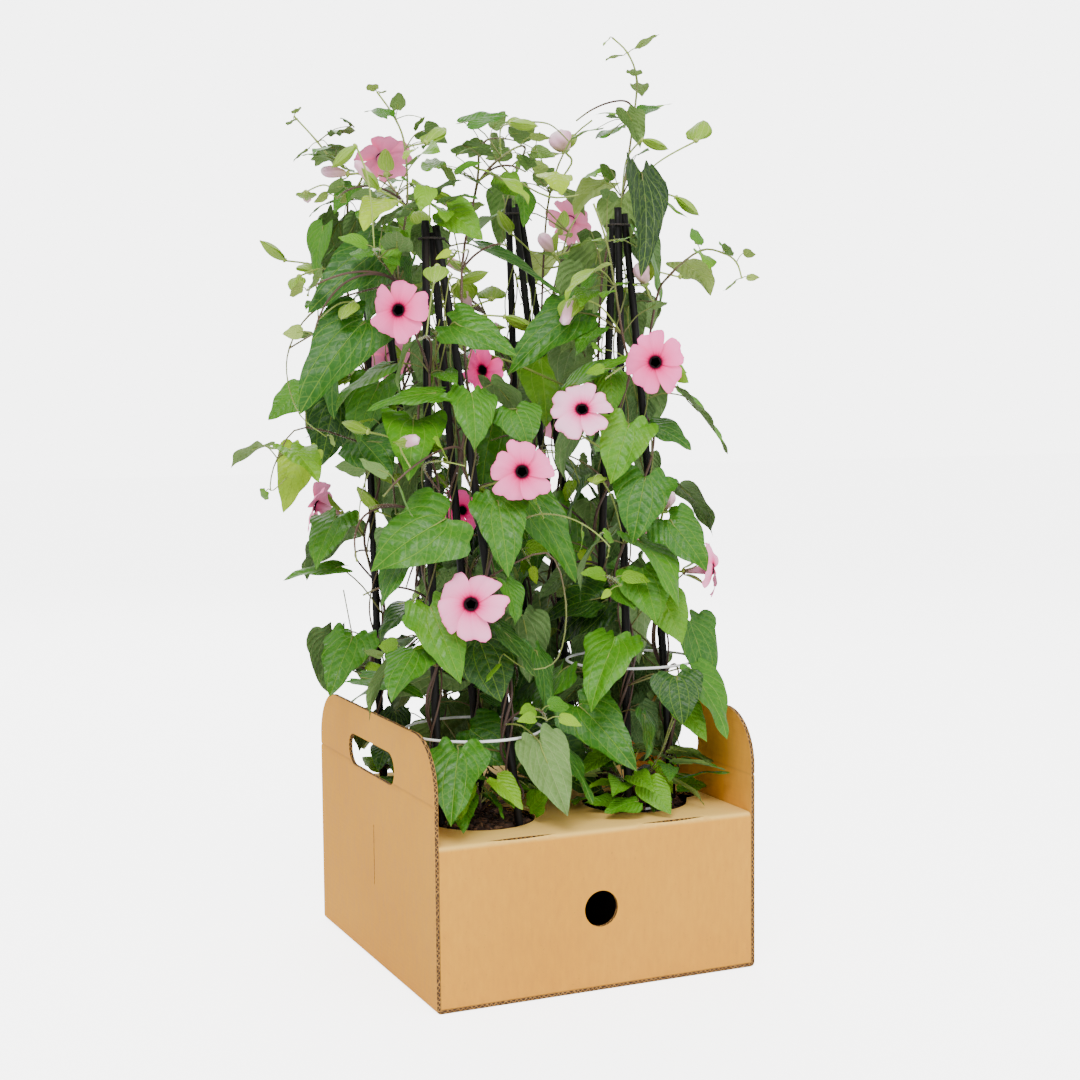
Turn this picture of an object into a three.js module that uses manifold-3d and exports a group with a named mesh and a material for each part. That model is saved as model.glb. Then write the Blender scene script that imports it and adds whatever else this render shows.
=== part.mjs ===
// Black eyed susan vine: four potted climbing plants on stick wigwams, in a cardboard carrying carton.
// Millimetres, +Z up. The carton stands on z = 0 with its base's middle at the origin, front towards -Y.
import * as THREE from "three";
import { mergeVertices } from "three/addons/utils/BufferGeometryUtils.js";
import Module from "manifold-3d";

const wasm = await Module();
wasm.setup();
const { Manifold, Mesh } = wasm;

// ---- Carton ----
const BOARD = 3; // corrugated board
const GAP = 0.3; // between pieces that touch
const WIDTH = 260;
const DEPTH = 268;
const SHELF = 120; // top of the shelf that hides the pots
const SIDE_TOP = 196; // top of the handle panels
const CORNER = 40; // their rounded upper corners
const CREASE = 149; // fold line across a handle panel
const GROOVE = { width: 3.2, depth: 0.7 }; // that the fold line leaves in the outer face
const HANDLE = { y: 4, z: 159.5, length: 108, height: 25 };
const FINGER_HOLE = { z: 61, radius: 13.5 };
const POT_HOLE = 41; // radius of the shelf's holes
const SCALLOP_FROM = 48; // degrees: where the front right hole's round part starts and ends
const SCALLOP_TO = 318;
const SCALLOPS = [[38, -16, 42, -8], [60, -4, 56, 10], [50, 22, 38, 18]]; // pull and end of each curve
const LOCK_SLIT = { x: 62, length: 54, width: 1.8 };
const SIDE_SLIT = { z: 85, length: 46, width: 1.2 };

// ---- Pots, soil, sticks ----
const POT = {
  base: 42, neck: 55.5, rim: 58.6, wall: 1.3, floor: 1.5, lipHeight: 7.5, top: 116.6, y: 60, x: 65,
};
const SOIL = { edge: 104, crown: 122.5, play: 0.5, mound: [[43, 113], [28, 118.5]] };
const STICK = {
  foot: 3.2, tip: 2.8, bottom: 70, ring: 34, bundle: 4.1, bow: 10, bends: [60, 250], stagger: 4,
};
const SOCKET = 0.5; // play of a stick or a root crown in its hole
const SOCKET_SIDES = 5;
const SOCKET_CORNER = 1.24; // how much further out its corners lie than its flat sides
const ROUND = 10; // sides of a pot, its soil and a tie
const TIE = { radius: 9.5, wire: 0.9, below: 13 };
const WIRE_SIDES = 3; // of a tie and a hoop
const HOLE_STEPS = 8; // quarter steps of the carton's round holes: 16 sides

// ---- Plants ----
const STEM = { twine: 7.2, pitch: 108, turnSteps: 5, start: 152, thick: 2.2, thin: 1.5, leave: 0.8 };
const CROWN = { radius: 4, bottom: 92, over: 5, lean: 0.14 }; // the thick foot of the stems, in the soil
const PLAIN_TAIL = [[10, 26], [20, 58], [31, 88], [48, 112]]; // how a stem's free end goes out and up
const BLADE = 0.9; // thickness of leaves and petals
const STALK = 0.85; // half width of a leaf stalk
const ROOT = 0.3; // and of its end inside the stem
const CLEAR = 0.9; // free space that a leaf keeps round itself
const LEAST = 36; // shorter leaves of the random pairs are left out
const PAIR = { // between which limits the leaves of a pair are drawn, in degrees, mm and shares
  swing: [35, 95], rise: [0, 40], reach: [22, 48], long: [54, 82],
  wide: [0.72, 0.95], dip: [18, 62], lean: [-25, 25], droop: [0.4, 0.9],
};
const PAIR_TRIES = 7; // each turns the leaf by this much more, to one side and the other, and shrinks it
const PAIR_SWING = 14;
const PAIR_SHRINK = 0.035;
const HOOP_LEAF = { length: 58, width: 48, reach: 9, dip: 3 }; // a leaf whose stalk carries a hoop
const TUBE = { length: 22, throat: 4.6, waist: 2.6, seat: 6.4, seatHeight: 3 }; // of a corolla
const SWINGS = [0, 8, -8, 16, -16, 24, -24, 32, -32, 40, -40]; // degrees round a hoop, until a leaf fits
const SHIFTS = [0, 9, -9, 18, -18, 28, -28, 38]; // mm nearer or further, until a placed leaf fits
const NUDGES = [0, 7, -7, 14, -14, 21, -21, 28]; // and until a bloom fits
const SEED = 20240;

// ---- Colours ----
const COLOUR = {
  cradle: 0xd9ae76, cover: 0xdcb27a, pot: 0x1b1b1d, soil: 0x4a3123, stick: 0x1d1714, tie: 0x2a2320,
  hoop: 0xf0f0ec, vine: 0x4f8a2b, bloom: 0xf2a0c0,
};

// ---- Vectors, as [x, y, z] ----
const add = (a, b, k = 1) => [a[0] + b[0] * k, a[1] + b[1] * k, a[2] + b[2] * k];
const sub = (a, b) => add(a, b, -1);
const dot = (a, b) => a[0] * b[0] + a[1] * b[1] + a[2] * b[2];
const cross = (a, b) => [
  a[1] * b[2] - a[2] * b[1],
  a[2] * b[0] - a[0] * b[2],
  a[0] * b[1] - a[1] * b[0],
];
const size = (a) => Math.sqrt(dot(a, a));
const unit = (a) => add([0, 0, 0], a, 1 / Math.max(size(a), 1e-9));
const across = (a, normal) => unit(add(a, normal, -dot(a, normal))); // the part of a square to a unit normal
const polar = (turn, rise = 0) => [
  Math.cos(rise) * Math.cos(turn),
  Math.cos(rise) * Math.sin(turn),
  Math.sin(rise),
];
const rad = (degrees) => (degrees * Math.PI) / 180;

// Places on the plants are measured as seen from the carton's front left corner:
// [to the right, towards the viewer, up].
const CORNER_VIEW = rad(23.9);
const seen = ([right, near, up]) => [
  right * Math.cos(CORNER_VIEW) - near * Math.sin(CORNER_VIEW),
  -right * Math.sin(CORNER_VIEW) - near * Math.cos(CORNER_VIEW),
  up,
];

// The same seed gives the same plants.
function drawer(seed) {
  let state = seed;
  return (low, high) => {
    state = (state * 16807) % 2147483647;
    return low + ((high - low) * state) / 2147483647;
  };
}

const PLANTS = [
  { name: "front_left", pot: [-POT.x, -POT.y], top: seen([-67, 85, 566]), turns: [150, 30, 270] },
  { name: "front_right", pot: [POT.x, -POT.y], top: seen([74, 25, 580]), turns: [100, 335, 215] },
  { name: "back_left", pot: [-POT.x, POT.y], top: seen([-121, -30, 574]), turns: [185, 50, 300] },
  { name: "back_right", pot: [POT.x, POT.y], top: seen([-8, -75, 599]), turns: [200, 330, 80] },
];

// Free ends of some stems, after they leave their stick: plant, stick, points as seen.
const TAILS = {
  "front_left 0": [[-90, 100, 520], [-84, 84, 576], [-86, 66, 621], [-94, 50, 645], [-108, 45, 666]],
  "front_left 1": [
    [-44, 92, 530], [-33, 60, 596], [-30, 34, 628], [-8, 20, 606], [20, 10, 591], [44, 8, 592],
  ],
  "front_right 1": [
    [102, 24, 508], [112, 46, 528], [134, 55, 545], [151, 55, 543], [161, 55, 536], [165, 55, 524],
  ],
  "front_right 2": [
    [62, 0, 530], [78, -10, 592], [88, -20, 653], [91, -25, 686], [84, -25, 706], [72, -25, 718],
  ],
  "back_left 0": [[-142, -26, 532], [-138, -18, 592], [-147, -14, 618], [-160, -10, 637], [-178, -10, 657]],
  "back_right 2": [[16, -50, 540], [22, -46, 600], [38, -45, 640], [56, -38, 656]],
};

// Side shoots and loops of stem: the plant, then points as seen; each starts on the nearest stem.
const SHOOT = { thick: 1.3, thin: 0.9 };
const SHOOTS = [
  [0, [[-132, 75, 512], [-157, 86, 498], [-173, 80, 474], [-176, 70, 450], [-168, 62, 424], [-150, 54, 408]]],
  [2, [[-165, 50, 415], [-186, 62, 392], [-191, 66, 368], [-178, 68, 378]]],
  [0, [[16, 100, 322], [30, 108, 286], [24, 112, 246], [3, 116, 238], [-16, 118, 250]]],
  [2, [[-136, -6, 236], [-146, -12, 284]]],
  [1, [[122, 40, 300], [138, 32, 308]]],
  [3, [[60, -110, 470], [86, -128, 500], [104, -138, 512]]],
  [2, [[-150, -70, 470], [-172, -92, 490], [-180, -110, 484]]],
  [3, [[70, -120, 260], [92, -134, 282]]],
  [0, [[-40, 92, 134], [-36, 104, 152]]],
  [1, [[92, 44, 142], [104, 56, 166], [112, 66, 190]]],
  [1, [[74, 46, 140], [66, 62, 158]]],
];

// Leaves that give the plants their look, as seen: stalk end, tip, width, [droop, turn of the face].
// The face points to the viewer and up unless `face` says otherwise.
const LEAVES = [
  [[-104, 78, 547], [-156, 98, 498], 50, 0.5],
  [[-116, 84, 493], [-162, 104, 425], 58, 0.7],
  [[-50, 120, 490], [-4, 132, 466], 38, 0.6],
  [[-62, 122, 440], [-112, 128, 428], 30, 0.5, [0, 0.5, 1]],
  [[-122, 60, 404], [-98, 82, 378], 46, 0.7],
  [[-56, 132, 350], [-110, 146, 314], 66, 0.5],
  [[-68, 128, 286], [-46, 144, 232], 46, 0.6],
  [[-146, 4, 303], [-190, 20, 296], 30, 0.4, [0, 0.3, 1]],
  [[-126, 46, 222], [-76, 82, 212], 32, 0.4, [0, 0.3, 1]],
  [[-140, 34, 206], [-96, 66, 180], 32, 0.5, [0, 0.5, 1]],
  [[-34, 104, 258], [-18, 116, 214], 52, 0.5],
  [[9, 108, 187], [30, 122, 134], 38, 0.3, [0.2, -0.9, -0.3]],
  [[40, 72, 204], [82, 98, 158], 50, 0.5],
  [[112, 52, 228], [116, 66, 194], 40, 0.6],
  [[124, 24, 176], [168, 30, 168], 34, 0.4, [0, 0.4, 1]],
  [[118, 64, 204], [136, 80, 176], 24, 0.4],
  [[92, 76, 144], [108, 90, 123], 26, 0.5],
  [[84, 72, 132], [58, 84, 125], 26, 0.4, [0, 0.3, 1]],
  [[78, 86, 416], [64, 98, 372], 46, 0.6],
  [[96, 68, 414], [125, 80, 396], 32, 0.6, [0, 0.5, 1]],
  [[90, 84, 376], [80, 96, 328], 50, 0.5],
  [[108, 60, 344], [136, 70, 306], 42, 0.6],
  [[-6, 102, 428], [4, 110, 400], 40, 0.7, [0, 0.6, 1]],
  [[40, 44, 500], [-12, 62, 452], 44, 0.7],
  [[36, 60, 444], [88, 84, 466], 34, 0.5, [-0.2, 0.6, 1]],
  [[-32, 40, 550], [30, 44, 512], 26, 0.3, [0, 0.3, 1]],
  [[90, 30, 604], [88, 56, 524], 38, 0.6, [0.6, 0.8, 0.2]],
  [[58, 12, 594], [94, 14, 606], 34, 0.5, [0, 0.6, 1]],
  [[-8, 80, 372], [38, 94, 298], 50, 0.7, [0.5, 0.8, 0.2]],
  [[-172, 14, 444], [-198, 22, 420], 30, 0.5],
  [[-170, 40, 396], [-184, 50, 350], 36, 0.4],
  [[104, 66, 284], [118, 78, 250], 34, 0.5],
  [[88, 72, 306], [98, 86, 268], 44, 0.6],
  [[-44, 98, 128], [-30, 112, 142], 20, 0.3],
  [[2, 96, 130], [16, 108, 146], 22, 0.4],
  [[-42, 106, 186], [-8, 116, 160], 48, 0.6],
  [[-54, 84, 572], [-28, 94, 550], 32, 0.6],
  [[86, -20, 656], [56, -20, 656], 12, 0.4, [0, 0.3, 1]],
  [[91, -20, 658], [120, -20, 667], 14, 0.4, [0, 0.3, 1]],
  [[-16, 40, 604], [-4, 52, 586], 24, 0.5],
];

// Open flowers as seen: throat, direction that the face looks in, diameter, first petal's turn.
const FLOWERS = [
  [[-88, 122, 499], [-0.25, 1, 0.1], 45, 80],
  [[-38, 150, 290], [0, 1, 0.45], 52, 60],
  [[-1, 126, 383], [0.05, 1, 0.12], 47, 20],
  [[43, 100, 427], [0.05, 1, 0.6], 46, 90],
  [[97, 98, 461], [-0.05, 1, 0.05], 46, 100],
  [[-31, 46, 457], [-0.6, 0.8, -0.2], 40, 0],
  [[-108, 10, 622], [-0.2, -0.7, 0.6], 46, 90],
  [[-48, 38, 350], [0.4, 0.8, 0.2], 34, 30],
  [[146, 26, 302], [1, 0.25, 0.1], 42, 50],
  [[40, -108, 586], [0.4, -0.8, 0.5], 42, 10],
  [[-112, -84, 470], [-0.5, -1, 0.2], 46, 40],
  [[30, -150, 420], [0.1, -1, 0.3], 46, 70],
  [[98, -112, 330], [0.6, -1, 0.2], 45, 15],
  [[-170, -40, 350], [-1, -0.3, 0.3], 44, 33],
];

// Buds as seen: tip, direction it points in, diameter, length.
const BUDS = [
  [[-156, -8, 613], [-1, 0.3, 0.1], 9, 20],
  [[28, -52, 650], [-0.4, 0.5, 0.8], 19, 17],
  [[14, -34, 566], [-0.5, 0.4, 0.8], 11, 18],
  [[88, 52, 536], [-0.3, 0.6, 0.8], 12, 18],
  [[112, 62, 364], [0.4, 0.4, 0.9], 9, 16],
  [[60, -130, 530], [0.3, -0.5, 0.8], 11, 18],
];

// White hoops: name, plant, height, radius. The upper ones lie on leaf stalks, the low one on the soil.
const HOOP_WIRE = 1.1;
const HOOP_SIDES = 18;
const HOOPS = [
  { name: "hoop_front_left", plant: "front_left", height: 188, radius: 52, rests: [15, 130, 250] },
  { name: "hoop_front_right", plant: "front_right", height: 232, radius: 50, rests: [40, 165, 290] },
  { name: "hoop_low_front_right", plant: "front_right", height: 119.9, radius: 28.3, rests: [] },
];

// ================= solids =================
const root = new THREE.Group();
root.name = "black_eyed_susan_vine";

function addGroup(name, [x, y, z] = [0, 0, 0]) {
  const group = new THREE.Group();
  group.name = name;
  group.position.set(x, y, z);
  root.add(group);
  return group;
}

const carton = addGroup("carton");
const beds = Object.fromEntries(
  PLANTS.map(({ name, pot }) => [name, addGroup(`wigwam_${name}`, [...pot, 0])]),
);

function solidFrom(points, triangles) {
  return new Manifold(
    new Mesh({
      numProp: 3,
      vertProperties: new Float32Array(points.flat()),
      triVerts: new Uint32Array(triangles.flat()),
    }),
  );
}

function solidOf(geometry) {
  const bare = new THREE.BufferGeometry().setAttribute("position", geometry.getAttribute("position"));
  if (geometry.index) bare.setIndex(geometry.index);
  const merged = mergeVertices(bare, 1e-3);
  const corners = merged.getAttribute("position");
  const points = [];
  for (let i = 0; i < corners.count; i++) points.push([corners.getX(i), corners.getY(i), corners.getZ(i)]);
  const triangles = [];
  for (let i = 0; i < merged.index.count; i += 3) {
    const [a, b, c] = [0, 1, 2].map((k) => merged.index.getX(i + k));
    if (a !== b && b !== c && a !== c) triangles.push([a, b, c]);
  }
  return solidFrom(points, triangles);
}

// A solid as a mesh of its own in a group. Its own origin is at `place`, as is its position.
function addPiece(name, group, place, solid, colour, roughness = 0.7) {
  const piece = new THREE.Mesh(
    geometryOf(solid).translate(-place[0], -place[1], -place[2]),
    new THREE.MeshStandardMaterial({ color: colour, roughness, flatShading: true }),
  );
  piece.geometry.computeVertexNormals();
  piece.name = name;
  piece.position.set(...place).sub(group.position);
  group.add(piece);
}

function geometryOf(solid) {
  const mesh = solid.getMesh();
  const geometry = new THREE.BufferGeometry();
  geometry.setAttribute("position", new THREE.BufferAttribute(mesh.vertProperties, 3));
  geometry.setIndex(new THREE.BufferAttribute(mesh.triVerts, 1));
  return geometry.toNonIndexed();
}

// Joined solids as one body: a scrap that comes loose is dropped and a sealed hollow is filled.
function oneBody(solids) {
  const joined = solidOf(geometryOf(Manifold.union(solids)));
  return joined.decompose().sort((a, b) => b.volume() - a.volume())[0];
}

const block = (x, y, z) =>
  solidOf(
    new THREE.BoxGeometry(x[1] - x[0], y[1] - y[0], z[1] - z[0]).translate(
      (x[0] + x[1]) / 2, (y[0] + y[1]) / 2, (z[0] + z[1]) / 2,
    ),
  );

// A closed profile of [radius, height] turned round a vertical axis.
function turned(profile, sides, x = 0, y = 0) {
  const lathe = new THREE.LatheGeometry(profile.map(([r, z]) => new THREE.Vector2(r, z)), sides);
  return solidOf(lathe.rotateX(Math.PI / 2).translate(x, y, 0));
}

// A tube of rings round a line of points; radius is a number or a function of the share of its length.
function tube(points, radius, sides, start = null) {
  const rings = [];
  let side = start;
  points.forEach((p, i) => {
    const ahead = unit(sub(points[Math.min(i + 1, points.length - 1)], points[Math.max(i - 1, 0)]));
    side = across(side ?? (Math.abs(ahead[2]) < 0.9 ? [0, 0, 1] : [1, 0, 0]), ahead);
    const up = cross(ahead, side);
    const r = typeof radius === "function" ? radius(i / (points.length - 1)) : radius;
    for (let k = 0; k < sides; k++) {
      const turn = (2 * Math.PI * k) / sides;
      rings.push(add(add(p, side, r * Math.cos(turn)), up, r * Math.sin(turn)));
    }
  });
  return solidFrom(rings, tubeFaces(points.length, sides));
}

function tubeFaces(rings, sides) {
  const faces = [];
  for (let i = 0; i + 1 < rings; i++)
    for (let k = 0; k < sides; k++) {
      const a = i * sides + k, b = i * sides + ((k + 1) % sides);
      faces.push([a, b, b + sides], [a, b + sides, a + sides]);
    }
  const last = (rings - 1) * sides;
  for (let k = 1; k + 1 < sides; k++) faces.push([0, k + 1, k], [last, last + k, last + k + 1]);
  return faces;
}

// ================= carton =================
function roundedPanel() {
  const shape = new THREE.Shape();
  const y = DEPTH / 2;
  shape.moveTo(-y, 0).lineTo(y, 0).lineTo(y, SIDE_TOP - CORNER);
  shape.absarc(y - CORNER, SIDE_TOP - CORNER, CORNER, 0, Math.PI / 2);
  shape.absarc(-y + CORNER, SIDE_TOP - CORNER, CORNER, Math.PI / 2, Math.PI);
  return shape;
}

function slot(middle, height, length, width) {
  const path = new THREE.Path();
  const [half, r] = [length / 2, width / 2];
  path.absarc(middle + half - r, height, r, -Math.PI / 2, Math.PI / 2);
  path.absarc(middle - half + r, height, r, Math.PI / 2, (3 * Math.PI) / 2);
  return path;
}

// A sheet drawn in a plane and given the board's thickness, from `start` along the third axis.
function sheet(shape, plane, start, arcSteps = 4) {
  const geometry = new THREE.ExtrudeGeometry(shape, {
    depth: BOARD, bevelEnabled: false, curveSegments: arcSteps,
  });
  const axes = { yz: [[0, 1, 0], [0, 0, 1], [1, 0, 0]], xz: [[-1, 0, 0], [0, 0, 1], [0, 1, 0]] }[plane]
    ?? [[1, 0, 0], [0, 1, 0], [0, 0, 1]];
  const basis = new THREE.Matrix4().makeBasis(...axes.map((a) => new THREE.Vector3(...a)));
  const shift = add([0, 0, 0], axes[2], start);
  return solidOf(geometry.applyMatrix4(basis).translate(...shift));
}

function sidePanel(x) {
  const shape = roundedPanel();
  shape.holes.push(slot(HANDLE.y, HANDLE.z, HANDLE.length, HANDLE.height));
  const [half, up] = [SIDE_SLIT.width / 2, SIDE_SLIT.length / 2];
  shape.holes.push(rectangle(-half, SIDE_SLIT.z - up, half, SIDE_SLIT.z + up));
  return sheet(shape, "yz", x);
}

function rectangle(x0, y0, x1, y1) {
  return new THREE.Path().moveTo(x0, y0).lineTo(x1, y0).lineTo(x1, y1).lineTo(x0, y1).closePath();
}

// Where a handle panel folds, a shallow groove runs across its outer face.
function creaseCut(side) {
  const [x, y] = [(side * WIDTH) / 2, DEPTH / 2 + 1];
  const [outside, half] = [x + side * 0.5, GROOVE.width / 2];
  const section = [[outside, CREASE + half], [outside, CREASE - half], [x - side * GROOVE.depth, CREASE]];
  const ends = [-y, y].flatMap((at) => section.map(([px, pz]) => [px, at, pz]));
  const faces = tubeFaces(2, 3).map((f) => (side > 0 ? f : [...f].reverse()));
  return solidFrom(ends, faces);
}

function makeCradle() {
  const x = WIDTH / 2;
  const folded = Manifold.union([
    block([-x, x], [-DEPTH / 2, DEPTH / 2], [0, BOARD]),
    sidePanel(-x),
    sidePanel(x - BOARD),
  ]);
  const creased = folded.subtract(creaseCut(1)).subtract(creaseCut(-1));
  addPiece("carton_cradle", carton, [0, 0, 0], creased, COLOUR.cradle, 0.85);
}

// The front right hole has a scalloped right edge, from an arched cutting line.
function potHole([x, y]) {
  const path = new THREE.Path();
  if (x > 0 && y < 0) {
    path.absarc(x, y, POT_HOLE, rad(SCALLOP_FROM), rad(SCALLOP_TO));
    for (const [px, py, ex, ey] of SCALLOPS) path.quadraticCurveTo(x + px, y + py, x + ex, y + ey);
  } else path.absarc(x, y, POT_HOLE, 0, 2 * Math.PI);
  return path;
}

function makeCover() {
  const [x, y] = [WIDTH / 2 - BOARD - GAP, DEPTH / 2];
  const shelf = new THREE.Shape();
  shelf.moveTo(-x, -y).lineTo(x, -y).lineTo(x, y).lineTo(-x, y).closePath();
  for (const plant of PLANTS) shelf.holes.push(potHole(plant.pot));
  const wall = new THREE.Shape();
  wall.moveTo(-x, BOARD + GAP).lineTo(x, BOARD + GAP).lineTo(x, SHELF).lineTo(-x, SHELF).closePath();
  wall.holes.push(new THREE.Path().absarc(0, FINGER_HOLE.z, FINGER_HOLE.radius, 0, 2 * Math.PI));
  const folded = Manifold.union([
    sheet(shelf, "xy", SHELF - BOARD, HOLE_STEPS),
    sheet(wall, "xz", -y, HOLE_STEPS),
    sheet(wall, "xz", y - BOARD, HOLE_STEPS),
  ]);
  const slits = [-1, 1].flatMap((side) => [-1, 1].map((end) => lockSlit(side, end)));
  const place = [0, 0, BOARD + GAP];
  addPiece("carton_cover", carton, place, Manifold.difference([folded, ...slits]), COLOUR.cover, 0.85);
}

// A slit through the shelf, just behind the front or back wall, where the wall's tab locks in.
function lockSlit(side, end) {
  const middle = side * LOCK_SLIT.x, half = LOCK_SLIT.length / 2;
  const [from, to] = [DEPTH / 2 - BOARD, DEPTH / 2 - BOARD - LOCK_SLIT.width].map((y) => end * y);
  const deep = [Math.min(from, to), Math.max(from, to)];
  return block([middle - half, middle + half], deep, [SHELF - BOARD - 1, SHELF + 1]);
}

// ================= pots, soil, sticks =================
function makePot(plant) {
  const { base, neck, rim, wall, lipHeight, top } = POT;
  const floor = BOARD + GAP, inner = floor + POT.floor, shoulder = top - lipHeight;
  const profile = [
    [0, floor], [base, floor], [neck, shoulder - 1], [rim, shoulder], [rim, top], [rim - wall, top],
    [rim - wall, shoulder + wall + 0.1], [neck - wall, shoulder + 0.4], [base - wall, inner], [0, inner],
  ];
  const [name, place] = [`pot_${plant.name}`, [...plant.pot, floor]];
  addPiece(name, beds[plant.name], place, turned(profile, ROUND, ...plant.pot), COLOUR.pot, 0.5);
}

function makeSoil(plant) {
  const { base, neck, wall, lipHeight, top } = POT;
  const floor = BOARD + GAP + POT.floor + GAP;
  const slope = (neck - base) / (top - lipHeight - 1 - BOARD - GAP);
  const inside = (z) => base + slope * (z - BOARD - GAP) - wall - SOIL.play;
  const profile = [
    [0, floor], [inside(floor), floor], [inside(SOIL.edge), SOIL.edge], ...SOIL.mound, [0, SOIL.crown],
  ];
  const socket = (line, radius) => tube(line, (radius + SOCKET) * SOCKET_CORNER, SOCKET_SIDES);
  const holes = [0, 1, 2].map((i) =>
    socket([STICK.bottom - SOCKET, SOIL.crown + 20].map((z) => stickAt(plant, i, z)), STICK.foot));
  holes.push(socket([CROWN.bottom - SOCKET, SOIL.crown + 9].map((z) => [...plant.pot, z]), CROWN.radius));
  const plug = Manifold.difference([turned(profile, ROUND, ...plant.pot), ...holes]);
  addPiece(`soil_${plant.name}`, beds[plant.name], [...plant.pot, floor], plug, COLOUR.soil, 1);
}

// The middle of a plant's stick at a height: foot ring in the soil, tips in a bundle, a slight bow between.
function stickAt(plant, i, z) {
  const out = polar(seenTurn(plant.turns[i]));
  const share = (z - SHELF) / (plant.top[2] - SHELF);
  const axis = add([...plant.pot, 0], sub([plant.top[0], plant.top[1], 0], [...plant.pot, 0]), share);
  const spread = STICK.ring + (STICK.bundle - STICK.ring) * share;
  const bow = STICK.bow * share * (1 - share);
  return add([axis[0], axis[1], z], out, spread + (share > 0 ? bow : 0));
}

const seenTurn = (degrees) => {
  const [x, y] = seen([Math.cos(rad(degrees)), Math.sin(rad(degrees)), 0]);
  return Math.atan2(y, x);
};

function makeSticks(plant) {
  for (const i of [0, 1, 2]) {
    const bends = STICK.bends.map((z) => SHELF + z);
    const line = [STICK.bottom, ...bends, plant.top[2] - STICK.stagger * i].map((z) => stickAt(plant, i, z));
    const solid = tube(line, (s) => STICK.foot + (STICK.tip - STICK.foot) * s, 6);
    addPiece(`stick_${plant.name}_${i + 1}`, beds[plant.name], line[0], solid, COLOUR.stick, 0.6);
  }
}

const ring = ([x, y, z], radius, wire, sides) =>
  solidOf(new THREE.TorusGeometry(radius, wire, WIRE_SIDES, sides).translate(x, y, z));

function makeTie(plant) {
  const z = plant.top[2] - TIE.below;
  const heart = middle([0, 1, 2].map((i) => stickAt(plant, i, z)));
  const solid = ring(heart, TIE.radius, TIE.wire, ROUND);
  addPiece(`tie_${plant.name}`, beds[plant.name], heart, solid, COLOUR.tie, 0.8);
}

// ================= growth =================
const draw = drawer(SEED);
const stems = []; // {plant, line, thick, thin, nodes}
const crowd = { rods: [], faces: [] }; // what is in place: rods [from, to, radius, plant], triangles

function layTwiner(plant, i) {
  const line = [[...plant.pot, SOIL.crown + CROWN.over / 2]];
  const foot = stickAt(plant, i, STEM.start);
  const phase = Math.atan2(plant.pot[1] - foot[1], plant.pot[0] - foot[0]) + rad(draw(-40, 40));
  const leaning = (k) => plant.pot[k] * (1 - CROWN.lean) + foot[k] * CROWN.lean;
  line.push([leaning(0), leaning(1), SOIL.crown + 7]);
  const nodes = [];
  const step = STEM.pitch / STEM.turnSteps;
  const leave = SHELF + (plant.top[2] - SHELF) * STEM.leave;
  for (let j = 0; STEM.start + j * step < leave; j++) {
    const z = STEM.start + j * step;
    const turn = phase + (2 * Math.PI * j) / STEM.turnSteps;
    line.push(add(stickAt(plant, i, z), polar(turn), STEM.twine));
    if (j % 4 === i) nodes.push(line.length - 1);
  }
  const out = polar(seenTurn(plant.turns[i])), sideways = [-out[1], out[0], 0];
  const sway = draw(-0.5, 0.5), stretch = draw(0.85, 1.1);
  const tailFrom = (start) => TAILS[`${plant.name} ${i}`]?.map(seen)
    ?? PLAIN_TAIL.map(([far, up]) =>
      add(add(add(start, out, far), sideways, far * sway), [0, 0, 1], up * stretch));
  let tail = tailFrom(line[line.length - 1]);
  while (!clearOfSticks(line[line.length - 1], tail[0]) && line.length > 8) {
    line.pop();
    tail = tailFrom(line[line.length - 1]);
  }
  while (nodes[nodes.length - 1] >= line.length) nodes.pop();
  tail.forEach((p, k) => {
    line.push(p);
    if (k === 1 || k === 4) nodes.push(line.length - 1);
  });
  return { plant, line, thick: STEM.thick, thin: STEM.thin, nodes, free: line.length - tail.length };
}

const clearOfSticks = (a, b) =>
  crowd.rods.every(([p, q, r, owner]) => owner !== "stick" || lineGap(p, q, a, b) > r + STEM.thick + SOCKET);

// Points on a plant's stems, the nearest first; those less than `below` under p count as further away.
function nearestStem(plant, p, below) {
  const found = [];
  for (const stem of stems)
    if (!plant || stem.plant === plant)
      for (let k = 1; k < stem.line.length - 1; k++) {
        const q = stem.line[k];
        const rise = p[2] - q[2];
        found.push({ stem, at: q, reach: size(sub(p, q)) + Math.max(0, below - rise) * 1.5 });
      }
  return found.sort((a, b) => a.reach - b.reach);
}

// ---- Leaf blade: s runs along the mid rib from the stalk, t to either side ----
const LEAF_HALF = [[-0.13, 0.48], [0.05, 0.98], [0.3, 0.7], [0.68, 0.44]];
const PLAIN_HALF = [[-0.13, 0.55], [0.06, 0.97], [0.5, 0.58]];
const SMALL_HALF = [[0.08, 0.92], [0.6, 0.56]];
const PETAL_HALF = [[0.5, 0.8], [0.97, 0.62]];
const BRACT_HALF = [[0.45, 0.95]];

function bladePoint(leaf, s, t) {
  const bend = leaf.droop * Math.max(s, 0);
  const ahead = s > 0 ? Math.sin(bend) / leaf.droop : s;
  const drop = s > 0 ? (1 - Math.cos(bend)) / leaf.droop : 0;
  const side = cross(leaf.dir, leaf.face);
  const up = add(add([0, 0, 0], leaf.face, Math.cos(bend)), leaf.dir, Math.sin(bend));
  const half = (leaf.width / 2) * t;
  let p = add(leaf.base, leaf.dir, ahead * leaf.length);
  p = add(p, leaf.face, -drop * leaf.length);
  p = add(p, side, half);
  return { p: add(p, up, Math.abs(half) * leaf.fold + half * leaf.roll), up };
}

function bladeOutline(leaf) {
  const stalk = leaf.neck / (leaf.width / 2);
  const right = leaf.half.map(([s, t]) => [s, t]);
  const left = leaf.half.map(([s, t]) => [s, -t]).reverse();
  const tip = leaf.blunt ? [] : [[1, 0]];
  return [[0, stalk], ...right, ...tip, ...left, [0, -stalk]];
}

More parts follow.
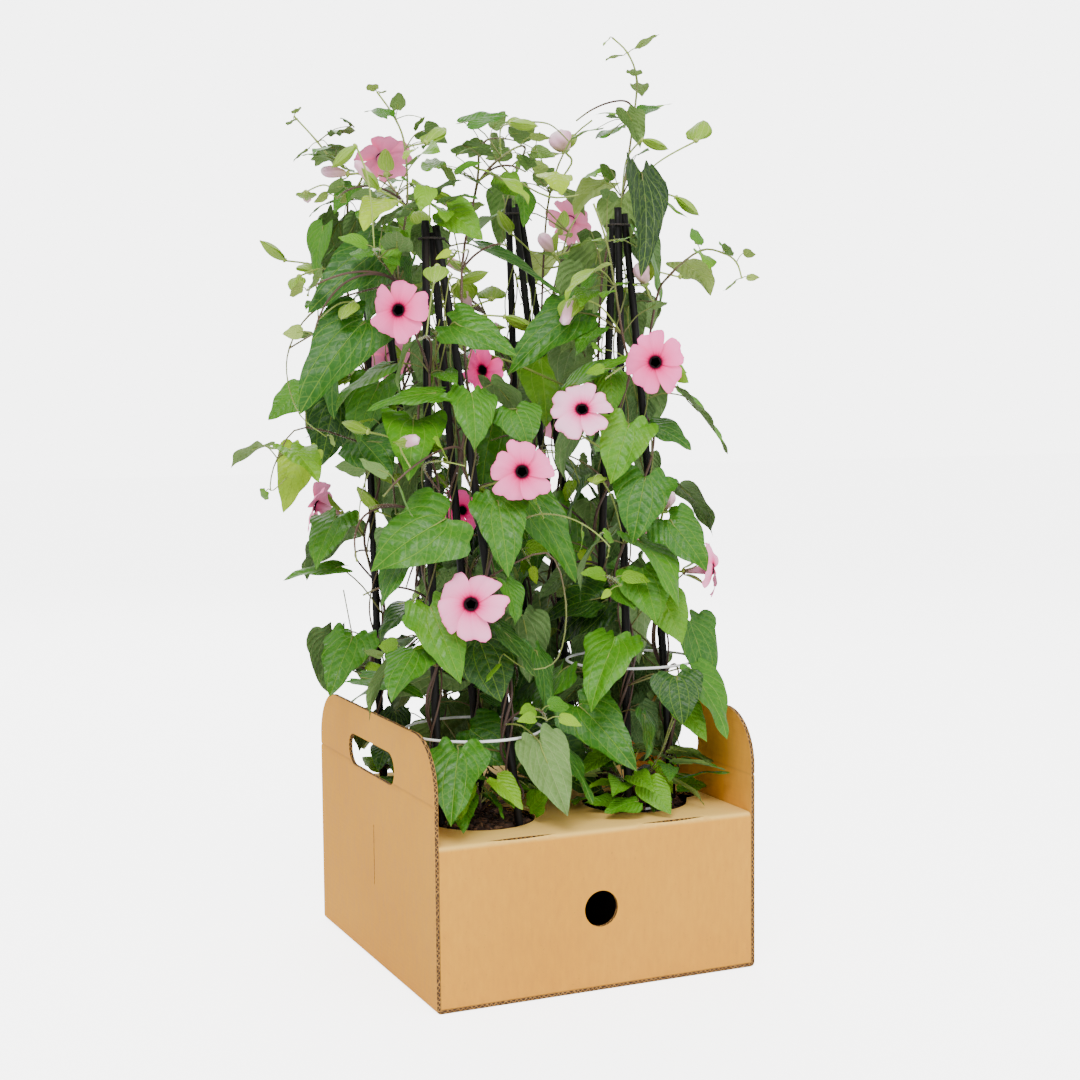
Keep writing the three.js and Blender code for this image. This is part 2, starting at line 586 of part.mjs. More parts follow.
// The blade as triangles round a point on the mid rib, with the stalk's segments.
function leafShape(leaf) {
  const outline = bladeOutline(leaf).map(([s, t]) => bladePoint(leaf, s, t));
  const heart = bladePoint(leaf, 0.42, 0);
  const n = outline.length;
  const faces = [], edges = [];
  for (let i = 0; i < n; i++) {
    const j = (i + 1) % n;
    faces.push([heart.p, outline[i].p, outline[j].p]);
    edges.push([outline[i].p, outline[j].p, BLADE / 2]);
    if (i % 3 === 1) edges.push([heart.p, outline[i].p, BLADE / 2]);
  }
  const stalk = leaf.stalk.slice(0, -1).map((p, i) => [p, leaf.stalk[i + 1], STALK]);
  return { outline, heart, faces, edges, stalk };
}

// One closed solid: both faces of the blade, its rim, and the stalk as a square tube back to its root.
function leafSolid(leaf) {
  const { outline, heart } = leafShape(leaf);
  const n = outline.length;
  const skin = [...outline, heart];
  const points = [
    ...skin.map((v) => add(v.p, v.up, BLADE / 2)),
    ...skin.map((v) => add(v.p, v.up, -BLADE / 2)),
  ];
  const low = n + 1;
  const faces = [];
  for (let i = 0; i < n; i++) {
    const j = (i + 1) % n;
    faces.push([n, i, j], [n + low, j + low, i + low]);
    if (i < n - 1) faces.push([i, j + low, j], [i, i + low, j + low]);
  }
  // Rings of the stalk, from the blade's neck back to the root.
  let ringNow = [n - 1, 0, low, n - 1 + low];
  const side = cross(leaf.dir, leaf.face);
  const back = [...leaf.stalk].reverse();
  for (let k = 1; k < back.length; k++) {
    const ahead = unit(sub(back[Math.min(k + 1, back.length - 1)], back[k - 1]));
    const wide = across(side, ahead), up = cross(ahead, wide);
    const half = k < back.length - 1 ? STALK : ROOT;
    const next = [[-1, 1], [1, 1], [1, -1], [-1, -1]].map(([a, b]) => {
      points.push(add(add(back[k], wide, a * half), up, b * half));
      return points.length - 1;
    });
    for (let q = 0; q < 4; q++) {
      const r = (q + 1) % 4;
      faces.push([ringNow[q], next[r], ringNow[r]], [ringNow[q], next[q], next[r]]);
    }
    ringNow = next;
  }
  faces.push([ringNow[0], ringNow[2], ringNow[1]], [ringNow[0], ringNow[3], ringNow[2]]);
  return solidFrom(points, faces);
}

// ---- Room: does a new leaf keep clear of what is in place? ----
function lineGap(p1, q1, p2, q2) {
  const d1 = sub(q1, p1), d2 = sub(q2, p2), r = sub(p1, p2);
  const a = dot(d1, d1), e = dot(d2, d2), f = dot(d2, r), c = dot(d1, r), b = dot(d1, d2);
  const denom = a * e - b * b;
  const clamp = (v) => Math.min(1, Math.max(0, v));
  let s = denom > 1e-9 ? clamp((b * f - c * e) / denom) : 0;
  let t = (b * s + f) / e;
  if (t < 0) [t, s] = [0, clamp(-c / a)];
  else if (t > 1) [t, s] = [1, clamp((b - c) / a)];
  return size(sub(add(p1, d1, s), add(p2, d2, t)));
}

function pierces(p, q, [a, b, c]) {
  const d = sub(q, p), e1 = sub(b, a), e2 = sub(c, a), h = cross(d, e2);
  const det = dot(e1, h);
  if (Math.abs(det) < 1e-9) return false;
  const s = sub(p, a), u = dot(s, h) / det, k = cross(s, e1), v = dot(d, k) / det;
  const t = dot(e2, k) / det, slack = 1.5 / size(d);
  return u > -0.03 && v > -0.03 && u + v < 1.03 && t > -slack && t < 1 + slack;
}

const middle = (points) => points.reduce((m, p) => add(m, p, 1 / points.length), [0, 0, 0]);

function hasRoom(shape, plant, own) {
  const spots = [...shape.outline.map((v) => v.p), ...shape.stalk.map((s) => s[0])];
  const m = middle(spots), reach = Math.max(...spots.map((p) => size(sub(p, m)))) + 4;
  for (const p of spots.slice(0, -shape.stalk.length || undefined)) if (!overShelf(p)) return false;
  for (const [a, b, r, owner] of crowd.rods) {
    if (owner === own) continue;
    if (lineGap(a, b, m, add(m, [0, 0, 0.01])) > reach + r) continue;
    for (const [p, q, half] of shape.edges) if (lineGap(a, b, p, q) < r + half + CLEAR) return false;
    for (const face of shape.faces) if (pierces(a, b, face)) return false;
    if (owner !== plant)
      for (const [p, q, half] of shape.stalk) if (lineGap(a, b, p, q) < r + half + CLEAR) return false;
  }
  for (const face of crowd.faces) {
    if (size(sub(face.m, m)) > reach + face.reach) continue;
    for (const [p, q] of [...shape.edges, ...shape.stalk]) if (pierces(p, q, face.abc)) return false;
  }
  return !shape.stalk.slice(0, -1).some(([p, q]) => shape.faces.some((face) => pierces(p, q, face)));
}

function overShelf([x, y, z]) {
  const inHole = PLANTS.some(({ pot }) => Math.hypot(x - pot[0], y - pot[1]) < POT_HOLE - 4);
  return z > SHELF + 2.5 || (inHole && z > SOIL.crown + 1);
}

function settle(shape, plant) {
  for (const [a, b, r] of [...shape.edges, ...shape.stalk]) crowd.rods.push([a, b, r, plant]);
  for (const abc of shape.faces) {
    const m = middle(abc);
    crowd.faces.push({ abc, m, reach: Math.max(...abc.map((p) => size(sub(p, m)))) });
  }
}

function blade(base, dir, face, length, width, more = {}) {
  const d = unit(dir);
  const half = length > 34 ? PLAIN_HALF : SMALL_HALF;
  return {
    base, dir: d, face: across(face, d), length, width, droop: 0.5, fold: 0.16, roll: 0, neck: STALK, half,
    ...more,
  };
}

const leaves = [];

function tryLeaf(leaf, plant, touching) {
  const shape = leafShape(leaf);
  if (!hasRoom(shape, plant, touching)) return false;
  settle(shape, plant);
  leaves.push({ plant, leaf });
  return true;
}

// A leaf given by the ends of its blade; its stalk comes from the first near stem that leaves room.
const featuredLeaf = (entry) => SHIFTS.some((shift) => featuredAt(entry, shift));

function featuredAt([from, to, width, droop, face = [0, 0.85, 0.55]], nearer) {
  const [base, tip] = [from, to].map((end) => seen(add(end, [0, nearer, 0])));
  const chord = sub(tip, base), straight = unit(chord), up = across(seen(face), straight);
  const tilt = droop / 2; // the mid rib starts above its chord by half of the bend
  const dir = unit(add(add([0, 0, 0], straight, Math.cos(tilt)), up, Math.sin(tilt)));
  const length = (size(chord) * tilt) / Math.sin(tilt);
  const half = length > 44 ? LEAF_HALF : length > 30 ? PLAIN_HALF : SMALL_HALF;
  for (const { stem, at } of nearestStem(null, base, 12).slice(0, 40)) {
    const knee = add(middle([at, base]), [0, 0, 1], 5);
    const stalk = size(sub(base, at)) > 30 ? [at, knee, base] : [at, base];
    if (tryLeaf(blade(base, dir, up, length, width, { droop, half, stalk }), stem.plant)) return true;
  }
  return false;
}

// Pairs of leaves at a stem's nodes, swung round until they find room.
function leafPair(stem, k) {
  const at = stem.line[k];
  const plant = stem.plant;
  const share = (at[2] - SHELF) / (plant.top[2] - SHELF);
  const axis = add([...plant.pot, 0], sub(plant.top, [...plant.pot, 0]), share);
  const out = Math.atan2(at[1] - axis[1], at[0] - axis[0]);
  const free = k >= (stem.free ?? 0);
  const tipward = free ? (k - stem.free) / Math.max(1, stem.line.length - stem.free) : 0;
  for (const side of [-1, 1]) {
    const drawn = Object.entries(PAIR).map(([name, limits]) => [name, draw(...limits)]);
    const { swing, rise, reach, long, wide, dip, lean, droop } = Object.fromEntries(drawn);
    const young = free ? 0.62 - 0.3 * tipward : 1 - 0.25 * share;
    for (let tries = 0; tries < PAIR_TRIES; tries++) {
      const nudge = (tries % 2 ? 1 : -1) * Math.ceil(tries / 2) * PAIR_SWING;
      const turn = out + rad(side * swing + nudge);
      const small = young * (1 - PAIR_SHRINK * tries);
      if (long * small < LEAST) break;
      const stalkDir = polar(turn, rad(rise + tries));
      const base = add(at, stalkDir, reach * small);
      const heading = turn + rad(lean * 0.5);
      const dir = polar(heading, rad(-dip * (free ? 0.4 : 1)));
      const face = add([0, 0, 1], polar(heading + rad(lean)), 0.35);
      const leaf = blade(base, dir, face, long * small, long * small * wide, { droop, stalk: [at, base] });
      if (tryLeaf(leaf, plant)) break;
    }
  }
}

// ---- Flowers: a corolla on a stalk, with two bracts that hug the tube ----
const flowers = [];

function flowerStalk(seat, dir, name) {
  const tail = add(seat, dir, -10);
  for (const { stem, at } of nearestStem(null, tail, 10).slice(0, 60)) {
    if (lineGap(at, tail, seat, add(seat, dir, TUBE.length)) < 7) continue;
    const line = [at, tail, seat];
    const stalk = line.slice(0, -1).map((p, i) => [p, line[i + 1], STALK]);
    const shape = { outline: [{ p: seat, up: dir }], faces: [], edges: [], stalk };
    if (hasRoom(shape, stem.plant, name)) return { line, plant: stem.plant, shape };
  }
  return null;
}

// A bloom takes the first of some small moves, to the viewer or away, that brings it clear of the rest.
function layFlower([at, look, diameter, turn], k) {
  const face = unit(seen(look)), name = `corolla_${k}`;
  const start = across([0, 0, 1], face), side = cross(start, face);
  for (const nearer of NUDGES) {
    const throat = seen(add(at, [0, nearer, 0]));
    const petals = [0, 1, 2, 3, 4].map((n) => {
      const a = rad(turn + 72 * n);
      const dir = add(add([0, 0, 0], side, Math.cos(a)), start, Math.sin(a));
      const lifted = unit(add(dir, face, 0.12));
      return blade(add(throat, dir, 3), lifted, face, diameter / 2 - 3, diameter * 0.47,
        { droop: 0.4, fold: 0, roll: 0.18, neck: 1.4, half: PETAL_HALF, blunt: true, stalk: [] });
    });
    const heel = add(throat, face, -TUBE.length);
    const body = rod(heel, throat, [throat, heel, TUBE.throat]);
    const shapes = [...petals.map(leafShape), body];
    if (!shapes.every((shape) => hasRoom(shape, name))) continue;
    for (const shape of shapes) settle(shape, name);
    flowers.push({ throat, heel, face, petals, name });
    return;
  }
}

// The room that a flower's tube or a bud takes.
const rod = (heel, tip, edge) => (
  { outline: [{ p: heel }, { p: tip }], faces: [], edges: [edge], stalk: [] }
);

function layBud([at, look, wide, long], k) {
  const dir = unit(seen(look)), name = `bud_${k}`;
  for (const nearer of NUDGES) {
    const tip = seen(add(at, [0, nearer, 0])), heel = add(tip, dir, -long);
    const body = rod(heel, tip, [tip, add(heel, dir, -6), wide * 0.8]);
    if (!hasRoom(body, name)) continue;
    settle(body, name);
    flowers.push({ heel, face: dir, bud: { tip, dir, wide, long }, name });
    return;
  }
}

function bract(seat, dir, side, length, width, splay) {
  const out = across(side, dir);
  const base = add(add(seat, out, 3.1), dir, -1.3);
  return blade(base, add(dir, out, splay), add(out, dir, -0.3), length, width,
    { droop: -0.5, fold: -0.3, neck: 1.2, half: BRACT_HALF, stalk: [] });
}

// ================= put together =================
function petalSolid(petal) {
  const outline = bladeOutline(petal).map(([s, t]) => bladePoint(petal, s, t));
  const n = outline.length;
  const points = [BLADE / 2, -BLADE / 2].flatMap((h) => outline.map((v) => add(v.p, v.up, h)));
  const faces = [];
  for (let i = 0; i < n; i++) {
    const j = (i + 1) % n;
    faces.push([i, j + n, j], [i, i + n, j + n]);
  }
  for (const [a, b, c] of strip(n)) faces.push([a, b, c], [a + n, c + n, b + n]);
  return solidFrom(points, faces);
}

// Five petals joined at the notches between them, on a tube that narrows to the seat.
function corollaSolid({ throat, heel, face, petals }) {
  const notch = petals.map((petal, n) => unit(add(petal.dir, petals[(n + 4) % 5].dir)));
  const around = (at, radius) => notch.map((out) => add(at, across(out, face), radius));
  const mouth = add(throat, face, BLADE);
  const points = [...around(heel, TUBE.waist), ...around(throat, TUBE.throat), ...around(mouth, TUBE.throat)];
  const faces = [[0, 2, 1], [0, 3, 2], [0, 4, 3], [10, 11, 12], [10, 12, 13], [10, 13, 14]];
  petals.forEach((petal, n) => {
    const m = (n + 1) % 5;
    faces.push([n, m, m + 5], [n, m + 5, n + 5]);
    const edge = bladeOutline(petal).slice(1, -1).map(([s, t]) => bladePoint(petal, s, t));
    const from = points.length;
    for (const h of [0, BLADE]) points.push(...edge.map((v) => add(v.p, v.up, h)));
    const low = [n + 5, ...edge.map((_, k) => from + k), m + 5];
    const high = [n + 10, ...edge.map((_, k) => from + edge.length + k), m + 10];
    for (let k = 0; k + 1 < low.length; k++)
      faces.push([low[k], low[k + 1], high[k + 1]], [low[k], high[k + 1], high[k]]);
    for (const [a, b, c] of strip(low.length))
      faces.push([high[a], high[b], high[c]], [low[a], low[c], low[b]]);
  });
  return solidFrom(points, faces);
}

// Triangles that fill an outline of n points, from its two ends to the middle.
function strip(n) {
  const flat = [];
  for (let lo = 0, hi = n - 1; hi - lo > 1; lo++, hi--) {
    flat.push([hi, lo, lo + 1]);
    if (hi - 1 > lo + 1) flat.push([hi, lo + 1, hi - 1]);
  }
  return flat;
}

const parts = Object.fromEntries(PLANTS.map((plant) => [plant.name, []])); // solids of each plant

function layStems() {
  for (const plant of PLANTS) for (const i of [0, 1, 2]) stems.push(layTwiner(plant, i));
  for (const [owner, points] of SHOOTS) {
    const plant = PLANTS[owner];
    const path = points.map(seen);
    const { at } = nearestStem(plant, path[0], 8).find((found) => clearOfSticks(found.at, path[0]));
    const line = [at, ...path];
    const nodes = line.map((_, k) => k).filter((k) => k > 1 && k % 3 === line.length % 3);
    stems.push({ plant, line, thick: SHOOT.thick, thin: SHOOT.thin, nodes, free: 1 });
  }
  for (const stem of stems) {
    const radius = (s) => stem.thick + (stem.thin - stem.thick) * s;
    parts[stem.plant.name].push(tube(stem.line, radius, 3));
    stem.line.slice(0, -1).forEach((p, i) => crowd.rods.push([p, stem.line[i + 1], stem.thick, stem.plant]));
  }
  for (const plant of PLANTS) {
    const ends = [CROWN.bottom, SOIL.crown + CROWN.over].map((z) => [...plant.pot, z]);
    parts[plant.name].push(tube(ends, CROWN.radius, 6));
  }
}

// Sticks, ties, hoops and the carton's panels, as rods and triangles that leaves stay clear of.
function layHard() {
  for (const plant of PLANTS) {
    for (const i of [0, 1, 2]) {
      const bends = STICK.bends.map((z) => SHELF + z);
      const line = [SHELF, ...bends, plant.top[2]].map((z) => stickAt(plant, i, z));
      for (let k = 0; k < 3; k++) crowd.rods.push([line[k], line[k + 1], STICK.foot, "stick"]);
    }
    const z = plant.top[2] - TIE.below;
    crowd.rods.push([[...plant.top.slice(0, 2), z - 1], [...plant.top.slice(0, 2), z + 1], 9, "tie"]);
  }
  for (const hoop of HOOPS)
    for (let k = 0; k < HOOP_SIDES; k++) {
      const corner = (n) => add(hoopMiddle(hoop), polar((2 * Math.PI * n) / HOOP_SIDES), hoop.radius);
      crowd.rods.push([corner(k), corner(k + 1), HOOP_WIRE, hoop.name]);
    }
  for (const x of [-WIDTH / 2, -WIDTH / 2 + BOARD, WIDTH / 2 - BOARD, WIDTH / 2]) {
    const y = DEPTH / 2;
    const corners = [[x, -y, 0], [x, y, 0], [x, y, SIDE_TOP], [x, -y, SIDE_TOP]];
    for (const abc of [[0, 1, 2], [0, 2, 3]].map((f) => f.map((k) => corners[k])))
      crowd.faces.push({ abc, m: middle(abc), reach: 260 });
    crowd.rods.push([corners[2], corners[3], 1.5, "carton"]);
  }
}

function hoopMiddle({ plant: name, height }) {
  const plant = PLANTS.find((p) => p.name === name);
  const share = Math.max(0, (height - SHELF) / (plant.top[2] - SHELF));
  const [x, y] = add([...plant.pot, 0], sub(plant.top, [...plant.pot, 0]), share);
  return [x, y, height];
}

function makeHoops() {
  for (const hoop of HOOPS)
    addPiece(hoop.name, beds[hoop.plant], hoopMiddle(hoop),
      ring(hoopMiddle(hoop), hoop.radius, HOOP_WIRE, HOOP_SIDES), COLOUR.hoop, 0.4);
}

// Leaves whose stalks bend over just under a hoop and carry it.
function layHoopLeaves() {
  for (const hoop of HOOPS)
    for (const degrees of hoop.rests) {
      const plant = PLANTS.find((p) => p.name === hoop.plant);
      const below = HOOP_WIRE * 0.87 + GAP + STALK;
      SWINGS.some((swing) => {
        const out = polar(seenTurn(degrees + swing));
        const knee = add(add(hoopMiddle(hoop), out, hoop.radius - HOOP_WIRE / 2), [0, 0, -1], below);
        const base = add(add(knee, out, HOOP_LEAF.reach), [0, 0, -1], HOOP_LEAF.dip);
        const [dir, face] = [add(out, [0, 0, -1], 0.9), add([0, 0, 1], out, 0.9)];
        return nearestStem(plant, knee, 10).slice(0, 12).some(({ at }) => {
          const leaf = blade(base, dir, face, HOOP_LEAF.length, HOOP_LEAF.width, { stalk: [at, knee, base] });
          return tryLeaf(leaf, plant, hoop.name);
        });
      });
    }
}

function layBloom() {
  FLOWERS.forEach((flower, k) => layFlower(flower, k + 1));
  BUDS.forEach((bud, k) => layBud(bud, k + 1));
  for (const flower of flowers) {
    const seat = add(flower.heel, flower.face, -GAP - 0.1);
    const grown = flowerStalk(add(seat, flower.face, -TUBE.seatHeight), flower.face, flower.name);
    if (!grown) continue;
    settle(grown.shape, grown.plant);
    const solids = parts[grown.plant.name];
    const cup = [add(seat, flower.face, -TUBE.seatHeight), seat];
    solids.push(tube([...grown.line.slice(0, -1), ...cup], stalkWidth, 3));
    const side = across([0, 0, 1], flower.face);
    const [long, wide, splay] = flower.bud
      ? [flower.bud.long * 0.9, flower.bud.wide * 1.1, (flower.bud.wide / flower.bud.long) * 1.15]
      : [19, 13, 0.3];
    for (const turn of [side, add([0, 0, 0], side, -1)])
      solids.push(petalSolid(bract(seat, flower.face, turn, long, wide, splay)));
  }
}

// A flower's stalk widens into the seat that carries the corolla.
const stalkWidth = (s) => (s > 0.9 ? TUBE.seat : s > 0.1 ? STALK * 1.2 : ROOT);

function budSolid({ tip, dir, wide, long }) {
  const at = [0, 0.35, 0.75, 1].map((s) => add(tip, dir, (s - 1) * long));
  const widths = [0.16, 0.42, 0.34, 0.05];
  return tube(at, (s) => widths[Math.round(s * 3)] * wide, 6);
}

makeCradle();
makeCover();
for (const plant of PLANTS) {
  makePot(plant);
  makeSoil(plant);
  makeSticks(plant);
  makeTie(plant);
}
makeHoops();
layHard();
layStems();
layBloom();
layHoopLeaves();
LEAVES.forEach(featuredLeaf);
for (const stem of stems) for (const k of stem.nodes) leafPair(stem, k);
for (const { plant, leaf } of leaves) parts[plant.name].push(leafSolid(leaf));
for (const { name, pot } of PLANTS)
  addPiece(`vine_${name}`, beds[name], [...pot, CROWN.bottom], oneBody(parts[name]), COLOUR.vine, 0.6);
for (const flower of flowers) {
  const solid = flower.bud ? budSolid(flower.bud) : corollaSolid(flower);
  addPiece(flower.name, root, flower.heel, solid, COLOUR.bloom, 0.6);
}

export default root;
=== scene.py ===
# %% [markdown]
# # Black eyed Susan vine in its carrying carton
# Four potted plants stand in a folded cardboard carton, and their stems twine up wigwams of black sticks.
# The packed CAD model is the frame: it has every leaf, flower and board at its real place, in plain facets.
# This lesson grows the same plants again from the same rules, with fine surfaces, and then adds what a
# faceted model leaves out: young leaves, hairs, veins, crumbs of bark and the waves inside the board.

# %% Frame
import math
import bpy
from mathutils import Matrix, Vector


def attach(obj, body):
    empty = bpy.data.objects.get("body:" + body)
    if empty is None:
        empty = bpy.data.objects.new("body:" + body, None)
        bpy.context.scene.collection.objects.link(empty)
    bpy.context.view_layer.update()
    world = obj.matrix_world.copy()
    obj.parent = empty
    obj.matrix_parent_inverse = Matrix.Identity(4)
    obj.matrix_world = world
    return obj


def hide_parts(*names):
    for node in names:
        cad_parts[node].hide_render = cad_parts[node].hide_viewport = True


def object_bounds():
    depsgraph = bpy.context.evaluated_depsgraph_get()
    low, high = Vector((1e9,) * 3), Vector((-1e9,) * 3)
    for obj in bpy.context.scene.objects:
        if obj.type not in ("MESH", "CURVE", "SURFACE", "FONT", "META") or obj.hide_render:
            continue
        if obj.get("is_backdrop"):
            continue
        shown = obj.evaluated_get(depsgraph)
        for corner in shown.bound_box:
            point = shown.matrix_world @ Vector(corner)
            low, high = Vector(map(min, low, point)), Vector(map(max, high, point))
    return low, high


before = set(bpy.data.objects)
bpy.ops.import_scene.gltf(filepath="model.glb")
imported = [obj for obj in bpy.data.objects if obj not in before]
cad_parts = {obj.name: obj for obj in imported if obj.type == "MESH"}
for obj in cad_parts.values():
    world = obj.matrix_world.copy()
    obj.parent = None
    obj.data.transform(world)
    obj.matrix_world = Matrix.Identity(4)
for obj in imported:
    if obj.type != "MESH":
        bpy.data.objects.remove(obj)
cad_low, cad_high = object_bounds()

from types import SimpleNamespace as Record

import bpy
import numpy as np
from mathutils import Matrix, Vector
from mathutils.geometry import delaunay_2d_cdt

BOX = [[1000 * v for v in corner] for corner in (cad_low, cad_high)]  # the frame's box in millimetres
print("frame:", len(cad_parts), "nodes, box in mm", [[round(v) for v in corner] for corner in BOX])

# %% [markdown]
# ## Camera
# The lens is a mild telephoto at the height of the plants' middle, looking past the
# carton's front left corner. A camera looks down its own -Z, so its three axes are worked
# out from how far it is turned, tipped and rolled, and become the columns of its matrix.

# %% Camera
YAW, PITCH, ROLL = (math.radians(a) for a in (23.91, 4.52, -0.51))
EYE = Vector((-0.570, -1.314, 0.4368))
LENS = 60.53

ahead = Vector((math.sin(YAW) * math.cos(PITCH), math.cos(YAW) * math.cos(PITCH), -math.sin(PITCH)))
level = Vector((math.cos(YAW), -math.sin(YAW), 0))
above = level.cross(ahead)
camera = bpy.data.objects.new("camera", bpy.data.cameras.new("camera"))
bpy.context.scene.collection.objects.link(camera)
camera.data.lens = LENS
rightwards = level * math.cos(ROLL) + above * math.sin(ROLL)
upwards = above * math.cos(ROLL) - level * math.sin(ROLL)
camera.matrix_world = Matrix.Translation(EYE) @ Matrix((rightwards, upwards, -ahead)).transposed().to_4x4()
bpy.context.scene.camera = camera
print("camera", [round(v, 3) for v in EYE], "lens", LENS)

# %% [markdown]
# ## Light
# Three large soft lamps and a bright surround give the even light of a plant catalogue, and
# the pale floor only catches a faint shadow. The surround shines harder where the camera
# looks straight at it, so that the backdrop turns white while the leaves keep their shade.

# %% Light
AIM = Vector((0, 0, 0.35))
SURROUND, BACKDROP = 1.15, 5.5  # its strength as a light, and as it is seen


def lamp(name, place, size, power):
    """A square area lamp that looks at the middle of the plants."""
    light = bpy.data.lights.new(name, "AREA")
    light.size, light.energy = size, power
    holder = bpy.data.objects.new(name, light)
    bpy.context.scene.collection.objects.link(holder)
    holder.location = place
    holder.rotation_euler = (AIM - Vector(place)).to_track_quat("-Z", "Y").to_euler()


lamp("key", (-1.0, -1.7, 2.3), 1.1, 58)
lamp("fill", (0.9, -2.2, 1.2), 1.8, 24)
lamp("rim", (0.4, 1.9, 1.7), 1.6, 30)
world = bpy.data.worlds.new("bright surround")
world.use_nodes = True
surround = world.node_tree.nodes["Background"]
surround.inputs["Color"].default_value = (1, 1, 1, 1)
looked_at = world.node_tree.nodes.new("ShaderNodeLightPath").outputs["Is Camera Ray"]
strength = world.node_tree.nodes.new("ShaderNodeMapRange")
strength.inputs["To Min"].default_value, strength.inputs["To Max"].default_value = SURROUND, BACKDROP
world.node_tree.links.new(looked_at, strength.inputs["Value"])
world.node_tree.links.new(strength.outputs[0], surround.inputs["Strength"])
bpy.context.scene.world = world
print(len(bpy.data.lights), "lamps and a surround")

# %% [markdown]
# ## Sizes
# All sizes are in millimetres, as in the CAD source, and become metres only when a mesh is made.

# %% Sizes
BOARD, GAP = 3, 0.3  # the board's thickness, and what is left between parts
WIDTH, DEPTH = 260, 268  # from side panel to side panel, and from front to back
SHELF, CREASE, SIDE_TOP = 120, 149, 196  # heights of the shelf, a side panel's crease and its top
CORNER = 40  # radius of a side panel's top corners
HANDLE = Record(y=4, z=159.5, length=108, height=25)
FINGER_HOLE = Record(z=61, radius=13.5)
POT_HOLE = 41
LOCK_SLIT = Record(x=62, length=54, width=1.8)
SIDE_SLIT = Record(z=85, length=46, width=1.2)
POT = Record(base=42, neck=55.5, rim=58.6, wall=1.3, lip=7.5, top=116.6, x=65, y=60)
SOIL = Record(edge=104, crown=122.5)
STICK = Record(foot=3.2, tip=2.8, bottom=70, ring=34, bundle=4.1)
SOCKET = 0.5
TIE = Record(radius=9.5, wire=0.9, below=13)
STEM = Record(twine=7.2, pitch=108, turn_steps=5, start=152, thick=2.2, thin=1.5, leave=0.8)
CROWN = Record(radius=4, bottom=92)
BLADE, STALK = 0.9, 0.85  # a leaf's thickness, and its stalk's radius
CLEAR, LEAST, SEED = 0.9, 36, 20240  # room round a leaf, a pair's shortest leaf, and the drawer's seed
TUBE = Record(length=22, throat=4.6, waist=2.6, seat=6.4, seat_height=3)
HOOP_WIRE, HOOP_SIDES = 1.1, 18
print("carton", WIDTH, "x", DEPTH, "x", SIDE_TOP, "mm, shelf at", SHELF)

# %% [markdown]
# ## Vectors
# Growth is worked out with plain triples, because thousands of small steps
# run faster that way than with arrays. These few sums are all that it needs.


# %% Vectors
def add(a, b, k=1.0):
    return (a[0] + b[0] * k, a[1] + b[1] * k, a[2] + b[2] * k)


def sub(a, b):
    return (a[0] - b[0], a[1] - b[1], a[2] - b[2])


def dot(a, b):
    return a[0] * b[0] + a[1] * b[1] + a[2] * b[2]


def cross(a, b):
    return (a[1] * b[2] - a[2] * b[1], a[2] * b[0] - a[0] * b[2], a[0] * b[1] - a[1] * b[0])


def size(a):
    """How long a vector is."""
    return math.sqrt(dot(a, a))


def unit(a):
    return add((0, 0, 0), a, 1 / max(size(a), 1e-9))


def across(a, normal):
    """The part of a that is square to a unit normal."""
    return unit(add(a, normal, -dot(a, normal)))


def both_ways(a):
    """A direction and its opposite."""
    return a, sub((0, 0, 0), a)


def polar(turn, rise=0.0):
    """A unit vector that heads a way round and rises by an angle."""
    return (math.cos(rise) * math.cos(turn), math.cos(rise) * math.sin(turn), math.sin(rise))


def middle(points):
    total = (0, 0, 0)
    for p in points:
        total = add(total, p, 1 / len(points))
    return total


print("halfway between two points:", middle([(0, 0, 0), (1, 2, 3)]))

# %% [markdown]
# ## Directions and chance
# The plants are described as a viewer past the carton's corner sees them, so two functions
# turn places that way and back. The drawer of chance numbers is the old multiplying kind: its
# numbers are the same in every language, so the plants here branch exactly as the CAD's do.

# %% Directions and chance
CORNER_VIEW = math.radians(23.9)  # how far the carton is turned when it is seen past its corner


def seen(place):
    """A place given as seen from the front left corner: to the right, towards the viewer, up."""
    right, near, up = place
    c, s = math.cos(CORNER_VIEW), math.sin(CORNER_VIEW)
    return (right * c - near * s, -right * s - near * c, up)


def from_corner(place):
    """The other way round: how far right and how near a place is, seen from the corner."""
    c, s = math.cos(CORNER_VIEW), math.sin(CORNER_VIEW)
    return (place[0] * c - place[1] * s, -place[0] * s - place[1] * c)


def drawer(seed):
    """Draws numbers between two limits, the same ones for the same seed."""
    state, factor, prime = [seed], 16807, 2147483647

    def draw(low, high):
        state[0] = (state[0] * factor) % prime
        return low + (high - low) * state[0] / prime

    return draw


print("the first number in the drawer:", round(drawer(SEED)(0, 1), 4))

# %% [markdown]
# ## Where stems grow
# Four plants, the free ends of their stems, and side shoots. Places are
# read as seen from the corner: to the right, towards the viewer, up. A free
# end is led point by point, because its gesture gives a climber its look.

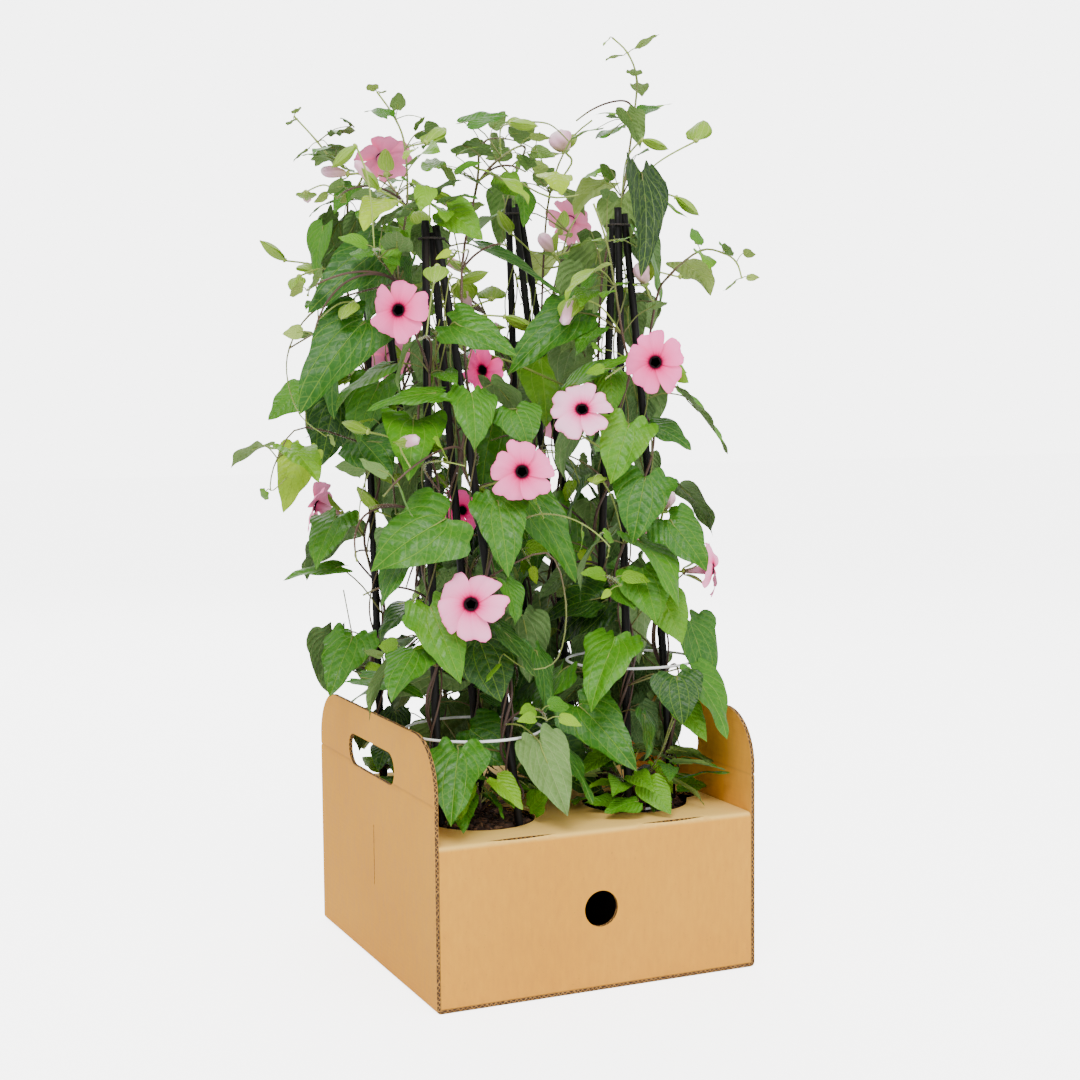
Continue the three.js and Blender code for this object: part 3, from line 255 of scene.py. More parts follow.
# %% Where stems grow
PLANTS = [
    Record(name="front_left", pot=(-POT.x, -POT.y), top=seen((-67, 85, 566)), turns=(150, 30, 270)),
    Record(name="front_right", pot=(POT.x, -POT.y), top=seen((74, 25, 580)), turns=(100, 335, 215)),
    Record(name="back_left", pot=(-POT.x, POT.y), top=seen((-121, -30, 574)), turns=(185, 50, 300)),
    Record(name="back_right", pot=(POT.x, POT.y), top=seen((-8, -75, 599)), turns=(200, 330, 80)),
]
TAILS = {
    "front_left 0": [(-90, 100, 520), (-84, 84, 576), (-86, 66, 621), (-94, 50, 645), (-108, 45, 666)],
    "front_left 1": [(-44, 92, 530), (-33, 60, 596), (-30, 34, 628), (-8, 20, 606), (20, 10, 591),
                     (44, 8, 592)],
    "front_right 1": [(102, 24, 508), (112, 46, 528), (134, 55, 545), (151, 55, 543), (161, 55, 536),
                      (165, 55, 524)],
    "front_right 2": [(62, 0, 530), (78, -10, 592), (88, -20, 653), (91, -25, 686), (84, -25, 706),
                      (72, -25, 718)],
    "back_left 0": [(-142, -26, 532), (-138, -18, 592), (-147, -14, 618), (-160, -10, 637), (-178, -10, 657)],
    "back_right 2": [(16, -50, 540), (22, -46, 600), (38, -45, 640), (56, -38, 656)],
}
SHOOTS = [
    (0, [(-132, 75, 512), (-157, 86, 498), (-173, 80, 474), (-176, 70, 450), (-168, 62, 424), (-150, 54, 408)]),
    (2, [(-165, 50, 415), (-186, 62, 392), (-191, 66, 368), (-178, 68, 378)]),
    (0, [(16, 100, 322), (30, 108, 286), (24, 112, 246), (3, 116, 238), (-16, 118, 250)]),
    (2, [(-136, -6, 236), (-146, -12, 284)]),
    (1, [(122, 40, 300), (138, 32, 308)]),
    (3, [(60, -110, 470), (86, -128, 500), (104, -138, 512)]),
    (2, [(-150, -70, 470), (-172, -92, 490), (-180, -110, 484)]),
    (3, [(70, -120, 260), (92, -134, 282)]),
    (0, [(-40, 92, 134), (-36, 104, 152)]),
    (1, [(92, 44, 142), (104, 56, 166), (112, 66, 190)]),
    (1, [(74, 46, 140), (66, 62, 158)]),
]
print(len(PLANTS), "plants,", len(TAILS), "led stem ends and", len(SHOOTS), "side shoots")

# %% [markdown]
# ## Where leaves hang
# Most leaves follow a rule, but the ones in front give the group its face, so they are placed one by one.
# A blade hangs from its stalk's end to its tip, and faces the viewer where no other way is given.

# %% Where leaves hang
LEAVES = [  # stalk end, tip, width, droop, face, tone from dark 0 to young 1
    ((-104, 78, 547), (-156, 98, 498), 50, 0.5, None, 0.2),
    ((-116, 84, 493), (-162, 104, 425), 58, 0.7, None, 0.25),
    ((-50, 120, 490), (-4, 132, 466), 38, 0.6, None, 0.4),
    ((-62, 122, 440), (-112, 128, 428), 30, 0.5, (0, 0.5, 1), 0.3),
    ((-122, 60, 404), (-98, 82, 378), 46, 0.7, None, 0.4),
    ((-56, 132, 350), (-110, 146, 314), 66, 0.5, None, 0.42),
    ((-68, 128, 286), (-46, 144, 232), 46, 0.6, None, 0.45),
    ((-146, 4, 303), (-190, 20, 296), 30, 0.4, (0, 0.3, 1), 0.4),
    ((-126, 46, 222), (-76, 82, 212), 32, 0.4, (0, 0.3, 1), 0.4),
    ((-140, 34, 206), (-96, 66, 180), 32, 0.5, (0, 0.5, 1), 0.4),
    ((-34, 104, 258), (-18, 116, 214), 52, 0.5, None, 0.3),
    ((9, 108, 187), (30, 122, 134), 38, 0.3, (0.2, -0.9, -0.3), 0.6),
    ((40, 72, 204), (82, 98, 158), 50, 0.5, None, 0.35),
    ((112, 52, 228), (116, 66, 194), 40, 0.6, None, 0.1),
    ((124, 24, 176), (168, 30, 168), 34, 0.4, (0, 0.4, 1), 0.45),
    ((118, 64, 204), (136, 80, 176), 24, 0.4, None, 0.7),
    ((92, 76, 144), (108, 90, 123), 26, 0.5, None, 0.65),
    ((84, 72, 132), (58, 84, 125), 26, 0.4, (0, 0.3, 1), 0.55),
    ((78, 86, 416), (64, 98, 372), 46, 0.6, None, 0.5),
    ((96, 68, 414), (125, 80, 396), 32, 0.6, (0, 0.5, 1), 0.35),
    ((90, 84, 376), (80, 96, 328), 50, 0.5, None, 0.25),
    ((108, 60, 344), (136, 70, 306), 42, 0.6, None, 0.35),
    ((-6, 102, 428), (4, 110, 400), 40, 0.7, (0, 0.6, 1), 0.4),
    ((40, 44, 500), (-12, 62, 452), 44, 0.7, None, 0.3),
    ((36, 60, 444), (88, 84, 466), 34, 0.5, (-0.2, 0.6, 1), 0.4),
    ((-32, 40, 550), (30, 44, 512), 26, 0.3, (0, 0.3, 1), 0.35),
    ((90, 30, 604), (88, 56, 524), 38, 0.6, (0.6, 0.8, 0.2), 0.1),
    ((58, 12, 594), (94, 14, 606), 34, 0.5, (0, 0.6, 1), 0.5),
    ((-8, 80, 372), (38, 94, 298), 50, 0.7, (0.5, 0.8, 0.2), 0.35),
    ((-172, 14, 444), (-198, 22, 420), 30, 0.5, None, 0.5),
    ((-170, 40, 396), (-184, 50, 350), 36, 0.4, None, 0.8),
    ((104, 66, 284), (118, 78, 250), 34, 0.5, None, 0.45),
    ((88, 72, 306), (98, 86, 268), 44, 0.6, None, 0.4),
    ((-44, 98, 128), (-30, 112, 142), 20, 0.3, None, 0.8),
    ((2, 96, 130), (16, 108, 146), 22, 0.4, None, 0.7),
    ((-42, 106, 186), (-8, 116, 160), 48, 0.6, None, 0.15),
    ((-54, 84, 572), (-28, 94, 550), 32, 0.6, None, 0.5),
    ((86, -20, 656), (56, -20, 656), 12, 0.4, (0, 0.3, 1), 0.85),
    ((91, -20, 658), (120, -20, 667), 14, 0.4, (0, 0.3, 1), 0.7),
    ((-16, 40, 604), (-4, 52, 586), 24, 0.5, None, 0.6),
]
print(len(LEAVES), "leaves are placed by hand")

# %% [markdown]
# ## Flowers, buds and hoops
# Flowers turn to the light on long stalks, each its own way and in its own pink. Hoops are given
# by the plant that they hold, their height and radius, and where they rest on a leaf stalk.

# %% Flowers, buds and hoops
FLOWERS = [  # throat, direction of the face, diameter, turn of the first petal, paleness
    ((-88, 122, 499), (-0.25, 1, 0.1), 45, 80, 0.2),
    ((-38, 150, 290), (0, 1, 0.45), 52, 60, 0.55),
    ((-1, 126, 383), (0.05, 1, 0.12), 47, 20, 0.3),
    ((43, 100, 427), (0.05, 1, 0.6), 46, 90, 0.9),
    ((97, 98, 461), (-0.05, 1, 0.05), 46, 100, 0.2),
    ((-31, 46, 457), (-0.6, 0.8, -0.2), 40, 0, 0.0),
    ((-108, 10, 622), (-0.2, -0.7, 0.6), 46, 90, 0.1),
    ((-48, 38, 350), (0.4, 0.8, 0.2), 34, 30, 0.0),
    ((146, 26, 302), (1, 0.25, 0.1), 42, 50, 0.6),
    ((40, -108, 586), (0.4, -0.8, 0.5), 42, 10, 0.3),
    ((-112, -84, 470), (-0.5, -1, 0.2), 46, 40, 0.4),
    ((30, -150, 420), (0.1, -1, 0.3), 46, 70, 0.5),
    ((98, -112, 330), (0.6, -1, 0.2), 45, 15, 0.35),
    ((-170, -40, 350), (-1, -0.3, 0.3), 44, 33, 0.4),
]
BUDS = [  # tip, direction, diameter, length
    ((-156, -8, 613), (-1, 0.3, 0.1), 9, 20),
    ((28, -52, 650), (-0.4, 0.5, 0.8), 19, 17),
    ((14, -34, 566), (-0.5, 0.4, 0.8), 11, 18),
    ((88, 52, 536), (-0.3, 0.6, 0.8), 12, 18),
    ((112, 62, 364), (0.4, 0.4, 0.9), 9, 16),
    ((60, -130, 530), (0.3, -0.5, 0.8), 11, 18),
]
HOOPS = [
    Record(name="hoop_front_left", plant=0, height=188, radius=52, rests=(15, 130, 250)),
    Record(name="hoop_front_right", plant=1, height=232, radius=50, rests=(40, 165, 290)),
    Record(name="hoop_low_front_right", plant=1, height=119.9, radius=28.3, rests=()),
]
print(len(FLOWERS), "flowers,", len(BUDS), "buds and", len(HOOPS), "hoops")

# %% [markdown]
# ## Sticks
# Each wigwam has three sticks. Their feet stand on a ring in the soil, their tips
# meet in a bundle, and a slight bow between keeps them from looking like ruled lines.


# %% Sticks, as lines
STICK_BOW = 10


def seen_turn(degrees):
    """A direction round a plant, given in degrees as seen from the corner."""
    x, y, _ = seen((math.cos(math.radians(degrees)), math.sin(math.radians(degrees)), 0))
    return math.atan2(y, x)


def axis_at(plant, share):
    """A wigwam's middle, from the pot (share 0) to the tie (share 1), at floor level."""
    return add((*plant.pot, 0), sub((plant.top[0], plant.top[1], 0), (*plant.pot, 0)), share)


def stick_at(plant, i, z):
    """The middle of a plant's stick at a height."""
    out = polar(seen_turn(plant.turns[i]))
    share = (z - SHELF) / (plant.top[2] - SHELF)
    x, y, _ = axis_at(plant, share)
    spread = STICK.ring + (STICK.bundle - STICK.ring) * share
    bow = STICK_BOW * share * (1 - share)
    return add((x, y, z), out, spread + (bow if share > 0 else 0))


def hoop_middle(hoop):
    plant = PLANTS[hoop.plant]
    x, y, _ = axis_at(plant, max(0, (hoop.height - SHELF) / (plant.top[2] - SHELF)))
    return (x, y, hoop.height)


print("stick tips at", [round(plant.top[2]) for plant in PLANTS], "mm")

# %% [markdown]
# ## Blades
# A leaf, a petal and a bract are one form: a blade with a mid rib from its stalk to its tip, that droops
# along the rib and folds along it. s runs along the rib and t to either side, as a share of half the width.

# %% Blades
LEAF_HALF = [(-0.13, 0.48), (0.05, 0.98), (0.3, 0.7), (0.68, 0.44)]
PLAIN_HALF = [(-0.13, 0.55), (0.06, 0.97), (0.5, 0.58)]
SMALL_HALF = [(0.08, 0.92), (0.6, 0.56)]
PETAL_HALF = [(0.5, 0.8), (0.97, 0.62)]
BRACT_HALF = [(0.45, 0.95)]


def blade(base, along, face, length, width, **more):
    """One blade, with the values of a plain leaf wherever no others are given."""
    d = unit(along)
    known = dict(droop=0.5, fold=0.16, roll=0.0, neck=STALK, blunt=False, stalk=[], tone=0.4,
                 half=PLAIN_HALF if length > 34 else SMALL_HALF)
    return Record(**{**known, "base": base, "dir": d, "face": across(face, d), "length": length,
                              "width": width, **more})


def blade_points(leaf, s, t, soft=0.0):
    """Places on a blade, and how its surface leans there, for arrays of s and t."""
    s, t = np.asarray(s, float), np.asarray(t, float)
    bend = leaf.droop * np.maximum(s, 0)
    ahead = np.where(s > 0, np.sin(bend) / leaf.droop, s)
    drop = np.where(s > 0, (1 - np.cos(bend)) / leaf.droop, 0)
    base, along, face = (np.array(v) for v in (leaf.base, leaf.dir, leaf.face))
    side = np.array(cross(leaf.dir, leaf.face))
    up = face * np.cos(bend)[:, None] + along * np.sin(bend)[:, None]
    half = leaf.width / 2 * t
    spread = np.sqrt(half**2 + soft**2) - soft
    points = base + along * (ahead * leaf.length)[:, None] - face * (drop * leaf.length)[:, None]
    return points + side * half[:, None] + up * (spread * leaf.fold + half * leaf.roll)[:, None], up


level_blade = blade((0, 0, 0), (1, 0, 0), (0, 0, 1), 60, 48)
print("a level blade of 60 mm droops to", blade_points(level_blade, [1], [0])[0][0].round(1))

# %% [markdown]
# ## Blades as triangles
# For the test whether a leaf has room, a few triangles round one point on the
# mid rib are enough. Their edges count as thin rods, and so does the stalk.


# %% Blades as triangles
def blade_outline(leaf):
    """The outline's corners in (s, t), from the stalk round the tip and back."""
    stalk = leaf.neck / (leaf.width / 2)
    tip = [] if leaf.blunt else [(1, 0)]
    return [(0, stalk), *leaf.half, *tip, *[(s, -t) for s, t in reversed(leaf.half)], (0, -stalk)]


def leaf_shape(leaf):
    """The blade as triangles round a point on the mid rib, with its edges and the stalk's stretches."""
    s, t = zip(*blade_outline(leaf), (0.42, 0))
    points = [tuple(p) for p in blade_points(leaf, s, t)[0]]
    heart = points.pop()
    n = len(points)
    faces = [(heart, points[i], points[(i + 1) % n]) for i in range(n)]
    edges = []
    for i in range(n):
        edges.append((points[i], points[(i + 1) % n], BLADE / 2))
        if i % 3 == 1:
            edges.append((heart, points[i], BLADE / 2))
    stalk = [(p, leaf.stalk[i + 1], STALK) for i, p in enumerate(leaf.stalk[:-1])]
    return Record(outline=points, faces=faces, edges=edges, stalk=stalk)


print("corners of a plain leaf's outline:", len(blade_outline(level_blade)))

# %% [markdown]
# ## Distances and crossings
# Leaves don't grow through each other, so two questions are asked thousands of times: how far two stretches
# are apart, and whether a stretch goes through a triangle. Both are answered for whole arrays at once.


# %% Distances and crossings
def line_gaps(p1, q1, p2, q2):
    """Shortest distances between stretches, over arrays that spread against each other."""
    d1, d2, r = q1 - p1, q2 - p2, p1 - p2
    a, e, f = (d1 * d1).sum(-1), (d2 * d2).sum(-1), (d2 * r).sum(-1)
    c, b = (d1 * r).sum(-1), (d1 * d2).sum(-1)
    apart = a * e - b * b
    s = np.where(apart > 1e-9, np.clip((b * f - c * e) / np.where(apart > 1e-9, apart, 1), 0, 1), 0)
    t = (b * s + f) / e
    s = np.where(t < 0, np.clip(-c / a, 0, 1), np.where(t > 1, np.clip((b - c) / a, 0, 1), s))
    t = np.clip(t, 0, 1)
    return np.linalg.norm(p1 + d1 * s[..., None] - p2 - d2 * t[..., None], axis=-1)


def pierces(p, q, abc):
    """Whether stretches go through triangles, over arrays that spread against each other."""
    a, d = abc[..., 0, :], q - p
    e1, e2 = abc[..., 1, :] - a, abc[..., 2, :] - a
    h = np.cross(d, e2)
    det = (e1 * h).sum(-1)
    flat = np.abs(det) < 1e-9
    det = np.where(flat, 1, det)
    s = p - a
    u = (s * h).sum(-1) / det
    k = np.cross(s, e1)
    v, t = (d * k).sum(-1) / det, (e2 * k).sum(-1) / det
    slack = 1.5 / np.linalg.norm(d, axis=-1)
    rim = 0.03  # a share of the triangle that counts as its edge's thickness
    return ~flat & (u > -rim) & (v > -rim) & (u + v < 1 + rim) & (t > -slack) & (t < 1 + slack)


pencils = np.array([(-9, 0, 0), (9, 0, 0), (0, -9, 5), (0, 9, 5)], float)
print("two crossed pencils are", float(line_gaps(*pencils)), "mm apart")

# %% [markdown]
# ## What is in place
# Stems, stalks and leaf edges are kept as rods, and leaves and boards as triangles. The
# arrays only fill up, which is faster than growing a list, and each rod knows whose it is.


# %% What is in place
class Crowd:
    """Rods and triangles that are in place, in arrays that only fill up."""

    MOST = 60000

    def __init__(self):
        self.rods, self.faces = 0, 0
        self.ends = np.zeros((self.MOST, 2, 3))
        self.radius = np.zeros(self.MOST)
        self.owner = np.zeros(self.MOST, int)
        self.abc = np.zeros((self.MOST, 3, 3))
        self.middle = np.zeros((self.MOST, 3))
        self.reach = np.zeros(self.MOST)
        self.codes = {}

    def code(self, owner):
        return self.codes.setdefault(owner, len(self.codes))

    def rod(self, a, b, radius, owner):
        n = self.rods
        self.ends[n], self.radius[n], self.owner[n] = (a, b), radius, self.code(owner)
        self.rods += 1

    def face(self, abc, reach=None):
        n = self.faces
        self.abc[n], self.middle[n] = abc, middle(abc)
        self.reach[n] = reach or np.linalg.norm(self.abc[n] - self.middle[n], axis=1).max()
        self.faces += 1


crowd = Crowd()


def over_shelf(p):
    in_hole = any(math.hypot(p[0] - q.pot[0], p[1] - q.pot[1]) < POT_HOLE - 4 for q in PLANTS)
    return p[2] > SHELF + 2.5 or (in_hole and p[2] > SOIL.crown + 1)


def stretches(edges):
    """Ends and half widths of edges, as arrays."""
    ends = np.array([(p, q) for p, q, _ in edges]).reshape(-1, 2, 3)
    return ends[:, 0], ends[:, 1], np.array([half for _, _, half in edges])


print("room for", Crowd.MOST, "rods and as many triangles")

# %% [markdown]
# ## Room for one more
# Neighbours are picked out first by their distance from the new shape's
# middle. Only these are tested: edges against rods, rods against the blade,
# the stalk against rods of other plants, and all of it against blades.


# %% Room for one more
def has_room(shape, owner, own=None, clear=CLEAR):
    """Whether a shape fits among what is in place; own names something that it may touch."""
    if not all(over_shelf(p) for p in shape.outline):
        return False
    spots = np.array([*shape.outline, *[p for p, _, _ in shape.stalk]])
    m = np.array(middle([tuple(p) for p in spots]))
    reach = np.linalg.norm(spots - m, axis=1).max() + 4
    n = crowd.rods
    a, b, radius, owners = crowd.ends[:n, 0], crowd.ends[:n, 1], crowd.radius[:n], crowd.owner[:n]
    close = line_gaps(a, b, m, m + np.array([0, 0, 0.01])) <= reach + radius
    if own is not None:
        close &= owners != crowd.code(own)
    a, b, radius, owners = a[close, None], b[close, None], radius[close, None], owners[close]
    p, q, half = stretches(shape.edges)
    if len(p) and (line_gaps(a, b, p, q) < radius + half + clear).any():
        return False
    faces = np.array(shape.faces) if shape.faces else None
    if faces is not None and pierces(a, b, faces).any():
        return False
    sp, sq, shalf = stretches(shape.stalk)
    if len(sp):
        other = owners != crowd.code(owner)
        if (line_gaps(a[other], b[other], sp, sq) < radius[other] + shalf + clear).any():
            return False
    k = crowd.faces
    close = np.linalg.norm(crowd.middle[:k] - m, axis=1) <= reach + crowd.reach[:k]
    tested = np.concatenate([p, sp]), np.concatenate([q, sq])
    if pierces(tested[0][:, None], tested[1][:, None], crowd.abc[:k][close]).any():
        return False
    if faces is not None and len(sp) > 1 and pierces(sp[:-1, None], sq[:-1, None], faces).any():
        return False
    return True


def settle(shape, owner):
    """Puts a shape in place."""
    for a, b, radius in [*shape.edges, *shape.stalk]:
        crowd.rod(a, b, radius, owner)
    for abc in shape.faces:
        crowd.face(abc)


probe = Record(outline=[(0, 0, 400), (0, 0, 410)], faces=[], edges=[((0, 0, 400), (0, 0, 410), 1)], stalk=[])
print("a bud in the open has room:", has_room(probe, "probe"))

# %% [markdown]
# ## Growth: what stands first
# Sticks, ties, hoops and the carton's side panels are in
# place before anything grows, so they are laid first.

# %% Growth: what stands first
def lay_hard():
    """Puts sticks, ties, hoops and side panels among what is in place."""
    for plant in PLANTS:
        for i in range(3):
            line = [stick_at(plant, i, z) for z in (SHELF, SHELF + 60, SHELF + 250, plant.top[2])]
            for a, b in zip(line, line[1:]):
                crowd.rod(a, b, STICK.foot, "stick")
        x, y, z = plant.top[0], plant.top[1], plant.top[2] - TIE.below
        crowd.rod((x, y, z - 1), (x, y, z + 1), 9, "tie")
    for hoop in HOOPS:
        ring = [add(hoop_middle(hoop), polar(2 * math.pi * k / HOOP_SIDES), hoop.radius)
                for k in range(HOOP_SIDES + 1)]
        for a, b in zip(ring, ring[1:]):
            crowd.rod(a, b, HOOP_WIRE, hoop.name)
    y = DEPTH / 2
    for x in (-WIDTH / 2, -WIDTH / 2 + BOARD, WIDTH / 2 - BOARD, WIDTH / 2):
        corners = [(x, -y, 0), (x, y, 0), (x, y, SIDE_TOP), (x, -y, SIDE_TOP)]
        for face in ((0, 1, 2), (0, 2, 3)):
            crowd.face([corners[k] for k in face], 260)
        crowd.rod(corners[2], corners[3], BOARD / 2, "carton")


lay_hard()
print(crowd.rods, "rods and", crowd.faces, "triangles stand before anything grows")

# %% [markdown]
# ## Growth: stems
# A stem leaves its root crown, twines up a stick one way round as the species does, and hangs or reaches
# out where it gets free. The steps and their order are the CAD's, so each chance number meets the same use.

# %% Growth: stems
draw = drawer(SEED)
stems = []


def clear_of_sticks(a, b):
    n = crowd.rods
    sticks = crowd.owner[:n] == crowd.code("stick")
    gaps = line_gaps(crowd.ends[:n, 0][sticks], crowd.ends[:n, 1][sticks], np.array(a), np.array(b))
    return bool((gaps > crowd.radius[:n][sticks] + STEM.thick + SOCKET).all())


def nearest_stem(plant, p, below):
    """Places on stems, the nearest first; those that are not well below the point count as further."""
    found = []
    for stem in stems:
        if plant is None or stem.plant is plant:
            for q in stem.line[1:-1]:
                found.append((size(sub(p, q)) + max(0, below - (p[2] - q[2])) * 1.5, stem, q))
    return [(stem, q) for _, stem, q in sorted(found, key=lambda entry: entry[0])]


print("stems before the search:", len(stems))

# %% [markdown]
# ## Growth: twining stems
# Each plant sends three stems up its sticks, and a few side shoots leave them. Every fourth point of a
# stem is a node where leaves can grow. Near the tops a stem lets go of its stick and leads on by itself.


# %% Growth: twining stems
def lay_twiner(plant, i):
    """A stem from the root crown up one stick, with its free end."""
    line = [(*plant.pot, SOIL.crown + 2.5)]
    foot = stick_at(plant, i, STEM.start)
    phase = math.atan2(plant.pot[1] - foot[1], plant.pot[0] - foot[0]) + math.radians(draw(-40, 40))
    near = 0.14  # how far its second point is on the way to the stick
    line.append((*(p * (1 - near) + f * near for p, f in zip(plant.pot, foot)), SOIL.crown + 7))
    nodes = []
    step = STEM.pitch / STEM.turn_steps
    leave = SHELF + (plant.top[2] - SHELF) * STEM.leave
    j = 0
    while STEM.start + j * step < leave:
        turn = phase + 2 * math.pi * j / STEM.turn_steps
        line.append(add(stick_at(plant, i, STEM.start + j * step), polar(turn), STEM.twine))
        if j % 4 == i:
            nodes.append(len(line) - 1)
        j += 1
    out = polar(seen_turn(plant.turns[i]))
    sideways = (-out[1], out[0], 0)
    sway, stretch = draw(-0.5, 0.5), draw(0.85, 1.1)

    def tail_from(start):
        named = TAILS.get(f"{plant.name} {i}")
        if named:
            return [seen(p) for p in named]
        return [add(add(add(start, out, far), sideways, far * sway), (0, 0, 1), up * stretch)
                for far, up in ((10, 26), (20, 58), (31, 88), (48, 112))]

    tail = tail_from(line[-1])
    while not clear_of_sticks(line[-1], tail[0]) and len(line) > 8:
        line.pop()
        tail = tail_from(line[-1])
    while nodes[-1] >= len(line):
        nodes.pop()
    free = len(line)
    for k, p in enumerate(tail):
        line.append(p)
        if k in (1, 4):
            nodes.append(len(line) - 1)
    return Record(plant=plant, line=line, thick=STEM.thick, thin=STEM.thin, nodes=nodes, free=free)


def lay_stems():
    """All twining stems and side shoots, and then all of them among what is in place."""
    for plant in PLANTS:
        for i in range(3):
            stems.append(lay_twiner(plant, i))
    for owner, points in SHOOTS:
        plant, path = PLANTS[owner], [seen(p) for p in points]
        at = next(q for _, q in nearest_stem(plant, path[0], 8) if clear_of_sticks(q, path[0]))
        line = [at, *path]
        nodes = [k for k in range(len(line)) if k > 1 and k % 3 == len(line) % 3]
        stems.append(Record(plant=plant, line=line, thick=1.3, thin=0.9, nodes=nodes, free=1))
    for stem in stems:
        for a, b in zip(stem.line, stem.line[1:]):
            crowd.rod(a, b, stem.thick, stem.plant.name)


lay_stems()
print(len(stems), "stems,", sum(len(stem.line) for stem in stems), "points")

# %% [markdown]
# ## Growth: flowers and buds
# Flowers come before the leaves, because they need their place in front. Each tries its
# place and then places a little nearer or further, and stands as five blades round a tube.

# %% Growth: flowers and buds
flowers, leaves = [], []
NUDGES = (0, 7, -7, 14, -14, 21, -21, 28)  # nearer to the viewer or further away


def lay_flower(at, look, diameter, turn, pale, name):
    face = unit(seen(look))
    start = across((0, 0, 1), face)
    side = cross(start, face)
    for nearer in NUDGES:
        throat = seen(add(at, (0, nearer, 0)))
        petals = []
        for n in range(5):
            a = math.radians(turn + 72 * n)
            out = add(add((0, 0, 0), side, math.cos(a)), start, math.sin(a))
            petals.append(blade(add(throat, out, 3), unit(add(out, face, 0.12)), face, diameter / 2 - 3,
                                diameter * 0.47, droop=0.4, fold=0, roll=0.18, neck=1.4, half=PETAL_HALF,
                                blunt=True))
        heel = add(throat, face, -TUBE.length)
        body = Record(outline=[heel, throat], faces=[], edges=[(throat, heel, TUBE.throat)], stalk=[])
        shapes = [*map(leaf_shape, petals), body]
        if all(has_room(shape, name) for shape in shapes):
            for shape in shapes:
                settle(shape, name)
            flowers.append(Record(name=name, throat=throat, heel=heel, face=face, petals=petals,
                                           diameter=diameter, pale=pale, bud=None))
            return


def lay_bud(at, look, wide, long, name):
    face = unit(seen(look))
    for nearer in NUDGES:
        tip = seen(add(at, (0, nearer, 0)))
        heel = add(tip, face, -long)
        body = Record(outline=[heel, tip], faces=[], edges=[(tip, add(heel, face, -6), wide * 0.8)],
                               stalk=[])
        if has_room(body, name):
            settle(body, name)
            flowers.append(Record(name=name, heel=heel, face=face, bud=(tip, wide, long)))
            return


print("a flower has", len(NUDGES), "places to try")

# %% [markdown]
# ## Growth: flower stalks and bracts
# A flower is carried by the nearest stem that its stalk reaches without
# running into anything, from behind, and two bracts clasp its foot.


# %% Growth: flower stalks and bracts
def flower_stalk(seat, face, name):
    """From the nearest stem, in behind the flower and up to its seat, well clear of the tube."""
    tail = add(seat, face, -10)
    axis = np.array(seat), np.array(add(seat, face, TUBE.length))
    for stem, at in nearest_stem(None, tail, 10)[:60]:
        if line_gaps(np.array(at), np.array(tail), *axis) < 7:
            continue
        stalk = [(at, tail, STALK), (tail, seat, STALK)]
        shape = Record(outline=[seat], faces=[], edges=[], stalk=stalk)
        if has_room(shape, stem.plant.name, name):
            return Record(line=[at, tail, seat], plant=stem.plant, shape=shape)
    return None


def bract(seat, face, side, length, width, splay):
    """One of the two leafy scales that clasp a flower's foot."""
    out = across(side, face)
    base = add(add(seat, out, 3.1), face, -1.3)
    return blade(base, add(face, out, splay), add(out, face, -0.3), length, width, droop=-0.5, fold=-0.3,
                 neck=1.2, half=BRACT_HALF)


def lay_bloom():
    """All flowers and buds, and then their stalks and bracts."""
    for k, (at, look, diameter, turn, pale) in enumerate(FLOWERS):
        lay_flower(at, look, diameter, turn, pale, f"corolla_{k + 1}")
    for k, (at, look, wide, long) in enumerate(BUDS):
        lay_bud(at, look, wide, long, f"bud_{k + 1}")
    for flower in flowers:
        flower.seat = add(flower.heel, flower.face, -GAP - 0.1)
        flower.grown = flower_stalk(add(flower.seat, flower.face, -TUBE.seat_height), flower.face, flower.name)
        if flower.grown:
            settle(flower.grown.shape, flower.grown.plant.name)
            side = across((0, 0, 1), flower.face)
            form = (19, 13, 0.3)
            if flower.bud:
                _, wide, long = flower.bud
                form = (long * 0.9, wide * 1.1, wide / long * 1.15)
            flower.bracts = [bract(flower.seat, flower.face, turn, *form) for turn in both_ways(side)]


lay_bloom()
print(len(flowers), "flowers and buds")

# %% [markdown]
# ## Growth: leaves
# First come the leaves whose stalks carry the hoops, then the leaves placed
# by hand, and then a pair of leaves at each node of the stems. A leaf that
# finds no room tries a few more ways, and is left out if all fail.

# %% Growth: leaves
def try_leaf(leaf, plant, touching=None, clear=CLEAR):
    """Grows a leaf if it has room."""
    shape = leaf_shape(leaf)
    if not has_room(shape, plant.name, touching, clear):
        return False
    settle(shape, plant.name)
    leaves.append((plant, leaf))
    return True


def hoop_leaf(hoop, degrees):
    """A leaf whose stalk bends over just under a hoop and carries it."""
    plant, below = PLANTS[hoop.plant], HOOP_WIRE * 0.87 + GAP + STALK
    for swing in (0, 8, -8, 16, -16, 24, -24, 32, -32, 40, -40):
        out = polar(seen_turn(degrees + swing))
        knee = add(add(hoop_middle(hoop), out, hoop.radius - HOOP_WIRE / 2), (0, 0, -1), below)
        base = add(add(knee, out, 9), (0, 0, -1), 3)
        for _, at in nearest_stem(plant, knee, 10)[:12]:
            if try_leaf(blade(base, add(out, (0, 0, -1), 0.9), add((0, 0, 1), out, 0.9), 58, 48,
                              stalk=[at, knee, base], tone=0.3), plant, hoop.name):
                return


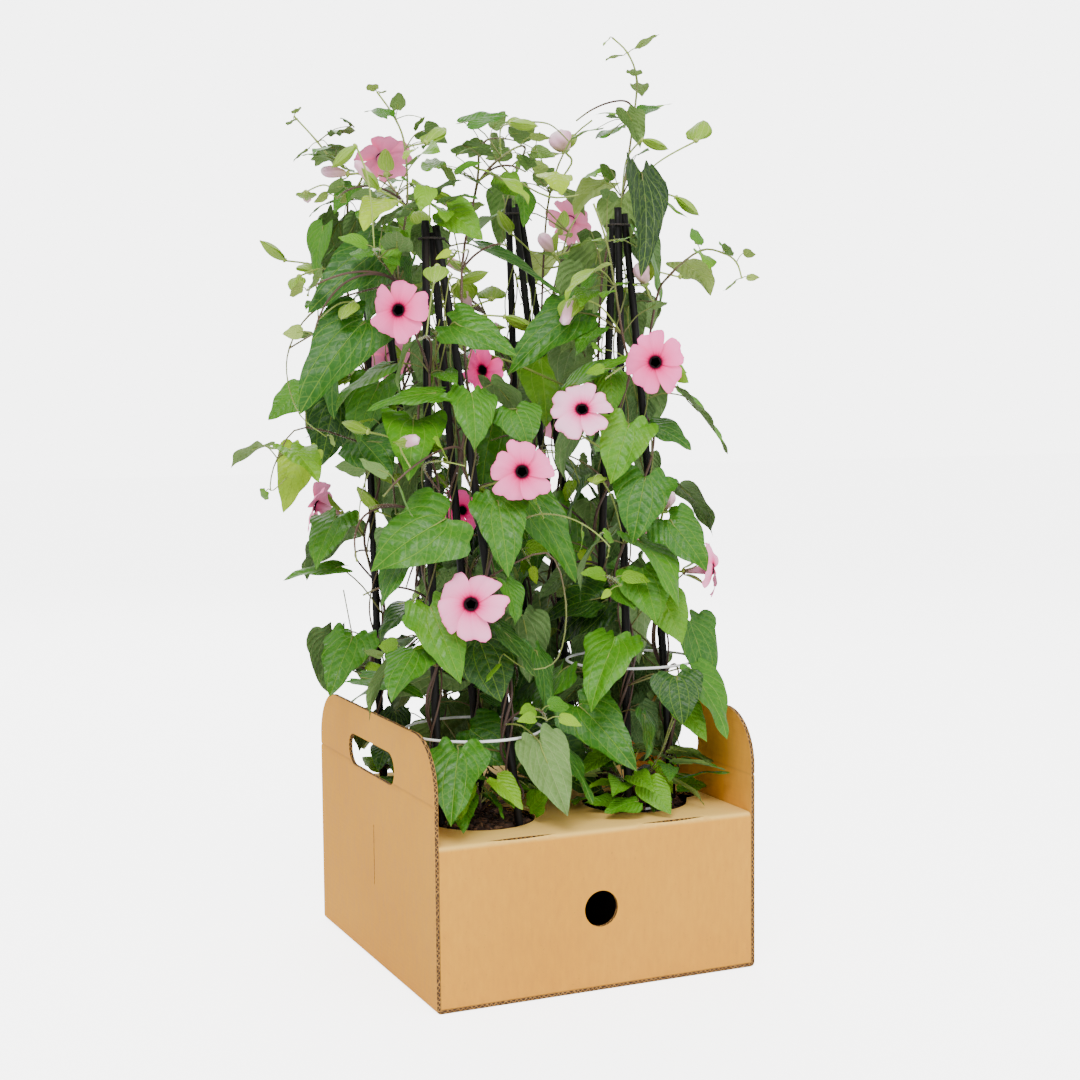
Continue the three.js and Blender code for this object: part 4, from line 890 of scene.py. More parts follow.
def featured_leaf(start, tip, width, droop, face, tone):
    """A listed leaf: its chord is given, and its length follows from its droop."""
    for nearer in (0, 9, -9, 18, -18, 28, -28, 38):
        base, end = seen(add(start, (0, nearer, 0))), seen(add(tip, (0, nearer, 0)))
        chord = sub(end, base)
        straight = unit(chord)
        up = across(seen(face or (0, 0.85, 0.55)), straight)
        tilt = droop / 2
        along = unit(add(add((0, 0, 0), straight, math.cos(tilt)), up, math.sin(tilt)))
        length = size(chord) * tilt / math.sin(tilt)
        half = LEAF_HALF if length > 44 else PLAIN_HALF if length > 30 else SMALL_HALF
        for stem, at in nearest_stem(None, base, 12)[:40]:
            knee = add(middle([at, base]), (0, 0, 1), 5)
            stalk = [at, knee, base] if size(sub(base, at)) > 30 else [at, base]
            if try_leaf(blade(base, along, up, length, width, droop=droop, half=half, stalk=stalk, tone=tone),
                        stem.plant):
                return


print("a hoop rests on", [len(hoop.rests) for hoop in HOOPS], "leaf stalks")

# %% [markdown]
# ## Growth: leaf pairs
# This species grows its leaves in pairs, one to either side of a node. Each leaf draws its own
# length, swing and droop, and tries again a little turned and smaller where it has no room.


# %% Growth: leaf pairs
def leaf_pair(stem, k):
    """Two leaves at a node, one to either side, smaller and paler towards a free end's tip."""
    at, plant = stem.line[k], stem.plant
    share = (at[2] - SHELF) / (plant.top[2] - SHELF)
    axis = add((*plant.pot, 0), sub(plant.top, (*plant.pot, 0)), share)
    out = math.atan2(at[1] - axis[1], at[0] - axis[0])
    free = k >= stem.free
    tipward = (k - stem.free) / max(1, len(stem.line) - stem.free) if free else 0
    for side in (-1, 1):
        swing, rise, reach, long = draw(35, 95), draw(0, 40), draw(22, 48), draw(54, 82)
        wide, dip, lean, droop = draw(0.72, 0.95), draw(18, 62), draw(-25, 25), draw(0.4, 0.9)
        young = 0.62 - 0.3 * tipward if free else 1 - 0.25 * share
        for tries in range(7):
            nudge = (1 if tries % 2 else -1) * math.ceil(tries / 2) * 14
            turn = out + math.radians(side * swing + nudge)
            small = young * (1 - 0.035 * tries)
            if long * small < LEAST:
                break
            base = add(at, polar(turn, math.radians(rise + tries)), reach * small)
            heading = turn + math.radians(lean * 0.5)
            along = polar(heading, math.radians(-dip * (0.4 if free else 1)))
            face = add((0, 0, 1), polar(heading + math.radians(lean)), 0.35)
            tone = 0.25 + 0.4 * share * share + (0.25 if free else 0) + (lean / 25) * 0.12
            if try_leaf(blade(base, along, face, long * small, long * small * wide, droop=droop,
                              stalk=[at, base], tone=tone), plant):
                break


for hoop in HOOPS:
    for degrees in hoop.rests:
        hoop_leaf(hoop, degrees)
for entry in LEAVES:
    featured_leaf(*entry)
for stem in stems:
    for k in stem.nodes:
        leaf_pair(stem, k)
print(len(leaves), "leaves as in the frame")

# %% [markdown]
# ## What a leaf may hide
# A real plant has several times as many leaves as its outline needs, but a grower tucks them in:
# behind the sticks, away from the flowers, and inside a slim outline with a few lanes of daylight.
# Each of these rules is a small test of how far an outline reaches as seen from the corner.

# %% What a leaf may hide
MARGIN = 3.5  # how far growth may pass the frame's box


def inside_box(shape):
    """Whether it stays in the frame's box, apart from a small margin."""
    return all(BOX[0][k] - MARGIN < p[k] < BOX[1][k] + MARGIN for p in shape.outline for k in range(3))


def seen_reach(outline):
    """An outline's left and right, lowest and highest, and nearest reach, as seen from the corner."""
    right, near = zip(*[from_corner(p) for p in outline])
    heights = [p[2] for p in outline]
    return min(right), max(right), min(heights), max(heights), max(near)


def hides_stick(outline):
    """Whether it hangs before a stick."""
    left, right, foot, head, near = seen_reach(outline)
    z = (foot + head) / 2
    for plant in PLANTS:
        for i in range(3):
            if SHELF < z < plant.top[2]:
                at, depth = from_corner(stick_at(plant, i, z))
                if left - 2 < at < right + 2 and near > depth:
                    return True
    return False


def hides_flower(outline):
    """Whether it hangs before an open flower."""
    left, right, foot, head, near = seen_reach(outline)
    for flower in flowers:
        if flower.bud is None:
            at, depth = from_corner(flower.throat)
            reach, z = flower.diameter * 0.4, flower.throat[2]
            beside = left > at + reach or right < at - reach or foot > z + reach or head < z - reach
            if near > depth and not beside:
                return True
    return False


print("a flower's middle is seen at", [round(v) for v in from_corner(flowers[0].throat)])

# %% [markdown]
# ## Lanes and limits
# Between the wigwams some daylight stays open, and the group stays slim above its carton, or it wouldn't
# fit on a trolley. The pot holes in front stay open too, because the soil in them should be seen.

# %% Lanes and limits
LANES = [(-150, -92, 262, 372), (-47, 26, 488, 562), (-45, 30, 372, 436)]  # left, right, low, high
LIMITS = [(470, -172, 110), (380, -190, 106), (200, -150, 124)]  # above this height, how far left and right


def shuts_lane(outline):
    """Whether it would close one of the lanes of daylight between the wigwams."""
    left, right, foot, head, _ = seen_reach(outline)
    return any(left < b and right > a and foot < d and head > c for a, b, c, d in LANES)


def too_wide(outline):
    """Whether it reaches out of the group's slim outline, or hangs before a side panel."""
    left, right, foot, head, _ = seen_reach(outline)
    if any(abs(p[0]) > WIDTH / 2 - 2 and p[2] < SIDE_TOP - 8 for p in outline):
        return True
    for least, leftmost, rightmost in LIMITS:
        if (foot + head) / 2 > least:
            return left < leftmost or right > rightmost
    return False


def before_pot(outline, plant):
    """Whether a leaf hangs before the open hole of a front pot."""
    *_, foot, _, near = seen_reach(outline)
    return plant.pot[1] < 0 and foot < 212 and near > from_corner(plant.pot)[1] + 8


print(len(LANES), "lanes of daylight stay open, and the outline is slim above", LIMITS[-1][0], "mm")

# %% [markdown]
# ## Inner leaves
# Each inner leaf looks for a free place at a random spot round its plant's
# axis, big ones first, and takes it only if it runs into nothing. They
# draw from a drawer of their own, so the frame's leaves stay as they are.

# %% Inner leaves
spare = drawer(4711)


def spare_leaf(plant, turn, base, long, young):
    """One more leaf near a base point, on the nearest stem that can carry it."""
    heading = turn + math.radians(spare(-45, 45))
    along = polar(heading, -math.radians(spare(5, 70)) * (1 - young) + young * spare(-0.6, 0.7))
    face = add((0, 0, 1), polar(heading + math.radians(spare(-75, 75))), spare(0.2, 1.1))
    wide, droop, tone, tucked = spare(0.7, 0.95), spare(0.4, 0.9), spare(-0.18, 0.18), spare(0, 1) < 0.9
    bright = 0.34 if spare(0, 1) < 0.3 else 0.14
    for stem, at in nearest_stem(plant, base, 4 * (1 - young))[:3]:
        if size(sub(at, base)) > 62 - 26 * young:
            return False
        paler = 0.3 * max(0, (at[2] - 250) / 400) * (1 - young)
        leaf = blade(base, along, face, long, long * wide * (1 - 0.2 * young), droop=droop, stalk=[at, base],
                     tone=0.22 + tone + paler + (bright + 0.1) * young,
                     half=LEAF_HALF if long > 50 else PLAIN_HALF)
        shape = leaf_shape(leaf)
        outline = shape.outline
        if hides_flower(outline) or too_wide(outline) or tucked and not young and before_pot(outline, plant):
            return False
        if shuts_lane(outline) or tucked and at[2] > 160 and hides_stick(outline):
            return False
        if inside_box(shape) and try_leaf(leaf, plant, clear=0.5):
            return True
    return False


def fill_plant(plant, tries, spread, low, high, sizes, young=0):
    """Tries for many leaves between two heights, and says how many found a place."""
    grown = 0
    for _ in range(tries):
        z = low + (high - low) * spare(0, 1) ** (1 if young else 1.15)
        share = (z - SHELF) / (plant.top[2] - SHELF)
        turn = spare(0, 2 * math.pi)
        far = spread * (1 - 0.35 * min(share, 1)) * math.sqrt(spare(0.03, 1))
        long = spare(*sizes) * (1 - 0.15 * share * (1 - young))
        base = add(add(axis_at(plant, min(share, 1.05)), (0, 0, 1), z), polar(turn), far)
        grown += spare_leaf(plant, turn, base, long, young)
    return grown


TRIES = {"front_left": (620, 60), "front_right": (760, 64), "back_left": (440, 60), "back_right": (520, 66)}
for plant in PLANTS:
    tries, spread = TRIES[plant.name]
    big = fill_plant(plant, tries, spread, 150, plant.top[2] + 10, (52, 84))
    small = fill_plant(plant, tries, spread, 128, plant.top[2] + 10, (30, 52))
    print(plant.name, big, "big and", small, "small inner leaves")

# %% [markdown]
# ## Loose shoots
# Between the wigwams slender shoots reach out, arch over and curl back. Each walks a few
# steps from a stem, turning a little at every step, and is kept only if it runs into nothing.

# %% Loose shoots
def loose_shoot(plant):
    """Tries for one shoot, and says how many grew: one or none."""
    parents = [stem for stem in stems if stem.plant is plant and len(stem.line) > 10]
    stem = parents[int(spare(0, len(parents) - 0.01))]
    at = stem.line[int(spare(4, len(stem.line) - 2))]
    heart = axis_at(plant, (at[2] - SHELF) / (plant.top[2] - SHELF))
    turn = math.atan2(at[1] - heart[1], at[0] - heart[0]) + spare(-0.9, 0.9)
    heading, points = unit(add(polar(turn), (0, 0, 1), spare(0.2, 1.3))), [at]
    swerve, sag = spare(-0.5, 0.5), spare(0.15, 0.42)
    for _ in range(int(spare(4, 9))):
        points.append(add(points[-1], heading, spare(11, 15)))
        sideways = (-heading[1], heading[0], 0)
        heading = unit(add(add(heading, sideways, swerve), (0, 0, -1), sag))
    stretched = [(p, q, 0.8) for p, q in zip(points, points[1:])]
    shape = Record(outline=points[1:], faces=[], edges=stretched[1:], stalk=stretched[:1])
    hiding = any(hides_flower(pair) for pair in zip(points, points[1:])) or too_wide(points)
    if not hiding and inside_box(shape) and has_room(shape, plant.name, plant.name, 0.6):
        settle(shape, plant.name)
        old = spare(0, 1) < 0.4
        thick, thin, free = (1.7, 1.2, len(points) - 2) if old else (1.4, 0.9, 1)
        stems.append(Record(plant=plant, line=points, thick=thick, thin=thin, nodes=[], free=free))
        return 1
    return 0


for plant in PLANTS:
    print(plant.name, sum(loose_shoot(plant) for _ in range(70)), "loose shoots")

# %% [markdown]
# ## Bud pods
# Before a bud opens, its two bracts close round it like a pod. Many stand
# or hang near the tops, each at the end of a long stalk of its own.

# %% Bud pods
pods = []


def lay_pod(plant):
    """Tries for one pod on its own stalk, and says how many grew: one or none."""
    share, turn, far, long = spare(0.5, 1.14), spare(0, 2 * math.pi), spare(12, 80), spare(20, 31)
    z = SHELF + (plant.top[2] - SHELF) * share
    seat = add(add(axis_at(plant, min(share, 1)), (0, 0, 1), z), polar(turn), far)
    face = unit(add(polar(turn + spare(-1, 1)), (0, 0, 1), spare(-0.9, 1.3)))
    tip, luck = add(seat, face, long * 0.85), spare(0, 1)
    for _, at in nearest_stem(plant, seat, 14)[:12]:
        if size(sub(at, seat)) > 80:
            break
        knee = add(add(middle([at, seat]), (0, 0, 1), 0.1 * size(sub(at, seat))), face, -4)
        shape = Record(outline=[seat, tip], faces=[], edges=[(add(seat, face, 2), tip, long * 0.26)],
                                stalk=[(at, knee, 0.7), (knee, add(seat, face, -1), 0.7)])
        if not hides_flower([at, knee, tip]) and inside_box(shape) and has_room(shape, plant.name, clear=0.5):
            settle(shape, plant.name)
            pods.append(Record(plant=plant, line=[at, knee, seat], seat=seat, face=face, long=long,
                                        luck=luck))
            return 1
    return 0


for plant in PLANTS:
    print(plant.name, sum(lay_pod(plant) for _ in range(26)), "pods")

# %% [markdown]
# ## Young leaves
# Small leaves sit at the tops and at the foot, where the plants are growing, and
# in pairs at the last nodes of the free ends, the paler the nearer to the tip.

# %% Young leaves
for plant in PLANTS:
    top = fill_plant(plant, 360, 66, plant.top[2] - 120, plant.top[2] + 80, (16, 38), 1)
    front = plant.pot[1] < 0
    foot = fill_plant(plant, 520 if front else 110, 43, 124, 164, (22, 44), 0.8)
    print(plant.name, top, "leaves at the top,", foot, "at the foot")


def young_pairs(stem):
    """Small leaves at the bare nodes near the end of a free stem."""
    first = max(stem.free, 1, len(stem.line) - 4)
    for k in range(first, len(stem.line)):
        at, before = stem.line[k], stem.line[k - 1]
        onward = unit(sub(at, before))
        share = (k - first + 1) / (len(stem.line) - first)
        turn, bare = spare(0, 2 * math.pi), spare(0, 1) < 0.4
        if bare:
            continue
        for side in (0, math.pi):
            out = across(polar(turn + side, 0.3), onward)
            long = spare(16, 32) * (1.1 - 0.5 * share)
            along = unit(add(add(out, onward, 0.5), (0, 0, -1), spare(0, 0.5)))
            base = add(at, out, spare(4, 12))
            leaf = blade(base, along, add(onward, (0, 0, 1), 0.8), long, long * spare(0.55, 0.8),
                         droop=spare(0.3, 0.8), stalk=[at, base], tone=0.42 + 0.4 * share, half=SMALL_HALF)
            shape = leaf_shape(leaf)
            low = min(p[2] for p in shape.outline) < SIDE_TOP
            if not (low or hides_flower(shape.outline) or shuts_lane(shape.outline)) and inside_box(shape):
                try_leaf(leaf, stem.plant, clear=0.4)


before_young = len(leaves)
for stem in stems:
    young_pairs(stem)
print(len(leaves) - before_young, "young leaves,", len(leaves), "leaves in all")

# %% [markdown]
# ## From shapes to meshes
# A Skin gathers points, triangles and three facts that the materials read: the place on the blade or tube
# (as UV), a tone from old and dark to young and pale, and a chance value that makes each leaf its own.


# %% From shapes to meshes
class Skin:
    def __init__(self):
        self.points, self.faces, self.uv, self.tone, self.luck, self.count = [], [], [], [], [], 0

    def add(self, points, faces, uv, tone, luck=0.5):
        n = len(points)
        self.points.append(np.asarray(points, float))
        self.faces.append(np.asarray(faces, int).reshape(-1, 3) + self.count)
        self.uv.append(np.asarray(uv, float))
        self.tone.append(np.broadcast_to(tone, n))
        self.luck.append(np.broadcast_to(luck, n))
        self.count += n


def piece(name, slot, parts, *nodes):
    """Makes one mesh object from skins and their materials; it rides on the body and stands for CAD nodes."""
    mesh, start, gathered = bpy.data.meshes.new(name), 0, []
    for index, (skin, material) in enumerate(parts):
        mesh.materials.append(material)
        gathered.append((np.concatenate(skin.faces) + start, np.full(sum(map(len, skin.faces)), index)))
        start += skin.count
    skins = [skin for skin, _ in parts]
    points = np.concatenate([p for skin in skins for p in skin.points]) / 1000
    faces = np.concatenate([f for f, _ in gathered])
    mesh.vertices.add(len(points))
    mesh.vertices.foreach_set("co", points.ravel())
    mesh.loops.add(faces.size)
    mesh.loops.foreach_set("vertex_index", faces.ravel())
    mesh.polygons.add(len(faces))
    mesh.polygons.foreach_set("loop_start", np.arange(0, faces.size, 3))
    mesh.polygons.foreach_set("material_index", np.concatenate([m for _, m in gathered]))
    mesh.polygons.foreach_set("use_smooth", np.ones(len(faces), bool))
    mesh.update(calc_edges=True)
    uv = np.concatenate([u for skin in skins for u in skin.uv])
    mesh.uv_layers.new(name="blade").data.foreach_set("uv", uv[faces.ravel()].ravel())
    for label in ("tone", "luck"):
        values = np.concatenate([v for skin in skins for v in getattr(skin, label)])
        mesh.attributes.new(label, "FLOAT", "POINT").data.foreach_set("value", values)
    mesh.validate()
    thing = bpy.data.objects.new(name, mesh)
    bpy.context.scene.collection.objects.link(thing)
    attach(thing, "root")
    if nodes:
        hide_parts(*nodes)
    print(f"{name}: {len(faces)} triangles")
    return thing


print("a piece stores", ", ".join(name for name in vars(Skin())))

# %% [markdown]
# ## Lines and tubes
# Grown lines have few points, so a curve is drawn through them, and a tube round it. The tube's
# section is carried along without twisting, and its closed ends keep every mesh watertight.


# %% Lines and tubes
def smooth_line(points, steps):
    """A Catmull-Rom curve through points, as an array."""
    p = np.array([points[0], *points, points[-1]], float)
    t = np.linspace(0, 1, steps, endpoint=False)[:, None]
    parts = []
    for a, b, c, d in zip(p, p[1:], p[2:], p[3:]):
        parts.append(0.5 * (2 * b + (c - a) * t + (2 * a - 5 * b + 4 * c - d) * t**2
                            + (3 * b - a - 3 * c + d) * t**3))
    return np.concatenate([*parts, p[-1:]])


def grid_faces(rows, columns, ring=False):
    """Triangles of a grid of rows; with ring its last column joins its first."""
    i, k = np.meshgrid(np.arange(rows - 1), np.arange(columns if ring else columns - 1), indexing="ij")
    a, b = i * columns + k, i * columns + (k + 1) % columns
    a, b = a.ravel(), b.ravel()
    return np.concatenate([np.stack([a, b, b + columns], 1), np.stack([a, b + columns, a + columns], 1)])


def add_tube(skin, line, radius, sides, tone, luck=0.5, closed=False):
    """A tube along a line; radius and tone are numbers or one value per point."""
    line = np.asarray(line, float)
    n = len(line)
    onward = np.roll(line, -1, 0) - np.roll(line, 1, 0) if closed else np.gradient(line, axis=0)
    onward /= np.linalg.norm(onward, axis=1)[:, None]
    side = np.zeros_like(line)
    start = np.array([0, 0, 1.0]) if abs(onward[0][2]) < 0.9 else np.array([1.0, 0, 0])
    for i in range(n):
        start = start - onward[i] * (start @ onward[i])
        start /= np.linalg.norm(start)
        side[i] = start
    up = np.cross(onward, side)
    turn = np.linspace(0, 2 * math.pi, sides, endpoint=False)
    r = np.broadcast_to(radius, n)[:, None, None]
    rings = line[:, None] + r * (side[:, None] * np.cos(turn)[:, None] + up[:, None] * np.sin(turn)[:, None])
    run = np.concatenate([[0], np.cumsum(np.linalg.norm(np.diff(line, axis=0), axis=1))])
    uv = np.stack(np.broadcast_arrays(turn[None] / (2 * math.pi), run[:, None]), -1).reshape(-1, 2)
    faces, last = grid_faces(n, sides, ring=True), (n - 1) * sides
    if closed:
        k = np.arange(sides)
        nxt = (k + 1) % sides
        seam = [np.stack([last + k, last + nxt, nxt], 1), np.stack([last + k, nxt, k], 1)]
        faces = np.concatenate([faces, *seam])
    else:
        caps = [[0, k + 1, k] for k in range(1, sides - 1)]
        caps += [[last, last + k, last + k + 1] for k in range(1, sides - 1)]
        faces = np.concatenate([faces, caps])
    skin.add(rings.reshape(-1, 3), faces, uv, np.repeat(np.broadcast_to(tone, n), sides), luck)
    return line, side, up


print("a curve through 4 points:", len(smooth_line([(0, 0, 0), (9, 0, 0), (9, 9, 0), (9, 9, 9)], 5)), "points")


# %% [markdown]
# ## Mixing materials
# Little helpers keep the node trees readable: one makes a node with its values, others do a sum, a smooth
# change, a colour ramp and a mix. Colours are written as the eye sees them and turned into linear light.


# %% Mixing materials
def shade(red, green, blue):
    """A display colour from 0 to 255 as linear light."""
    linear = [((v / 255 + 0.055) / 1.055) ** 2.4 if v > 10 else v / 255 / 12.92 for v in (red, green, blue)]
    return (*linear, 1)


def feed(tree, socket, value):
    """Links an output to a socket, or gives the socket a plain value."""
    if isinstance(value, bpy.types.NodeSocket):
        tree.links.new(value, socket)
    else:
        socket.default_value = value


def node(tree, kind, values=(), **settings):
    """A shader node with its settings, its inputs fed from values."""
    made = tree.nodes.new("ShaderNode" + kind)
    for key, value in settings.items():
        setattr(made, key, value)
    for key, value in dict(values).items():
        feed(tree, made.inputs[key], value)
    return made


def calc(tree, operation, a, b=0.0, clamp=False):
    return node(tree, "Math", {0: a, 1: b}, operation=operation, use_clamp=clamp).outputs[0]


def fade(tree, value, low, high, to_low=0.0, to_high=1.0):
    """Goes smoothly from one value to another as the input goes from low to high."""
    values = {"Value": value, "From Min": low, "From Max": high, "To Min": to_low, "To Max": to_high}
    return node(tree, "MapRange", values, interpolation_type="SMOOTHSTEP").outputs[0]


def ramp(tree, factor, *stops):
    """A colour ramp from stops: a place, then red, green and blue."""
    made = node(tree, "ValToRGB", {"Fac": factor})
    marks = made.color_ramp.elements
    while len(marks) < len(stops):
        marks.new(0.5)
    for mark, (place, *colour) in zip(marks, stops):
        mark.position, mark.color = place, shade(*colour)
    return made.outputs["Color"]


def blend(tree, factor, a, b):
    """Colour a where the factor is 0, and colour b where it is 1."""
    made = node(tree, "Mix", data_type="RGBA")
    for key, value in (("Factor", factor), ("A", a), ("B", b)):
        socket = next(s for s in made.inputs if s.name == key and (s.type == "RGBA" or key == "Factor"))
        feed(tree, socket, value)
    return next(s for s in made.outputs if s.type == "RGBA")


print("a mid green is", [round(v, 3) for v in shade(110, 123, 76)[:3]], "in linear light")

# %% [markdown]
# ## Facts from the mesh
# Each piece stores where a point lies on its blade or tube, how young it is, and a chance
# value. These three functions fetch such a fact, or let noise push a value up and down.


# %% Facts from the mesh
def fact(tree, name):
    """A fact that a piece stores: its tone or its luck."""
    return node(tree, "Attribute", attribute_name=name, attribute_type="GEOMETRY").outputs["Fac"]


def on_blade(tree):
    """The place that a piece stores: X runs across a blade, tube or board, and Y along it."""
    return node(tree, "SeparateXYZ", {"Vector": node(tree, "UVMap", uv_map="blade").outputs[0]}).outputs


def vary(tree, value, noise, amount):
    """A value that noise pushes up and down by half the amount."""
    return calc(tree, "ADD", value, calc(tree, "MULTIPLY", calc(tree, "SUBTRACT", noise, 0.5), amount))


print("facts in a mesh: the place on a blade or along a tube, tone and luck")

# %% [markdown]
# ## Making groups and materials
# An effect that several materials share is a node group: built once, with named inputs and outputs, and
# placed in each material with its own values. A material itself is begun, gets its colour, roughness and
# relief from the nodes that the cell makes, and is finished by wiring these into a Principled shader.


# %% Making groups and materials
def new_group(name, inputs, outputs):
    """A node group's tree, what it is given, and what it gives."""
    tree = bpy.data.node_groups.new(name, "ShaderNodeTree")
    for label, kind, value in inputs:
        tree.interface.new_socket(label, in_out="INPUT", socket_type="NodeSocket" + kind).default_value = value
    for label, kind in outputs:
        tree.interface.new_socket(label, in_out="OUTPUT", socket_type="NodeSocket" + kind)
    return tree, tree.nodes.new("NodeGroupInput").outputs, tree.nodes.new("NodeGroupOutput").inputs


def use(tree, group, **values):
    """A group placed in a material, with its own values."""
    return node(tree, "Group", values, node_tree=group).outputs


def new_material(name):
    material = bpy.data.materials.new(name)
    material.use_nodes = True
    return material, material.node_tree


def finish_material(material, colour, roughness, height=None, strength=0.3, depth=0.001, **plain):
    """Wires a colour, a roughness and a relief into the Principled shader."""
    tree = material.node_tree
    shader = tree.nodes["Principled BSDF"]
    feed(tree, shader.inputs["Base Color"], colour)
    feed(tree, shader.inputs["Roughness"], roughness)
    if height is not None:
        bump = node(tree, "Bump", {"Height": height, "Strength": strength, "Distance": depth})
        tree.links.new(bump.outputs[0], shader.inputs["Normal"])
    for key, value in plain.items():
        shader.inputs[key.replace("_", " ")].default_value = value
    print(f"{material.name}: {len(tree.nodes)} nodes")


# %% [markdown]
# ## Grain
# Nothing grown or made is one even colour. The grain group is noise over
# the object's own space, drawn out along an axis where Stretch says so:
# cloudy in a leaf, streaks in a cane, fibres in a board, crumbs in soil.

# %% Grain
grain, given, result = new_group(
    "grain",
    [("Place", "Vector", (0, 0, 0)), ("Stretch", "Vector", (1, 1, 1)), ("Scale", "Float", 100.0),
     ("Detail", "Float", 3.0), ("Roughness", "Float", 0.55)],
    [("Grain", "Float")],
)
drawn_out = node(grain, "VectorMath", {0: given["Place"], 1: given["Stretch"]}, operation="MULTIPLY").outputs[0]
sizes = {key: given[key] for key in ("Scale", "Detail", "Roughness")}
noise = node(grain, "TexNoise", {"Vector": drawn_out, **sizes})
grain.links.new(noise.outputs["Fac"], result["Grain"])


def speckle(tree, scale, detail=3.0, stretch=(1, 1, 1), rough=0.55):
    """The grain group in a material."""
    place = node(tree, "TexCoord").outputs["Object"]
    return use(tree, grain, Place=place, Stretch=stretch, Scale=scale, Detail=detail, Roughness=rough)["Grain"]


print("grain:", len(grain.nodes), "nodes")

# %% [markdown]
# ## Veins
# Leaves and the leafy bracts under the flowers share one set of veins: a mid rib, two pairs of strong
# veins that fan out from the stalk, side veins that leave the mid rib at even steps, and a fine net.

# %% Veins
veins, given, result = new_group(
    "veins",
    [("Across", "Float", 0.0), ("Along", "Float", 0.0), ("Step", "Float", 0.15), ("Slant", "Float", 0.5),
     ("Thickness", "Float", 0.022)],
    [("Veins", "Float"), ("Quilt", "Float")],
)
aside = calc(veins, "ABSOLUTE", given["Across"])
rib = fade(veins, aside, given["Thickness"], 0.0)
rest = calc(veins, "SUBTRACT", 1.0, given["Along"], clamp=True)
bow = calc(veins, "MULTIPLY", calc(veins, "POWER", calc(veins, "MAXIMUM", given["Along"], 0.0), 0.5),
           calc(veins, "POWER", rest, 0.7))
arcs = []
for share in (0.78, 1.62):
    off = calc(veins, "ABSOLUTE", calc(veins, "SUBTRACT", aside, calc(veins, "MULTIPLY", bow, share)))
    arcs.append(fade(veins, off, given["Thickness"], 0.0))
strong = calc(veins, "MAXIMUM", rib, calc(veins, "MULTIPLY", calc(veins, "MAXIMUM", *arcs), 0.75))
curved = calc(veins, "POWER", aside, 1.35)
slanted = calc(veins, "SUBTRACT", given["Along"], calc(veins, "MULTIPLY", curved, given["Slant"]))
steps = calc(veins, "FRACT", calc(veins, "DIVIDE", slanted, given["Step"]))
from_line = calc(veins, "ABSOLUTE", calc(veins, "SUBTRACT", steps, 0.5))
lateral = calc(veins, "MULTIPLY", fade(veins, from_line, 0.08, 0.0), 0.36)
spots = node(veins, "CombineXYZ", {"X": calc(veins, "MULTIPLY", given["Across"], 0.45), "Y": given["Along"]})
net = node(veins, "TexVoronoi", {"Vector": spots.outputs[0], "Scale": 13.0}, feature="DISTANCE_TO_EDGE")
net = net.outputs["Distance"]
every = calc(veins, "MAXIMUM", calc(veins, "MAXIMUM", strong, lateral), fade(veins, net, 0.07, 0.0, 0.0, 0.26))
veins.links.new(every, result["Veins"])
pillow = calc(veins, "ADD", fade(veins, from_line, 0.0, 0.5, 0.0, 0.55), fade(veins, net, 0.0, 0.35, 0.0, 0.22))
veins.links.new(calc(veins, "SUBTRACT", pillow, calc(veins, "MULTIPLY", strong, 0.8)), result["Quilt"])
print("veins:", len(veins.nodes), "nodes")

# %% [markdown]
# ## Leaf green
# Old leaves are deep green, young ones yellow-green, and each leaf differs a little. The underside
# is paler and matt, with the veins standing out; a thin gloss on top catches the soft lamps.

# %% Leaf green
leaf_green, tree = new_material("leaf green")
place = on_blade(tree)
lines = use(tree, veins, Across=place["X"], Along=place["Y"])
aged = vary(tree, vary(tree, fact(tree, "tone"), fact(tree, "luck"), 0.32), speckle(tree, 55.0), 0.22)
top_green = ramp(tree, aged, (0.0, 12, 46, 3), (0.3, 34, 90, 3), (0.55, 66, 126, 4),
                 (0.8, 116, 164, 8), (1.0, 162, 194, 22))
top_green = blend(tree, calc(tree, "MULTIPLY", lines["Veins"], 0.38), top_green, shade(160, 200, 70))
under_green = ramp(tree, aged, (0.0, 76, 112, 60), (0.6, 106, 140, 70), (1.0, 160, 184, 84))
under_green = blend(tree, calc(tree, "MULTIPLY", lines["Veins"], 0.55), under_green, shade(170, 190, 128))
under = node(tree, "NewGeometry").outputs["Backfacing"]
leaf_colour = blend(tree, under, top_green, under_green)
leaf_gloss = fade(tree, speckle(tree, 160.0), 0.3, 0.7, 0.36, 0.5)
leaf_gloss = calc(tree, "ADD", leaf_gloss, calc(tree, "MULTIPLY", under, 0.25))
finish_material(leaf_green, leaf_colour, leaf_gloss, lines["Quilt"], 0.45, 0.0015, Specular_IOR_Level=0.34)

# %% [markdown]
# ## Leaf outline
# A leaf is a fan of rings round a point on its mid rib. The outer ring follows the arrow
# shape with its shallow teeth; the inner rings let the blade droop, fold and wave.

# %% Leaf outline
FINE = (29, (0.2, 0.42, 0.63, 0.82, 0.93, 1.0))  # points along half an outline, and rings, for big leaves
PLAIN = (15, (0.3, 0.6, 0.85, 1.0))  # the same for small ones
HEART = np.array([0.2, 0.0])
ARROW = [(-0.12, 0.28), (-0.145, 0.55), (-0.05, 0.86), (0.06, 0.98), (0.18, 0.9), (0.32, 0.78), (0.5, 0.64),
         (0.7, 0.43), (0.88, 0.18)]
SHIELD = [(-0.1, 0.25), (-0.14, 0.55), (-0.04, 0.86), (0.09, 0.99), (0.27, 0.93), (0.48, 0.75), (0.68, 0.5),
          (0.87, 0.22)]
EGG = [(-0.02, 0.3), (0.03, 0.6), (0.14, 0.88), (0.32, 0.96), (0.52, 0.83), (0.72, 0.56), (0.88, 0.27)]


